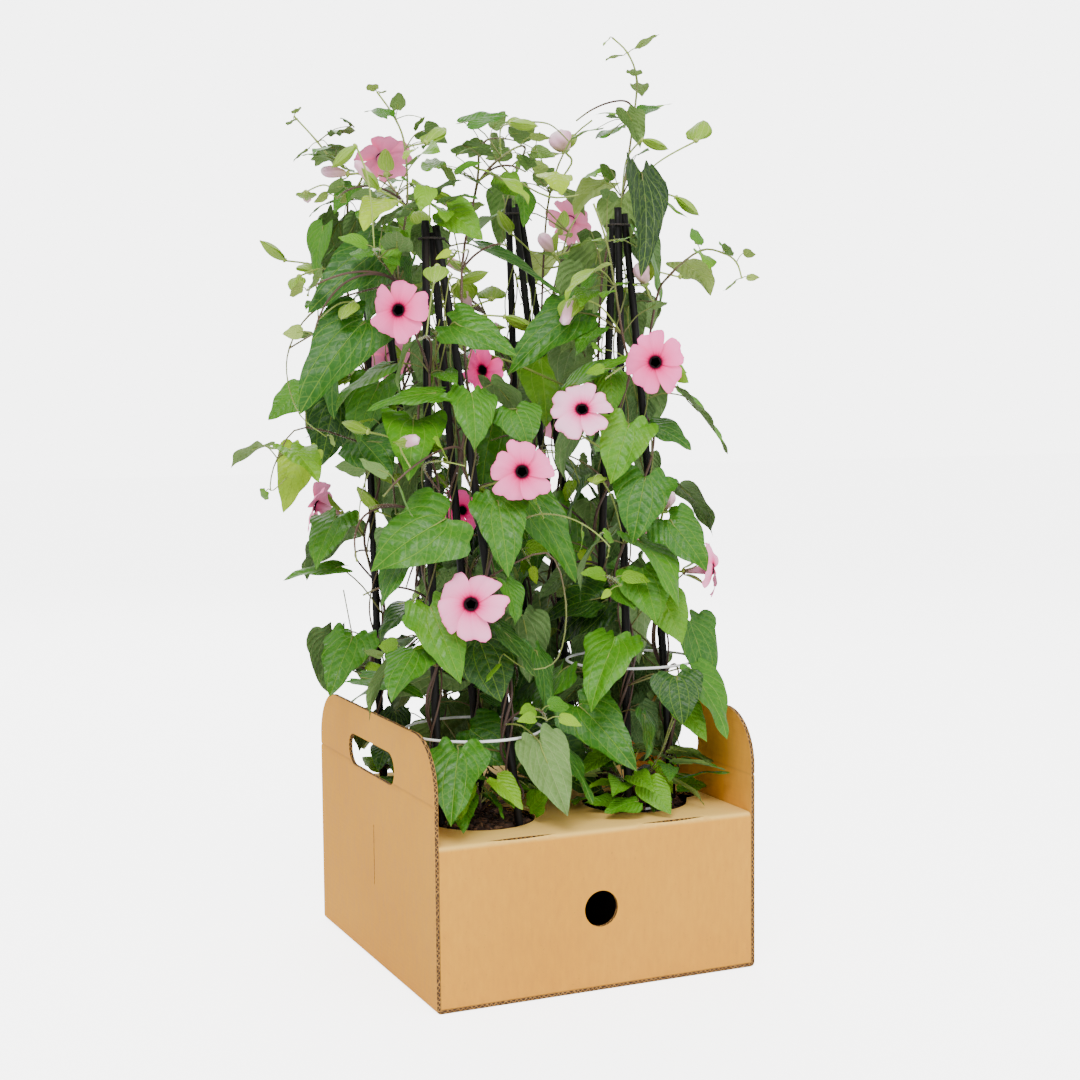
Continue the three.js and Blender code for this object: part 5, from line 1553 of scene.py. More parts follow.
def fine_half(half, teeth, depth, count):
    """Half of an outline, from the stalk to the tip, as a smooth line with shallow blunt teeth."""
    knots = [(0.0, 0.03), *half, (1.0, 0.0)]
    line = smooth_line([(*k, 0) for k in knots], 12)[:, :2]
    run = np.concatenate([[0], np.cumsum(np.linalg.norm(np.diff(line, axis=0), axis=1))])
    at = np.linspace(0, run[-1], count)
    even = np.stack([np.interp(at, run, line[:, k]) for k in (0, 1)], 1)
    lean = np.gradient(even, axis=0)
    out = np.stack([-lean[:, 1], lean[:, 0]], 1) / np.linalg.norm(lean, axis=1)[:, None]
    share = at / run[-1]
    grow = depth * (0.5 - np.abs(np.sin(math.pi * share * teeth))) * np.clip(share * 5, 0, 1) * (1 - share)
    return even - out * grow[:, None] * np.array([1, 1.3])


def leaf_grid(half, teeth, depth, lop, count, reach):
    """Places in (s, t) for all rings of one leaf; lop makes its two sides differ a little."""
    right = fine_half(half, teeth, depth, count)
    left = fine_half(half, teeth + lop, depth, count)[::-1] * np.array([1, -1])
    outline = np.concatenate([right, left[1:-1]])
    share = np.concatenate([np.linspace(0, 1, count), np.linspace(1, 2, count)[1:-1]])
    rings = [HEART + (outline - HEART) * f for f in reach]
    return np.concatenate([[HEART], *rings]), share


def fan_faces(n, rings):
    """Triangles of a fan of rings round one middle point."""
    first = [[0, 1 + k, 1 + (k + 1) % n] for k in range(n)]
    bands = grid_faces(rings, n, ring=True)[:, ::-1] + 1
    return np.concatenate([first, bands])


LEAF_FACES = {count: fan_faces(2 * count - 2, len(reach)) for count, reach in (FINE, PLAIN)}
rng = np.random.default_rng(19)
print("triangles of a big and a small leaf:", [len(faces) for faces in LEAF_FACES.values()])


# %% [markdown]
# ## Leaf surface
# Each leaf picks one of three outlines by its size and by chance, its teeth and how much
# its sides differ, and is lifted off its plain blade by waves that grow towards the edge.

# %% Leaf surface
def add_leaf(skin, leaf):
    """One fine leaf, with its own outline, teeth and waves."""
    luck = rng.random()
    big = leaf.length > 44
    form = EGG if leaf.half is SMALL_HALF or leaf.length < 26 else ARROW if luck > 0.45 and big else SHIELD
    count, reach = FINE if leaf.length > 32 else PLAIN
    teeth, lop = rng.choice([3.5, 4.5, 5.5]), rng.choice([0, 0.5, -0.5])
    grid, share = leaf_grid(form, teeth, 0.13 if big else 0.08, lop, count, reach)
    s, t = grid[:, 0], grid[:, 1]
    points, up = blade_points(leaf, s, t, soft=1.5)
    out = np.concatenate([[0], np.repeat(reach, len(share))])
    around = np.concatenate([[0], np.tile(share, len(reach))])
    waves = np.sin(math.pi * around * rng.choice([5, 6, 7]) + rng.random() * 6) * out**3
    lift = leaf.width * (0.035 * waves + (rng.random() * 0.2 - 0.15) * t**2)
    lift += leaf.width * 0.022 * np.sin(8 * s + 6 * np.abs(t) + luck * 9) * out
    points = points + up * lift[:, None]
    skin.add(points, LEAF_FACES[count], np.stack([t, s], 1), np.clip(leaf.tone, 0, 1), luck)


# %% [markdown]
# ## Leaves
# One piece for each plant. They stand for the CAD's vines, whose leaves are at the same places.

# %% Leaves
for plant in PLANTS:
    skin = Skin()
    for owner, leaf in leaves:
        if owner is plant:
            add_leaf(skin, leaf)
    piece(f"foliage_{plant.name}", "foliage", [(skin, leaf_green)], f"vine_{plant.name}")

# %% [markdown]
# ## Stem and stalk skin
# Old twining stems are purple-brown and smooth, young ones soft green, and stalks lie between. One
# material reads the tone along the stem; fine lengthways streaks keep a thin tube from looking like wire.

# %% Stem and stalk skin
stem_skin, tree = new_material("stem skin")
streaks = speckle(tree, 90.0, stretch=(1, 1, 0.15))
aged = vary(tree, fact(tree, "tone"), streaks, 0.3)
bark = ramp(tree, aged, (0.0, 48, 31, 31), (0.35, 86, 62, 46), (0.6, 112, 124, 54),
            (0.85, 152, 174, 74), (1.0, 178, 196, 98))
finish_material(stem_skin, bark, fade(tree, streaks, 0.3, 0.7, 0.45, 0.65), streaks, 0.25, 0.0004)

hair_down, tree = new_material("pale hairs")
down = ramp(tree, fact(tree, "luck"), (0.0, 214, 218, 196), (1.0, 240, 240, 226))
finish_material(hair_down, down, 0.6)

# %% [markdown]
# ## Hairs, stalks and stems, one by one
# Young stems carry short pale hairs, each a single thin triangle, which is
# enough at this size. Stalks arch from a stem into their leaf, and stems
# are smooth tubes along the grown lines, a little thicker at each node.

# %% Hairs, stalks and stems, one by one
def add_hairs(skin, line, side, up, radius, per_mm, length):
    """Thin spikes that stand off a tube, at random places along it."""
    steps = np.linalg.norm(np.diff(line, axis=0), axis=1)
    count = int(steps.sum() * per_mm)
    i = rng.choice(len(steps), count, p=steps / steps.sum())
    f = rng.random((count, 1))
    turn = rng.random((count, 1)) * 2 * math.pi
    out = side[i] * np.cos(turn) + up[i] * np.sin(turn)
    r = np.broadcast_to(radius, len(line))[i][:, None]
    foot = line[i] * (1 - f) + line[i + 1] * f + out * r * 0.9
    onward = (line[i + 1] - line[i]) / steps[i][:, None]
    width = np.cross(out, onward) * 0.07
    tip = foot + (out + onward * (rng.random((count, 1)) - 0.3)) * length * (0.6 + 0.6 * rng.random((count, 1)))
    points = np.stack([foot - width, foot + width, tip], 1).reshape(-1, 3)
    faces = np.arange(3 * count).reshape(-1, 3)
    skin.add(points, faces, np.zeros((3 * count, 2)), 0.5, np.repeat(rng.random(count), 3))


def stalk_line(leaf):
    """From the stem to the blade, with a slight arch, ending under the foot of the mid rib."""
    points = list(leaf.stalk)
    if len(points) == 2:
        points.insert(1, add(middle(points), (0, 0, 1), 0.12 * size(sub(points[1], points[0]))))
    inner = blade_points(leaf, [0.1, 0.3], [0, 0])[0] - np.array(leaf.face) * 0.35
    return smooth_line([*points, tuple(inner[0]), tuple(inner[1])], 3)


def add_stem(skin, hairs, stem):
    """A stem that turns from brown to green and swells at each node of its free end, where it is hairy."""
    line = smooth_line(stem.line, 4)
    share = np.linspace(0, 1, len(line))
    young = np.clip((np.arange(len(line)) / 4 - stem.free) / max(1, len(stem.line) - stem.free), 0, 1)
    swell = 1 + 0.22 * np.isin(np.arange(len(line)) % 4, [0]) * (young > 0)
    radius = (stem.thick * 0.56 + (stem.thin * 0.6 - stem.thick * 0.56) * share) * (1 - 0.3 * young) * swell
    tone = 0.12 + 0.25 * share + 0.6 * young if stem.free > 1 else 0.35 + 0.6 * young
    _, side, up = add_tube(skin, line, radius, 8, np.clip(tone, 0, 1), rng.random())
    bare = 4 * max(stem.free - 1, 0)
    if len(line) - bare > 3:
        add_hairs(hairs, line[bare:], side[bare:], up[bare:], radius[bare:], 2.6, 1.3)


def add_thin_twiner(skin, plant, i, phase):
    """A slender stem that twines up a stick between the thick ones."""
    top = SHELF + (plant.top[2] - SHELF) * (0.74 + 0.3 * rng.random())
    heights = np.arange(STEM.start - 14, top, STEM.pitch / 10)
    pace = 2 * math.pi / (STEM.pitch * 0.93)
    line = [add(stick_at(plant, i, z), polar(phase + pace * z), 4.9 + 0.7 * rng.random()) for z in heights]
    root = (*plant.pot, SOIL.crown)
    line = smooth_line([root, add(middle([root, line[0]]), (0, 0, 1), 3), *line], 2)
    share = np.linspace(0, 1, len(line))
    add_tube(skin, line, 0.85 - 0.35 * share, 6, np.clip(0.15 + 0.5 * share, 0, 1), rng.random())


print("a leaf's stalk has", len(stalk_line(leaves[0][1])), "points")

# %% [markdown]
# ## Stems and stalks
# All grown stems get their tube, and each stick two thinner stems more
# that twine between the first ones, as a pot holds several seedlings. The
# skins stay open, because flower stalks and pods are added to them below.

# %% Stems and stalks
stem_skins = {plant.name: (Skin(), Skin()) for plant in PLANTS}
for stem in stems:
    add_stem(*stem_skins[stem.plant.name], stem)
for plant in PLANTS:
    for i in range(3):
        for phase in (2.1, 4.2):
            add_thin_twiner(stem_skins[plant.name][0], plant, i, phase + i + rng.random())
for plant, leaf in leaves:
    line = stalk_line(leaf)
    thick = 0.75 if leaf.length > 44 else 0.6 if leaf.length > 30 else 0.45
    radius = np.linspace(thick, thick * 0.6, len(line))
    tone = np.linspace(0.35 + 0.35 * leaf.tone, 0.6 + 0.3 * leaf.tone, len(line))
    skin, hairs = stem_skins[plant.name]
    _, side, up = add_tube(skin, line, radius, 5, np.clip(tone, 0, 1), rng.random())
    if leaf.tone > 0.55:
        add_hairs(hairs, line[:-5], side[:-5], up[:-5], radius[:-5], 1.2, 0.9)
print("points in each plant's stems:", [skin.count for skin, _ in stem_skins.values()])

# %% [markdown]
# ## Petal colour
# Colour runs outwards from a dark eye: crimson, then deep pink, and pale towards the edge,
# bleeding along fine veins. Petals are thin enough for light to shine through, and a weak
# glow of their own colour stands for it. The throat is nearly black inside and pale outside.

# %% Petal colour
petal_skin, tree = new_material("petal")
place = on_blade(tree)
narrow = calc(tree, "MULTIPLY", place["X"], 22.0)
ribs = node(tree, "CombineXYZ", {"X": narrow, "Y": place["Y"], "Z": fact(tree, "luck")}).outputs[0]
fibre = use(tree, grain, Place=ribs, Scale=1.8, Detail=4.0, Roughness=0.5)["Grain"]
out = vary(tree, place["Y"], fibre, fade(tree, place["Y"], 0.19, 0.34, 0.02, 0.36))
pink = ramp(tree, out, (0.0, 8, 0, 3), (0.19, 20, 0, 8), (0.225, 130, 0, 52),
            (0.27, 212, 14, 96), (0.38, 242, 52, 132), (0.7, 250, 80, 154),
            (1.0, 250, 90, 166))
light = ramp(tree, out, (0.0, 8, 0, 3), (0.19, 22, 0, 9), (0.22, 150, 0, 60),
             (0.255, 232, 40, 118), (0.36, 252, 130, 182), (0.55, 255, 178, 214),
             (1.0, 255, 206, 230))
petal_pink = blend(tree, fact(tree, "tone"), pink, light)
back = node(tree, "NewGeometry").outputs["Backfacing"]
petal_pink = blend(tree, calc(tree, "MULTIPLY", back, 0.5), petal_pink, shade(246, 160, 200))
finish_material(petal_skin, petal_pink, fade(tree, fibre, 0.3, 0.7, 0.6, 0.75), fibre, 0.3, 0.0008,
                Specular_IOR_Level=0.12, Emission_Strength=0.28)
tree.links.new(petal_pink, tree.nodes["Principled BSDF"].inputs["Emission Color"])

throat_skin, tree = new_material("throat")
place = on_blade(tree)
deep = ramp(tree, calc(tree, "ADD", place["Y"], calc(tree, "MULTIPLY", speckle(tree, 300.0), 0.06)),
            (0.0, 206, 178, 150), (0.25, 232, 160, 190), (0.42, 200, 90, 140),
            (0.44, 34, 0, 14), (0.5, 14, 0, 6), (1.0, 4, 0, 2))
matt = fade(tree, place["Y"], 0.4, 0.5, 0.55, 0.95)
finish_material(throat_skin, deep, matt, speckle(tree, 400.0), 0.2, 0.0005, Specular_IOR_Level=0.05)

# %% [markdown]
# ## Petal form
# A corolla has five broad lobes whose ends are cut nearly straight with a small notch.
# Each lobe is a bent, waved grid that overlaps its neighbour. Its facts are the share of
# the way from the eye to the edge, for the colours, and a tone that is deeper at the rim.

# %% Petal form
PETAL_ROWS, PETAL_COLUMNS = 16, 17


def add_petal(skin, petal, flower):
    """A lobe whose end is cut off unevenly, with a notch, and whose blade curls back in its own way."""
    v, u = np.meshgrid(np.linspace(0, 1, PETAL_ROWS), np.linspace(-1, 1, PETAL_COLUMNS), indexing="ij")
    v, u = v.ravel(), u.ravel()
    slant, notch, phase, curl = rng.random(4)
    end = 1.0 + 0.3 * (slant - 0.5) * u - 0.07 * np.abs(u) ** 6 + 0.03 * np.cos(5 * u + 6 * phase)
    end -= 0.05 * notch * np.exp(-((u - 0.5 * (notch - 0.5)) / 0.14) ** 2) + 0.012 * np.sin(19 * u + 6 * curl)
    broad = 0.32 + 0.68 * np.sin(np.clip(v / 0.85, 0, 1) * math.pi / 2) ** 0.95
    broad -= 0.16 * np.clip((v - 0.9) / 0.1, 0, 1) ** 2
    s, t = v * end * (0.9 + 0.14 * curl), broad * u * (0.93 + 0.12 * notch)
    points, up = blade_points(petal, s, t)
    lift = 0.26 * (phase - 0.5) * v + 0.07 * np.sin(2.2 * u + 6 * phase) * v**2
    lift += 0.03 * np.sin(6.5 * u + 6 * notch) * v**3
    lift += -(0.04 + 0.14 * curl) * v**3 + 0.03 * np.exp(-((u / 0.14) ** 2)) * np.sin(math.pi * v)
    points = points + up * (petal.length * lift)[:, None]
    arm = points - np.array(flower.throat)
    arm -= (arm @ np.array(flower.face))[:, None] * np.array(flower.face)
    from_eye = np.linalg.norm(arm, axis=1) / (flower.diameter / 2)
    rim = np.maximum(np.clip((np.abs(u) - 0.78) / 0.22, 0, 1) * v, np.clip((v - 0.88) / 0.12, 0, 1))
    tone = flower.pale * (1 - 0.8 * rim**2)
    skin.add(points, grid_faces(PETAL_ROWS, PETAL_COLUMNS), np.stack([u, from_eye], 1), tone, rng.random())


print("triangles of a lobe:", len(grid_faces(PETAL_ROWS, PETAL_COLUMNS)))

# %% [markdown]
# ## Turned forms and flowers
# Tubes, buds, pots and the little cups under flowers are turned forms: a profile goes round an axis. Ridges
# give a folded section that winds round it. Each flower is one piece of five lobes and a turned throat.

# %% Turned forms and flowers
def add_lathe(skin, base, axis, profile, sides, tone=0.5, ridges=0, depth=0.0, twist=0.0):
    """Rings round an axis from a list of (height, radius); ridges give a folded or ribbed section."""
    axis = np.array(axis, float)
    side = np.array(across((0.3, 0.2, 1), tuple(axis)))
    up = np.cross(axis, side)
    turn = np.linspace(0, 2 * math.pi, sides, endpoint=False)
    h, r = np.array(profile, float).T
    share = np.linspace(0, 1, len(h))
    folds = np.ones((len(h), sides))
    if ridges:
        folds = 1 + depth * np.cos(ridges * (turn[None] + twist * share[:, None]))
    ring = side * np.cos(turn)[:, None] + up * np.sin(turn)[:, None]
    points = np.array(base) + axis * h[:, None, None] + ring[None] * (r[:, None] * folds)[..., None]
    uv = np.stack(np.broadcast_arrays(turn[None] / (2 * math.pi), share[:, None]), -1)
    skin.add(points.reshape(-1, 3), grid_faces(len(h), sides, ring=True), uv.reshape(-1, 2), tone, rng.random())


THROAT = [(-22, 0.3), (-21.9, 1.7), (-18, 2.4), (-12, 3.1), (-6, 4.0), (-2, 4.5), (-0.6, 4.8),
          (-0.3, 4.7), (-0.5, 4.5), (-2, 4.2), (-5, 3.6), (-8, 3.0), (-14, 1.6), (-16, 0.2)]
for flower in flowers:
    if flower.bud is None:
        lobes, tube = Skin(), Skin()
        for petal in flower.petals:
            add_petal(lobes, petal, flower)
        add_lathe(tube, flower.throat, flower.face, THROAT, 24)
        name = flower.name.replace("corolla", "flower")
        piece(name, "petal", [(lobes, petal_skin), (tube, throat_skin)], flower.name)

# %% [markdown]
# ## Buds
# An unopened corolla is rolled up like an umbrella: five folds wind round it and end in a pale blunt tip.

# %% Buds
bud_skin, tree = new_material("bud")
mottle = speckle(tree, 260.0)
tip = ramp(tree, vary(tree, on_blade(tree)["Y"], mottle, 0.25),
           (0.0, 190, 190, 120), (0.3, 226, 176, 180), (0.6, 240, 178, 204),
           (1.0, 252, 232, 236))
finish_material(bud_skin, tip, fade(tree, mottle, 0.3, 0.7, 0.45, 0.6), mottle, 0.3, 0.0005)

BUD = [(0, 0.3), (0.04, 0.5), (0.15, 0.66), (0.32, 0.84), (0.5, 0.97), (0.66, 1.0), (0.8, 0.9), (0.9, 0.7),
       (0.97, 0.42), (1.0, 0.1), (1.004, 0.01)]
for flower in flowers:
    if flower.bud:
        _, wide, long = flower.bud
        body = Skin()
        profile = [(long * h, wide / 2 * r) for h, r in BUD]
        add_lathe(body, flower.heel, flower.face, profile, 40, ridges=5, depth=0.1, twist=1.6)
        piece(f"{flower.name}_folded", "bud", [(body, bud_skin)], flower.name)

# %% [markdown]
# ## Bracts
# Two leafy bracts clasp the foot of every flower and bud, or close round a young bud like a pod. They
# are ribbed lengthways, pale green and downy, and share the leaves' veins in a narrower measure.

# %% Bracts
bract_skin, tree = new_material("bract")
place = on_blade(tree)
lines = use(tree, veins, Across=place["X"], Along=place["Y"], Step=0.24, Slant=1.1, Thickness=0.05)
aged = calc(tree, "ADD", fact(tree, "tone"), calc(tree, "MULTIPLY", speckle(tree, 120.0), 0.3))
husk = ramp(tree, aged, (0.2, 84, 132, 12), (0.6, 128, 168, 26), (1.0, 176, 196, 60))
husk = blend(tree, calc(tree, "MULTIPLY", lines["Veins"], 0.45), husk, shade(204, 212, 120))
finish_material(bract_skin, husk, 0.55, lines["Quilt"], 0.5, 0.0008)


def add_bract(skin, hairs, form):
    """One bract as a ribbed, boat-shaped grid, with hairs along its keel."""
    rows, columns = 11, 9
    v, u = np.meshgrid(np.linspace(0, 1, rows), np.linspace(-1, 1, columns), indexing="ij")
    v, u = v.ravel(), u.ravel()
    broad = 0.22 + 0.78 * np.sin(np.clip(v, 0, 1) ** 0.72 * math.pi) ** 0.8
    broad = np.where(v > 0.98, 0.02, broad * (1 - 0.22 * (v > 0.5) * (v - 0.5)))
    points, up = blade_points(form, v, broad * u, soft=1.2)
    ribs = 0.35 * np.cos(u * 2.5 * math.pi) * np.sin(math.pi * v)
    uv = np.stack([broad * u, v], 1)
    skin.add(points + up * ribs[:, None], grid_faces(rows, columns), uv, 0.4, rng.random())
    net, keel = points.reshape(rows, columns, 3), columns // 2
    side = np.gradient(net, axis=1)[:, keel]
    side /= np.linalg.norm(side, axis=1)[:, None]
    add_hairs(hairs, net[:, keel], side, up.reshape(rows, columns, 3)[:, keel], 0.2, 3.0, 1.0)


def pod_half(pod, side):
    """One of the two bracts that close round a bud."""
    out = across(side, pod.face)
    base = add(add(pod.seat, out, 0.8), pod.face, 0.3)
    splay = 0.62
    return blade(base, add(pod.face, out, splay), add(out, pod.face, -splay), pod.long, pod.long * 0.72,
                 droop=1.2, fold=-0.56, neck=1.2, half=BRACT_HALF)


print("triangles of a bract:", len(grid_faces(11, 9)))

# %% [markdown]
# ## Flower stalks and pods
# Every flower and pod hangs on a long downy stalk that ends in a little cup. Some pods are about to
# open, and show a folded pink tip. Then the plants' skins are complete, and their pieces are made.

# %% Flower stalks and pods
CUP = [(0, 0.9), (0.6, 2.2), (1.6, 2.9), (2.6, 2.5), (3.2, 1.4)]
POD_CUP = [(0, 0.8), (0.6, 1.9), (1.6, 2.3), (2.4, 1.2)]
POD_TIP = [(0, 0.04), (0.3, 0.14), (0.7, 0.15), (0.95, 0.13), (1.05, 0.05), (1.07, 0.004)]
bract_skins = {plant.name: Skin() for plant in PLANTS}
for flower in flowers:
    if not flower.grown:
        continue
    name = flower.grown.plant.name
    skin, hairs = stem_skins[name]
    line = smooth_line([*flower.grown.line, add(flower.seat, flower.face, -0.5)], 4)
    _, side, up = add_tube(skin, line, np.linspace(0.8, 1.1, len(line)), 6, 0.72, rng.random())
    add_hairs(hairs, line, side, up, 0.95, 2.5, 1.1)
    add_lathe(skin, add(flower.seat, flower.face, -2.6), flower.face, CUP, 14, tone=0.85)
    for form in flower.bracts:
        add_bract(bract_skins[name], hairs, form)

pink_tips = Skin()
for pod in pods:
    skin, hairs = stem_skins[pod.plant.name]
    line = smooth_line(pod.line, 7)
    tone = 0.7 + 0.25 * pod.luck
    _, side, up = add_tube(skin, line, np.linspace(0.55, 0.8, len(line)), 6, tone, rng.random())
    add_hairs(hairs, line, side, up, 0.65, 1.6, 1.0)
    add_lathe(skin, add(pod.seat, pod.face, -0.8), pod.face, POD_CUP, 12, tone=0.9)
    side = across((0, 0, 1), pod.face)
    for turn in both_ways(side):
        add_bract(bract_skins[pod.plant.name], hairs, pod_half(pod, turn))
    if pod.luck > 0.7:
        profile = [(pod.long * h, pod.long * r) for h, r in POD_TIP]
        add_lathe(pink_tips, add(pod.seat, pod.face, 1), pod.face, profile, 24, ridges=5, depth=0.1, twist=1.6)
if pink_tips.count:
    piece("pod_tips", "bud", [(pink_tips, bud_skin)])

for plant in PLANTS:
    skin, hairs = stem_skins[plant.name]
    parts = [(skin, stem_skin), (hairs, hair_down), (bract_skins[plant.name], bract_skin)]
    piece(f"stems_{plant.name}", "foliage", [p for p in parts if p[0].count], f"vine_{plant.name}")

# %% [markdown]
# ## Stained cane and dark wire
# The wigwams are split bamboo canes stained black, with fine streaks along them that are rubbed brown
# where the stain is thin. The tie is a thin covered wire, a little lighter where it is scuffed.

# %% Stained cane and dark wire
cane, tree = new_material("black stained cane")
streaks = speckle(tree, 160.0, stretch=(1, 1, 0.04))
tone_shift = speckle(tree, 14.0, stretch=(1, 1, 0.5))
stain = ramp(tree, calc(tree, "MULTIPLY", streaks, calc(tree, "ADD", tone_shift, 0.5)), (0.36, 6, 5, 5),
             (0.64, 14, 11, 10), (0.78, 36, 27, 21), (0.92, 72, 56, 43))
finish_material(cane, stain, fade(tree, streaks, 0.3, 0.7, 0.42, 0.7), streaks, 0.5, 0.0006,
                Specular_IOR_Level=0.25)

dark_wire, tree = new_material("dark wire")
twist = speckle(tree, 300.0)
wire = ramp(tree, twist, (0.3, 30, 24, 22), (0.7, 60, 50, 44))
finish_material(dark_wire, wire, fade(tree, twist, 0.3, 0.7, 0.5, 0.7), twist, 0.3, 0.0003)

# %% [markdown]
# ## Sticks and ties
# A cane has a swollen ring every few centimetres, where a leaf once grew, and is a little thinner beside
# it. Each wigwam's three sticks are one piece, and a twisted wire of two strands holds their tips.

# %% Sticks and ties
BURIED = 92  # where a stick starts, down in the soil
for plant in PLANTS:
    skin = Skin()
    for i in range(3):
        heights = np.arange(BURIED, plant.top[2] - 4 * i, 4.0)
        heights = np.append(heights[:-1], plant.top[2] - 4 * i)
        line = np.array([stick_at(plant, i, z) for z in heights])
        line[:, :2] += 0.35 * np.stack([np.sin(heights / 37 + i), np.cos(heights / 29 + 2 * i)], 1)
        joint = rng.random() * 60 + np.cumsum(58 + 34 * rng.random(12)) + 60
        near = np.abs(heights[:, None] - joint[None]).min(1)
        radius = (STICK.foot + (STICK.tip - STICK.foot) * (heights - BURIED) / (plant.top[2] - BURIED)) * 1.02
        radius = radius * (1 + 0.17 * np.exp(-((near / 2.4) ** 2)) - 0.05 * np.exp(-((near / 9) ** 2)))
        add_tube(skin, line, radius, 12, 0.5, rng.random())
    piece(f"sticks_{plant.name}", "stick", [(skin, cane)], *[f"stick_{plant.name}_{i + 1}" for i in range(3)])

    z = plant.top[2] - TIE.below
    heart = middle([stick_at(plant, i, z) for i in range(3)])
    skin = Skin()
    turns = np.linspace(0, 2 * math.pi, 61)[:-1]
    for strand in (0, math.pi):
        spiral, off = 14 * turns + strand, TIE.wire / 2
        r = TIE.radius + off * np.cos(spiral)
        x, y = heart[0] + r * np.cos(turns), heart[1] + r * np.sin(turns)
        line = np.stack([x, y, z + off * np.sin(spiral)], 1)
        add_tube(skin, line, 0.5, 6, 0.5, closed=True)
        end = np.array([[heart[0] + TIE.radius + k * 1.2, heart[1] - 0.4 * k, z - 1.2 * k] for k in range(5)])
        end[:, 1] += 0.5 * np.cos(np.arange(5) * 1.8 + strand)
        add_tube(skin, smooth_line(end, 3), 0.5, 6, 0.5)
    piece(f"twist_tie_{plant.name}", "tie", [(skin, dark_wire)], f"tie_{plant.name}")

# %% [markdown]
# ## Hoops
# White plastic rings hold the stems together. Each is one moulded wire with a small clip where it closes.

# %% Hoops
hoop_white, tree = new_material("white plastic")
scuff = speckle(tree, 120.0)
white = ramp(tree, scuff, (0.3, 226, 228, 226), (0.7, 244, 245, 243))
finish_material(hoop_white, white, fade(tree, scuff, 0.35, 0.7, 0.28, 0.45), scuff, 0.1, 0.0002)
for hoop in HOOPS:
    heart, skin = np.array(hoop_middle(hoop)), Skin()
    turns = np.linspace(0, 2 * math.pi, 97)[:-1]
    line = heart + hoop.radius * np.stack([np.cos(turns), np.sin(turns), 0 * turns], 1)
    add_tube(skin, line, 1.05, 10, 0.5, closed=True)
    clip = np.abs((turns - 0.6 + math.pi) % (2 * math.pi) - math.pi) < 0.09 * 52 / hoop.radius
    add_tube(skin, smooth_line(line[clip], 4), 1.5, 10, 0.5)
    piece(hoop.name.replace("hoop", "ring"), "hoop", [(skin, hoop_white)], hoop.name)

# %% [markdown]
# ## Black plastic and peat
# Nursery pots are thin black plastic, dusty where they were handled. Potting
# soil is peat and bark, matt and crumbly, and each chip in it has its own brown.

# %% Black plastic and peat
pot_black, tree = new_material("black pot plastic")
dust = speckle(tree, 45.0, 5.0)
plastic = ramp(tree, dust, (0.35, 20, 20, 21), (0.62, 32, 31, 30), (0.8, 74, 64, 54))
finish_material(pot_black, plastic, fade(tree, dust, 0.3, 0.75, 0.34, 0.75), dust, 0.15, 0.0004)

soil_brown, tree = new_material("bark and peat")
crumb = speckle(tree, 150.0, 8.0, rough=0.7)
mixed = calc(tree, "ADD", calc(tree, "MULTIPLY", crumb, 0.6), calc(tree, "MULTIPLY", fact(tree, "luck"), 0.4))
peat = ramp(tree, mixed, (0.15, 30, 20, 15), (0.4, 58, 39, 28), (0.62, 98, 68, 46),
            (0.85, 152, 116, 82))
finish_material(soil_brown, peat, fade(tree, crumb, 0.3, 0.7, 0.8, 1.0), crumb, 0.9, 0.002)

# %% [markdown]
# ## Pots
# A pot is a turned form with a thin wall, a thick lip and a closed
# floor. Mostly its rim shows, in the round holes of the shelf.

# %% Pots
POT_LINE = [(3.3, 0.1), (3.3, 41.4), (4.0, 42.0), (60, 49.4), (107.4, 55.4), (108.2, 56.4), (109, 58.3),
            (109.6, 58.6), (116.0, 58.6), (116.6, 58.3), (116.6, 57.6), (116.2, 57.3), (110.5, 57.2),
            (109.3, 54.4), (60, 48), (5, 40.6), (4.8, 0.1)]


def make_pot(plant):
    pot = Skin()
    add_lathe(pot, (*plant.pot, 0), (0, 0, 1), POT_LINE, 72)
    piece(f"nursery_pot_{plant.name}", "pot", [(pot, pot_black)], f"pot_{plant.name}")


print("a pot is", POT_LINE[9][0], "mm high and", 2 * POT_LINE[8][1], "mm wide")

# %% [markdown]
# ## Soil
# The soil is a lumpy bed with chips of bark and fibres lying on it. Chips are small split blocks and
# fibres are short bent tubes, each turned and sized by chance. Pot and soil of a plant are made together.

# %% Soil


def add_chips(skin, centre, count, spread, long, thick):
    """Small split blocks scattered on the soil: eight jittered corners, twelve triangles each."""
    corners = np.array([(x, y, z) for x in (-1, 1) for y in (-1, 1) for z in (-1, 1)], float)
    sides = np.array([(0, 1, 3), (0, 3, 2), (4, 7, 5), (4, 6, 7), (0, 5, 1), (0, 4, 5), (2, 3, 7), (2, 7, 6),
                      (0, 2, 6), (0, 6, 4), (1, 5, 7), (1, 7, 3)])
    for _ in range(count):
        far, turn = spread * math.sqrt(rng.random()), rng.random() * 2 * math.pi
        length = long * (0.4 + rng.random())
        scale = np.array([length, length * (0.25 + 0.35 * rng.random()), thick * (0.5 + rng.random())]) / 2
        block = corners * scale * (1 + 0.5 * (rng.random((8, 3)) - 0.5))
        spin, tilt = rng.random() * 2 * math.pi, (rng.random(2) - 0.5) * 0.9
        z_turn, x_turn, y_turn = (Matrix.Rotation(a, 3, axis) for a, axis in zip((spin, *tilt), "ZXY"))
        lean = z_turn @ x_turn @ y_turn
        height = soil_height(far) + thick * 0.3
        spot = np.array([centre[0] + far * math.cos(turn), centre[1] + far * math.sin(turn), height])
        skin.add(block @ np.array(lean).T + spot, sides, block[:, :2], 0.5, rng.random())


def soil_height(far):
    """The bed is highest at the root crown and falls off towards the pot's wall."""
    heights = (SOIL.crown - 1.2, SOIL.crown - 4.6, SOIL.edge + 8.4, SOIL.edge - 1)
    return float(np.interp(far, (0, 28, 43, 50), heights))


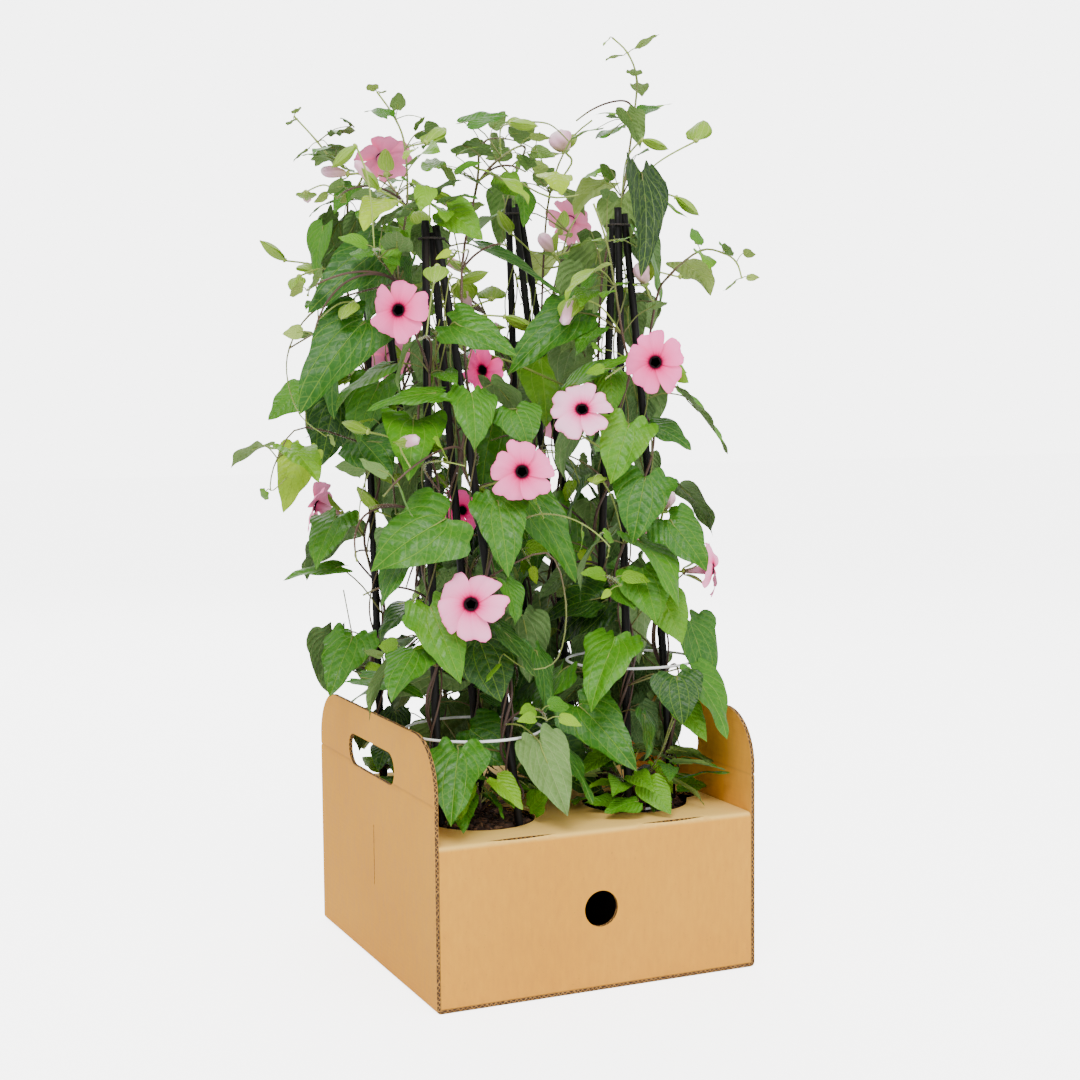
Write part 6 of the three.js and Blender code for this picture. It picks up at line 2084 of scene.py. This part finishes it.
for plant in PLANTS:
    make_pot(plant)
    bed, far, turns = Skin(), np.linspace(0.5, 53, 30), np.linspace(0, 2 * math.pi, 97)[:-1]
    heights = np.array([soil_height(r) for r in far])
    x = plant.pot[0] + far[:, None] * np.cos(turns)
    y = plant.pot[1] + far[:, None] * np.sin(turns)
    lumps = 0.9 * np.sin(x * 0.9 + y * 0.31) * np.cos(y * 0.83) + 0.6 * np.sin(x * 0.37 - y * 0.52)
    lumps += rng.normal(0, 0.35, x.shape)
    points = np.stack([x, y, heights[:, None] + lumps], -1).reshape(-1, 3)
    bed.add(points, grid_faces(len(far), len(turns), ring=True)[:, ::-1], points[:, :2] / 10, 0.5, 0.25)
    add_chips(bed, plant.pot, 170, 42, 9, 2.2)
    add_chips(bed, plant.pot, 420, 43, 4, 1.4)
    for _ in range(34):
        a, r = rng.random() * 6.28, 38 * math.sqrt(rng.random())
        start = np.array([plant.pot[0] + r * math.cos(a), plant.pot[1] + r * math.sin(a), soil_height(r) + 1.4])
        walk = np.cumsum(rng.normal(0, 2.4, (5, 3)) * np.array([1, 1, 0.25]), axis=0)
        add_tube(bed, smooth_line(start + walk, 3), 0.22, 4, 0.5, 0.95)
    piece(f"potting_soil_{plant.name}", "soil", [(bed, soil_brown)], f"soil_{plant.name}")

# %% [markdown]
# ## Corrugated board
# The carton is single-wall corrugated board: two liners with a waved sheet between. Its faces show
# the waves only as faint even ribs, with fibres and small stains. Where it is cut, the waves lie open
# between the two liners, their hollow cells painted dark as painted shade, and the paper is a little darker
# than the face.

# %% Corrugated board
FLUTE = 3.8
flutes, given, result = new_group("flutes", [("Run", "Float", 0.0), ("Pitch", "Float", FLUTE)],
                                  [("Wave", "Float")])
turns = calc(flutes, "DIVIDE", calc(flutes, "MULTIPLY", given["Run"], 2 * math.pi), given["Pitch"])
flutes.links.new(calc(flutes, "SINE", turns), result["Wave"])

liner, tree = new_material("kraft liner")
wave = use(tree, flutes, Run=on_blade(tree)["X"])["Wave"]
fibres = speckle(tree, 240.0, 6.0, stretch=(1, 1, 0.35))
cloud = speckle(tree, 7.0, 4.0)
flecks = fade(tree, speckle(tree, 520.0, 2.0), 0.66, 0.74)
kraft = ramp(tree, calc(tree, "ADD", calc(tree, "MULTIPLY", fibres, 0.55), calc(tree, "MULTIPLY", cloud, 0.45)),
             (0.25, 206, 137, 28), (0.5, 218, 151, 36), (0.75, 228, 163, 48))
kraft = blend(tree, calc(tree, "MULTIPLY", fade(tree, wave, 0.2, 1.0), 0.04), kraft, shade(176, 124, 60))
kraft = blend(tree, calc(tree, "MULTIPLY", flecks, 0.25), kraft, shade(150, 104, 52))
tone_shift = fact(tree, "tone")
# A tone above 0.5 darkens the board: wear at the slot and the cradle's top rims, a darker band at the cover's
# lower rims, and painted shade along the cradle's creases.
kraft = blend(tree, fade(tree, tone_shift, 0.5, 1.0, 0.0, 0.55), kraft, shade(140, 96, 46))
# A tone below 0.5 pales the board: painted light on the shelf.
kraft = blend(tree, fade(tree, tone_shift, 0.5, 0.0, 0.0, 0.85), kraft, shade(255, 214, 116))
relief = calc(tree, "ADD", calc(tree, "MULTIPLY", wave, 0.12), calc(tree, "MULTIPLY", fibres, 0.4))
finish_material(liner, kraft, fade(tree, fibres, 0.3, 0.7, 0.72, 0.9), relief, 0.25, 0.0006)

# %% [markdown]
# ## Cut edge
# Along a cut the waved sheet swings from liner to liner, and the hollow cell that lies between is
# painted dark as painted shade. A little noise in its run keeps the cells uneven, as a blunt die leaves them.

# %% Cut edge
cut_edge, tree = new_material("cut edge of the board")
place = on_blade(tree)
run = calc(tree, "ADD", place["X"], fade(tree, speckle(tree, 120.0), 0.3, 0.7, -1.0, 1.0))
wave = calc(tree, "MULTIPLY", use(tree, flutes, Run=run)["Wave"], 0.3)
height = calc(tree, "SUBTRACT", place["Y"], 0.5)
paper = fade(tree, calc(tree, "ABSOLUTE", calc(tree, "SUBTRACT", height, wave)), 0.2, 0.1)
liners = fade(tree, calc(tree, "ABSOLUTE", height), 0.36, 0.43)
solid = calc(tree, "MAXIMUM", paper, liners)
torn = speckle(tree, 330.0, 4.0)
# painted shade: where there is no paper, the hollow cells get a dark brown
edge = blend(tree, calc(tree, "MULTIPLY", solid, fade(tree, torn, 0.3, 0.65, 0.4, 1.0)), shade(66, 44, 22),
             shade(196, 142, 66))
finish_material(cut_edge, edge, 0.9, calc(tree, "ADD", solid, torn), 0.7, 0.0012)

# %% [markdown]
# ## Drawing sheets
# Each board is drawn flat, as a die cuts it, with its holes, and filled with a fine net of triangles.
# Long straight edges get points where they meet the net's lines, so that they can bend with it.


# %% Drawing sheets
def arc(x, y, r, start, end, steps):
    """Points on a circle, from one angle to another in degrees."""
    return [(x + r * math.cos(a), y + r * math.sin(a)) for a in np.radians(np.linspace(start, end, steps))]


def curve(points, steps):
    """A quadratic curve from the first point to the last, pulled towards the middle one."""
    a, b, c = (np.array(p, float) for p in points)
    return [tuple((1 - t) ** 2 * a + 2 * t * (1 - t) * b + t * t * c) for t in np.linspace(0, 1, steps)[1:]]


def within(points, loop):
    """Which points lie inside a loop."""
    loop = np.array(loop)
    nxt = np.roll(loop, -1, 0)
    px, py = points[:, :1], points[:, 1:]
    crossed = (loop[:, 1] > py) != (nxt[:, 1] > py)
    rise = np.where(nxt[:, 1] == loop[:, 1], 1, nxt[:, 1] - loop[:, 1])
    return ((crossed & (px < (nxt[:, 0] - loop[:, 0]) * (py - loop[:, 1]) / rise + loop[:, 0])).sum(1) % 2) == 1


print("points on a quarter of a circle:", len(arc(0, 0, 10, 0, 90, 9)))

# %% [markdown]
# ## Filling sheets
# The net's points keep a little away from the cuts, and a Delaunay triangulation
# joins them with the cuts' own points, which gives even triangles and clean edges.


# %% Filling sheets
def fill_sheet(outline, holes, net_u, net_v):
    """A net of triangles inside an outline and outside its holes, on the given grid lines."""
    loops = [outline, *holes]
    rim = np.array([p for loop in loops for p in loop])
    grid = np.stack(np.meshgrid(net_u, net_v), -1).reshape(-1, 2)
    keep = within(grid, outline)
    for hole in holes:
        keep &= ~within(grid, hole)
    grid = grid[keep]
    near = np.array([np.hypot(*(rim - p).T).min() for p in grid])
    grid = grid[near > 1.1]
    edges, start = [], 0
    for loop in loops:
        edges += [(start + i, start + (i + 1) % len(loop)) for i in range(len(loop))]
        start += len(loop)
    spots, _, faces, *_ = delaunay_2d_cdt([Vector(p) for p in [*rim, *grid]], edges, [], 1, 1e-4)
    spots, faces = np.array(spots), np.array([f for f in faces if len(f) == 3])
    hearts = spots[faces].mean(1)
    keep = within(hearts, outline)
    for hole in holes:
        keep &= ~within(hearts, hole)
    return spots, faces[keep]


def facing(points, faces, outwards):
    """Turns triangles round so that each one's normal agrees with a direction."""
    a, b, c = (points[faces[:, k]] for k in range(3))
    wrong = (np.cross(b - a, c - a) * outwards).sum(1) < 0
    faces = faces.copy()
    faces[wrong] = faces[wrong][:, ::-1]
    return faces


def on_grid(loop, net_u, net_v):
    """A loop with more points where its long straight edges meet the grid lines, so that they can bend."""
    made = []
    for p, q in zip(loop, [*loop[1:], loop[0]]):
        run = [q[0] - p[0], q[1] - p[1]]
        axis = int(abs(run[1]) > abs(run[0]))
        lines = (net_u, net_v)[axis] if abs(run[axis]) > 9 else ()
        shares = sorted((line - p[axis]) / run[axis] for line in lines)
        made += [p, *[(p[0] + run[0] * s, p[1] + run[1] * s) for s in shares if 0.002 < s < 0.998]]
    return made


print("a square of 10 with a hole of 4 has", len(fill_sheet([(0, 0), (10, 0), (10, 10), (0, 10)],
      [[(3, 3), (7, 3), (7, 7), (3, 7)]], [2, 8], [2, 8])[1]), "triangles")

# %% [markdown]
# ## Bending sheets
# The flat net is laid out twice, once for each face, and bent round the fold lines. A strip along every
# cut joins the two faces. The folds come out round, and the board keeps its thickness everywhere.


# %% Bending sheets
def folded_sheet(name, outline, holes, net_u, net_v, bend, flute, tone_shift, node_name):
    """Cuts, fills, thickens and bends a board; bend gives a place for (u, v) and a depth into the board."""
    liners, cuts = Skin(), Skin()
    outline = on_grid(outline, net_u, net_v)
    spots, faces = fill_sheet(outline, holes, net_u, net_v)
    outer, inner = bend(spots, 0), bend(spots, BOARD)
    uv, tones = spots[:, [flute, 1 - flute]], tone_shift(spots)
    hearts = (outer - inner)[faces].mean(1)
    liners.add(outer, facing(outer, faces, hearts), uv, tones)
    liners.add(inner, facing(inner, faces, -hearts), uv, tones)
    for number, loop in enumerate([outline, *holes]):
        loop = np.array(loop)
        n, lean = len(loop), np.roll(loop, -1, 0) - np.roll(loop, 1, 0)
        out = np.stack([lean[:, 1], -lean[:, 0]], 1) / np.linalg.norm(lean, axis=1)[:, None]
        if within(loop[:1] + out[:1] * 0.3, loop)[0] != (number > 0):
            out = -out
        points = np.concatenate([bend(loop, 0), bend(loop, BOARD)])
        away = np.tile(bend(loop + out, BOARD / 2) - bend(loop, BOARD / 2), (2, 1))
        quads = grid_faces(2, n, ring=True)
        uv = np.concatenate([np.stack([loop[:, flute], np.full(n, w)], 1) for w in (0.0, 1.0)])
        cuts.add(points, facing(points, quads, away[quads].mean(1)), uv, 0.5)
    piece(name, "carton", [(liners, liner), (cuts, cut_edge)], node_name)


def fold(run, stations):
    """Walks a bent section: stations are (length, turn in degrees, radius); returns place and heading."""
    at, heading = np.zeros(2), 0.0
    for length, turn, radius in stations:
        step = min(max(run, 0), length)
        if turn:
            a = math.radians(turn) * step / length
            sign = 1 if turn > 0 else -1
            centre = at + sign * radius * np.array([-math.sin(heading), math.cos(heading)])
            arm = at - centre
            c, s = math.cos(a), math.sin(a)
            at = centre + np.array([arm[0] * c - arm[1] * s, arm[0] * s + arm[1] * c])
            heading += a
        else:
            at = at + step * np.array([math.cos(heading), math.sin(heading)])
        run -= length
        if run <= 0:
            break
    return at, heading


print("a corner of 10, a fold and 10 ends at", fold(30, [(10, 0, 0), (5, 90, 3), (10, 0, 0)])[0].round(1))

# %% [markdown]
# ## The cradle, flat
# The cradle is one long strip: side panel, bottom, side panel, with rounded corners. Each side
# panel has a handle slot and a short slit under it. u runs across the strip and v along it.

# %% The cradle, flat
FOLD = 3.4
TURN = FOLD * math.pi / 2
side_run, floor_run = SIDE_TOP - FOLD, WIDTH - 2 * FOLD
cradle_length = 2 * side_run + 2 * TURN + floor_run
crease_at = SIDE_TOP - CREASE
half = DEPTH / 2
cradle_outline = [
    *arc(-half + CORNER, CORNER, CORNER, 180, 270, 17), *arc(half - CORNER, CORNER, CORNER, 270, 360, 17),
    *arc(half - CORNER, cradle_length - CORNER, CORNER, 0, 90, 17),
    *arc(-half + CORNER, cradle_length - CORNER, CORNER, 90, 180, 17),
]


def stadium(u, v, length, width):
    """A slot with round ends."""
    r = width / 2
    return [*arc(u + length / 2 - r, v, r, -90, 90, 15), *arc(u - length / 2 + r, v, r, 90, 270, 15)]


cradle_holes = []
for v in (SIDE_TOP - HANDLE.z, cradle_length - SIDE_TOP + HANDLE.z):
    cradle_holes.append(stadium(HANDLE.y, v, HANDLE.length, HANDLE.height))
for v in (SIDE_TOP - SIDE_SLIT.z, cradle_length - SIDE_TOP + SIDE_SLIT.z):
    w, l = SIDE_SLIT.width / 2, SIDE_SLIT.length / 2
    cradle_holes.append([(-w, v - l), (0, v - l - 0.8), (w, v - l), (w, v + l), (0, v + l + 0.8), (-w, v + l)])


print("flat cradle:", round(cradle_length), "x", DEPTH, "mm with", len(cradle_holes), "holes")

# %% [markdown]
# ## The cradle, folded
# The strip goes down one side, across the floor and up the other side. A crease across each side panel is a
# shallow groove, and the panel bows out a little above it. Painted shade darkens the crease, and wear the slot
# and the rim.

# %% The cradle, folded
def bend_cradle(spots, depth):
    """From the top of the left panel down, across the floor and up the right panel."""
    panel, turn = (side_run, 0, 0), (TURN, 90, FOLD)
    stations = [panel, turn, (floor_run, 0, 0), turn, panel]
    made = np.zeros((len(spots), 3))
    for k, (u, v) in enumerate(spots):
        (down, right), heading = fold(v, stations)
        near_crease = min(abs(v - crease_at), abs(v - cradle_length + crease_at))
        groove = 0.7 * max(0, 1 - near_crease / 1.6) if depth < BOARD / 2 else 0
        top = max(0, (max(crease_at - v, v - cradle_length + crease_at)) / crease_at)
        bow = 0.7 * top * math.sin(math.pi * (u + half) / (2 * half))
        inward = depth + groove - bow
        made[k] = (-WIDTH / 2 + right + inward * math.sin(heading + math.pi / 2),
                   u, SIDE_TOP - down + inward * math.sin(heading))
    return made


def cradle_wear_and_painted_shade(spots):
    """The tone of the cradle's liners: 0.5 is clean; more is wear at the slot and the rim, and painted shade
    along the crease.
    """
    v = np.minimum(spots[:, 1], cradle_length - spots[:, 1])
    # painted shade: a dark line along the crease, as if shade lay in its groove
    crease = np.exp(-((v - crease_at) / 1.3) ** 2)
    off_slot = np.abs(np.abs(v - (SIDE_TOP - HANDLE.z)) - HANDLE.height / 2)
    grip = np.exp(-off_slot / 3) * (np.abs(spots[:, 0]) < 58)
    return 0.5 + np.clip(0.25 * crease + 0.12 * grip + 0.15 * np.exp(-v / 2.5), 0, 0.5)


NET = 8.0  # distance between the net's lines
groove, bent = np.array([-1.6, 0, 1.6]), np.linspace(0, TURN, 5)
net_v = np.concatenate([np.arange(5, cradle_length, NET), crease_at + groove,
                        cradle_length - crease_at + groove, side_run + bent,
                        side_run + TURN + floor_run + bent])
folded_sheet("cradle_board", cradle_outline, cradle_holes, np.arange(-half + 5, half, NET), np.unique(net_v),
             bend_cradle, 1, cradle_wear_and_painted_shade, "carton_cradle")

# %% [markdown]
# ## The cover, flat
# The cover runs up the front, over the pots and down the back. It has four
# holes for the pots, the front right one torn to scallops on one side, a
# finger hole in each wall, and lens-shaped lock slits along its folds.

# %% The cover, flat
COVER_FOLD = 4.2
COVER_TURN = COVER_FOLD * math.pi / 2
wall_run = SHELF - BOARD - GAP - COVER_FOLD
shelf_run = DEPTH - 2 * COVER_FOLD
cover_length = 2 * (wall_run + COVER_TURN) + shelf_run
half_width = WIDTH / 2 - BOARD - GAP
shelf_start = wall_run + COVER_TURN + half - COVER_FOLD


def cover_hole(x, y):
    """A pot's hole; the front right one is a circle for most of its way, and then three scallops."""
    v = shelf_start + y
    if x > 0 and y < 0:
        scallops = arc(x, v, POT_HOLE, 318, 318, 1)
        for pull, end in (((38, -16), (42, -8)), ((60, -4), (56, 10)), ((50, 22), (38, 18))):
            scallops += curve([scallops[-1], (x + pull[0], v + pull[1]), (x + end[0], v + end[1])], 9)
        return [*arc(x, v, POT_HOLE, 48, 318, 54), *scallops[1:]]
    return arc(x, v, POT_HOLE, 0, 360, 73)[:-1]


def lens(u, v, length, width):
    """A slit with pointed ends, twice as wide as its curves pull it."""
    left, right = (u - length / 2, v), (u + length / 2, v)
    return [*curve([left, (u, v - width), right], 13), *curve([right, (u, v + width), left], 13)]


cover_outline = [(-half_width, 0), (half_width, 0), (half_width, cover_length), (-half_width, cover_length)]
cover_holes = [cover_hole(*plant.pot) for plant in PLANTS]
finger = FINGER_HOLE.z - BOARD - GAP
cover_holes += [arc(0, v, FINGER_HOLE.radius, 0, 360, 41)[:-1] for v in (finger, cover_length - finger)]
for side in (-1, 1):
    for end in (-1, 1):
        v = shelf_start + end * (half - BOARD - LOCK_SLIT.width / 2 - 0.6)
        cover_holes.append(lens(side * LOCK_SLIT.x, v + 0.9 * end, LOCK_SLIT.length, 2 * LOCK_SLIT.width))
print("flat cover:", round(cover_length), "x", round(2 * half_width), "mm with", len(cover_holes), "holes")

# %% [markdown]
# ## The cover, folded
# Two folds turn the flat sheet into front wall, shelf and back wall. The shelf is painted pale as painted
# light that makes up for the shade of the foliage above it, which a tone below 0.5 says, and the walls' lower
# rims are a little darker.

# %% The cover, folded
def bend_cover(spots, depth):
    """From the foot of the front wall up, over the shelf and down the back wall."""
    wall, turn = (wall_run, 0, 0), (COVER_TURN, -90, COVER_FOLD)
    stations = [wall, turn, (shelf_run, 0, 0), turn, wall]
    made = np.zeros((len(spots), 3))
    for k, (u, v) in enumerate(spots):
        (up, back), heading = fold(v, stations)
        made[k] = (u, -half - back - depth * math.sin(heading - math.pi / 2),
                   BOARD + GAP + up + depth * math.sin(heading))
    return made


def cover_tone_and_painted_light(spots):
    """The tone of the cover's liners, with one smooth change at each fold: painted light pales the shelf, and
    the walls darken a little at their lower rims.
    """
    v = np.minimum(spots[:, 1], cover_length - spots[:, 1])
    # painted light: the shelf is made paler, standing in for the light that the foliage above keeps off it
    shelf = np.clip((v - wall_run) / COVER_TURN * 2, 0, 1)
    return 0.5 - 0.38 * shelf + 0.12 * np.exp(-v / 2.5)


bent = np.linspace(0, COVER_TURN, 5)
net_v = np.concatenate([np.arange(5, cover_length, NET), wall_run + bent, cover_length - wall_run - bent])
folded_sheet("cover_board", cover_outline, cover_holes, np.arange(-half_width + 4, half_width, NET),
             np.unique(net_v), bend_cover, 0, cover_tone_and_painted_light, "carton_cover")

# %% [markdown]
# ## Floor
# A pale sheet that the object stands on. It is staging, and not part of the object.

# %% Floor
floor_white, tree = new_material("pale floor")
soft = speckle(tree, 3.0)
pale = ramp(tree, soft, (0.3, 246, 246, 246), (0.7, 250, 250, 250))
finish_material(floor_white, pale, 0.9, Emission_Color=(1, 1, 1, 1))
glow = calc(tree, "MULTIPLY", node(tree, "LightPath").outputs["Is Camera Ray"], 4.2)
tree.links.new(glow, tree.nodes["Principled BSDF"].inputs["Emission Strength"])
floor = bpy.data.objects.new("floor", bpy.data.meshes.new("floor"))
corners = [(x, y, -0.0005) for x, y in ((-9, -9), (9, -9), (9, 9), (-9, 9))]
floor.data.from_pydata(corners, [], [(0, 1, 2, 3)])
floor.data.materials.append(floor_white)
bpy.context.scene.collection.objects.link(floor)
floor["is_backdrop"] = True

# %% [markdown]
# ## Sizes of the frame and of the dressed part
# The dressed part should stay close to the frame's box, so both boxes are measured and kept side by side.

# %% Sizes of the frame and of the dressed part
low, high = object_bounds()
for label, box in (("frame", (*cad_low, *cad_high)), ("dressed", (*low, *high))):
    print(label, "box in mm:", [round(1000 * v) for v in box])
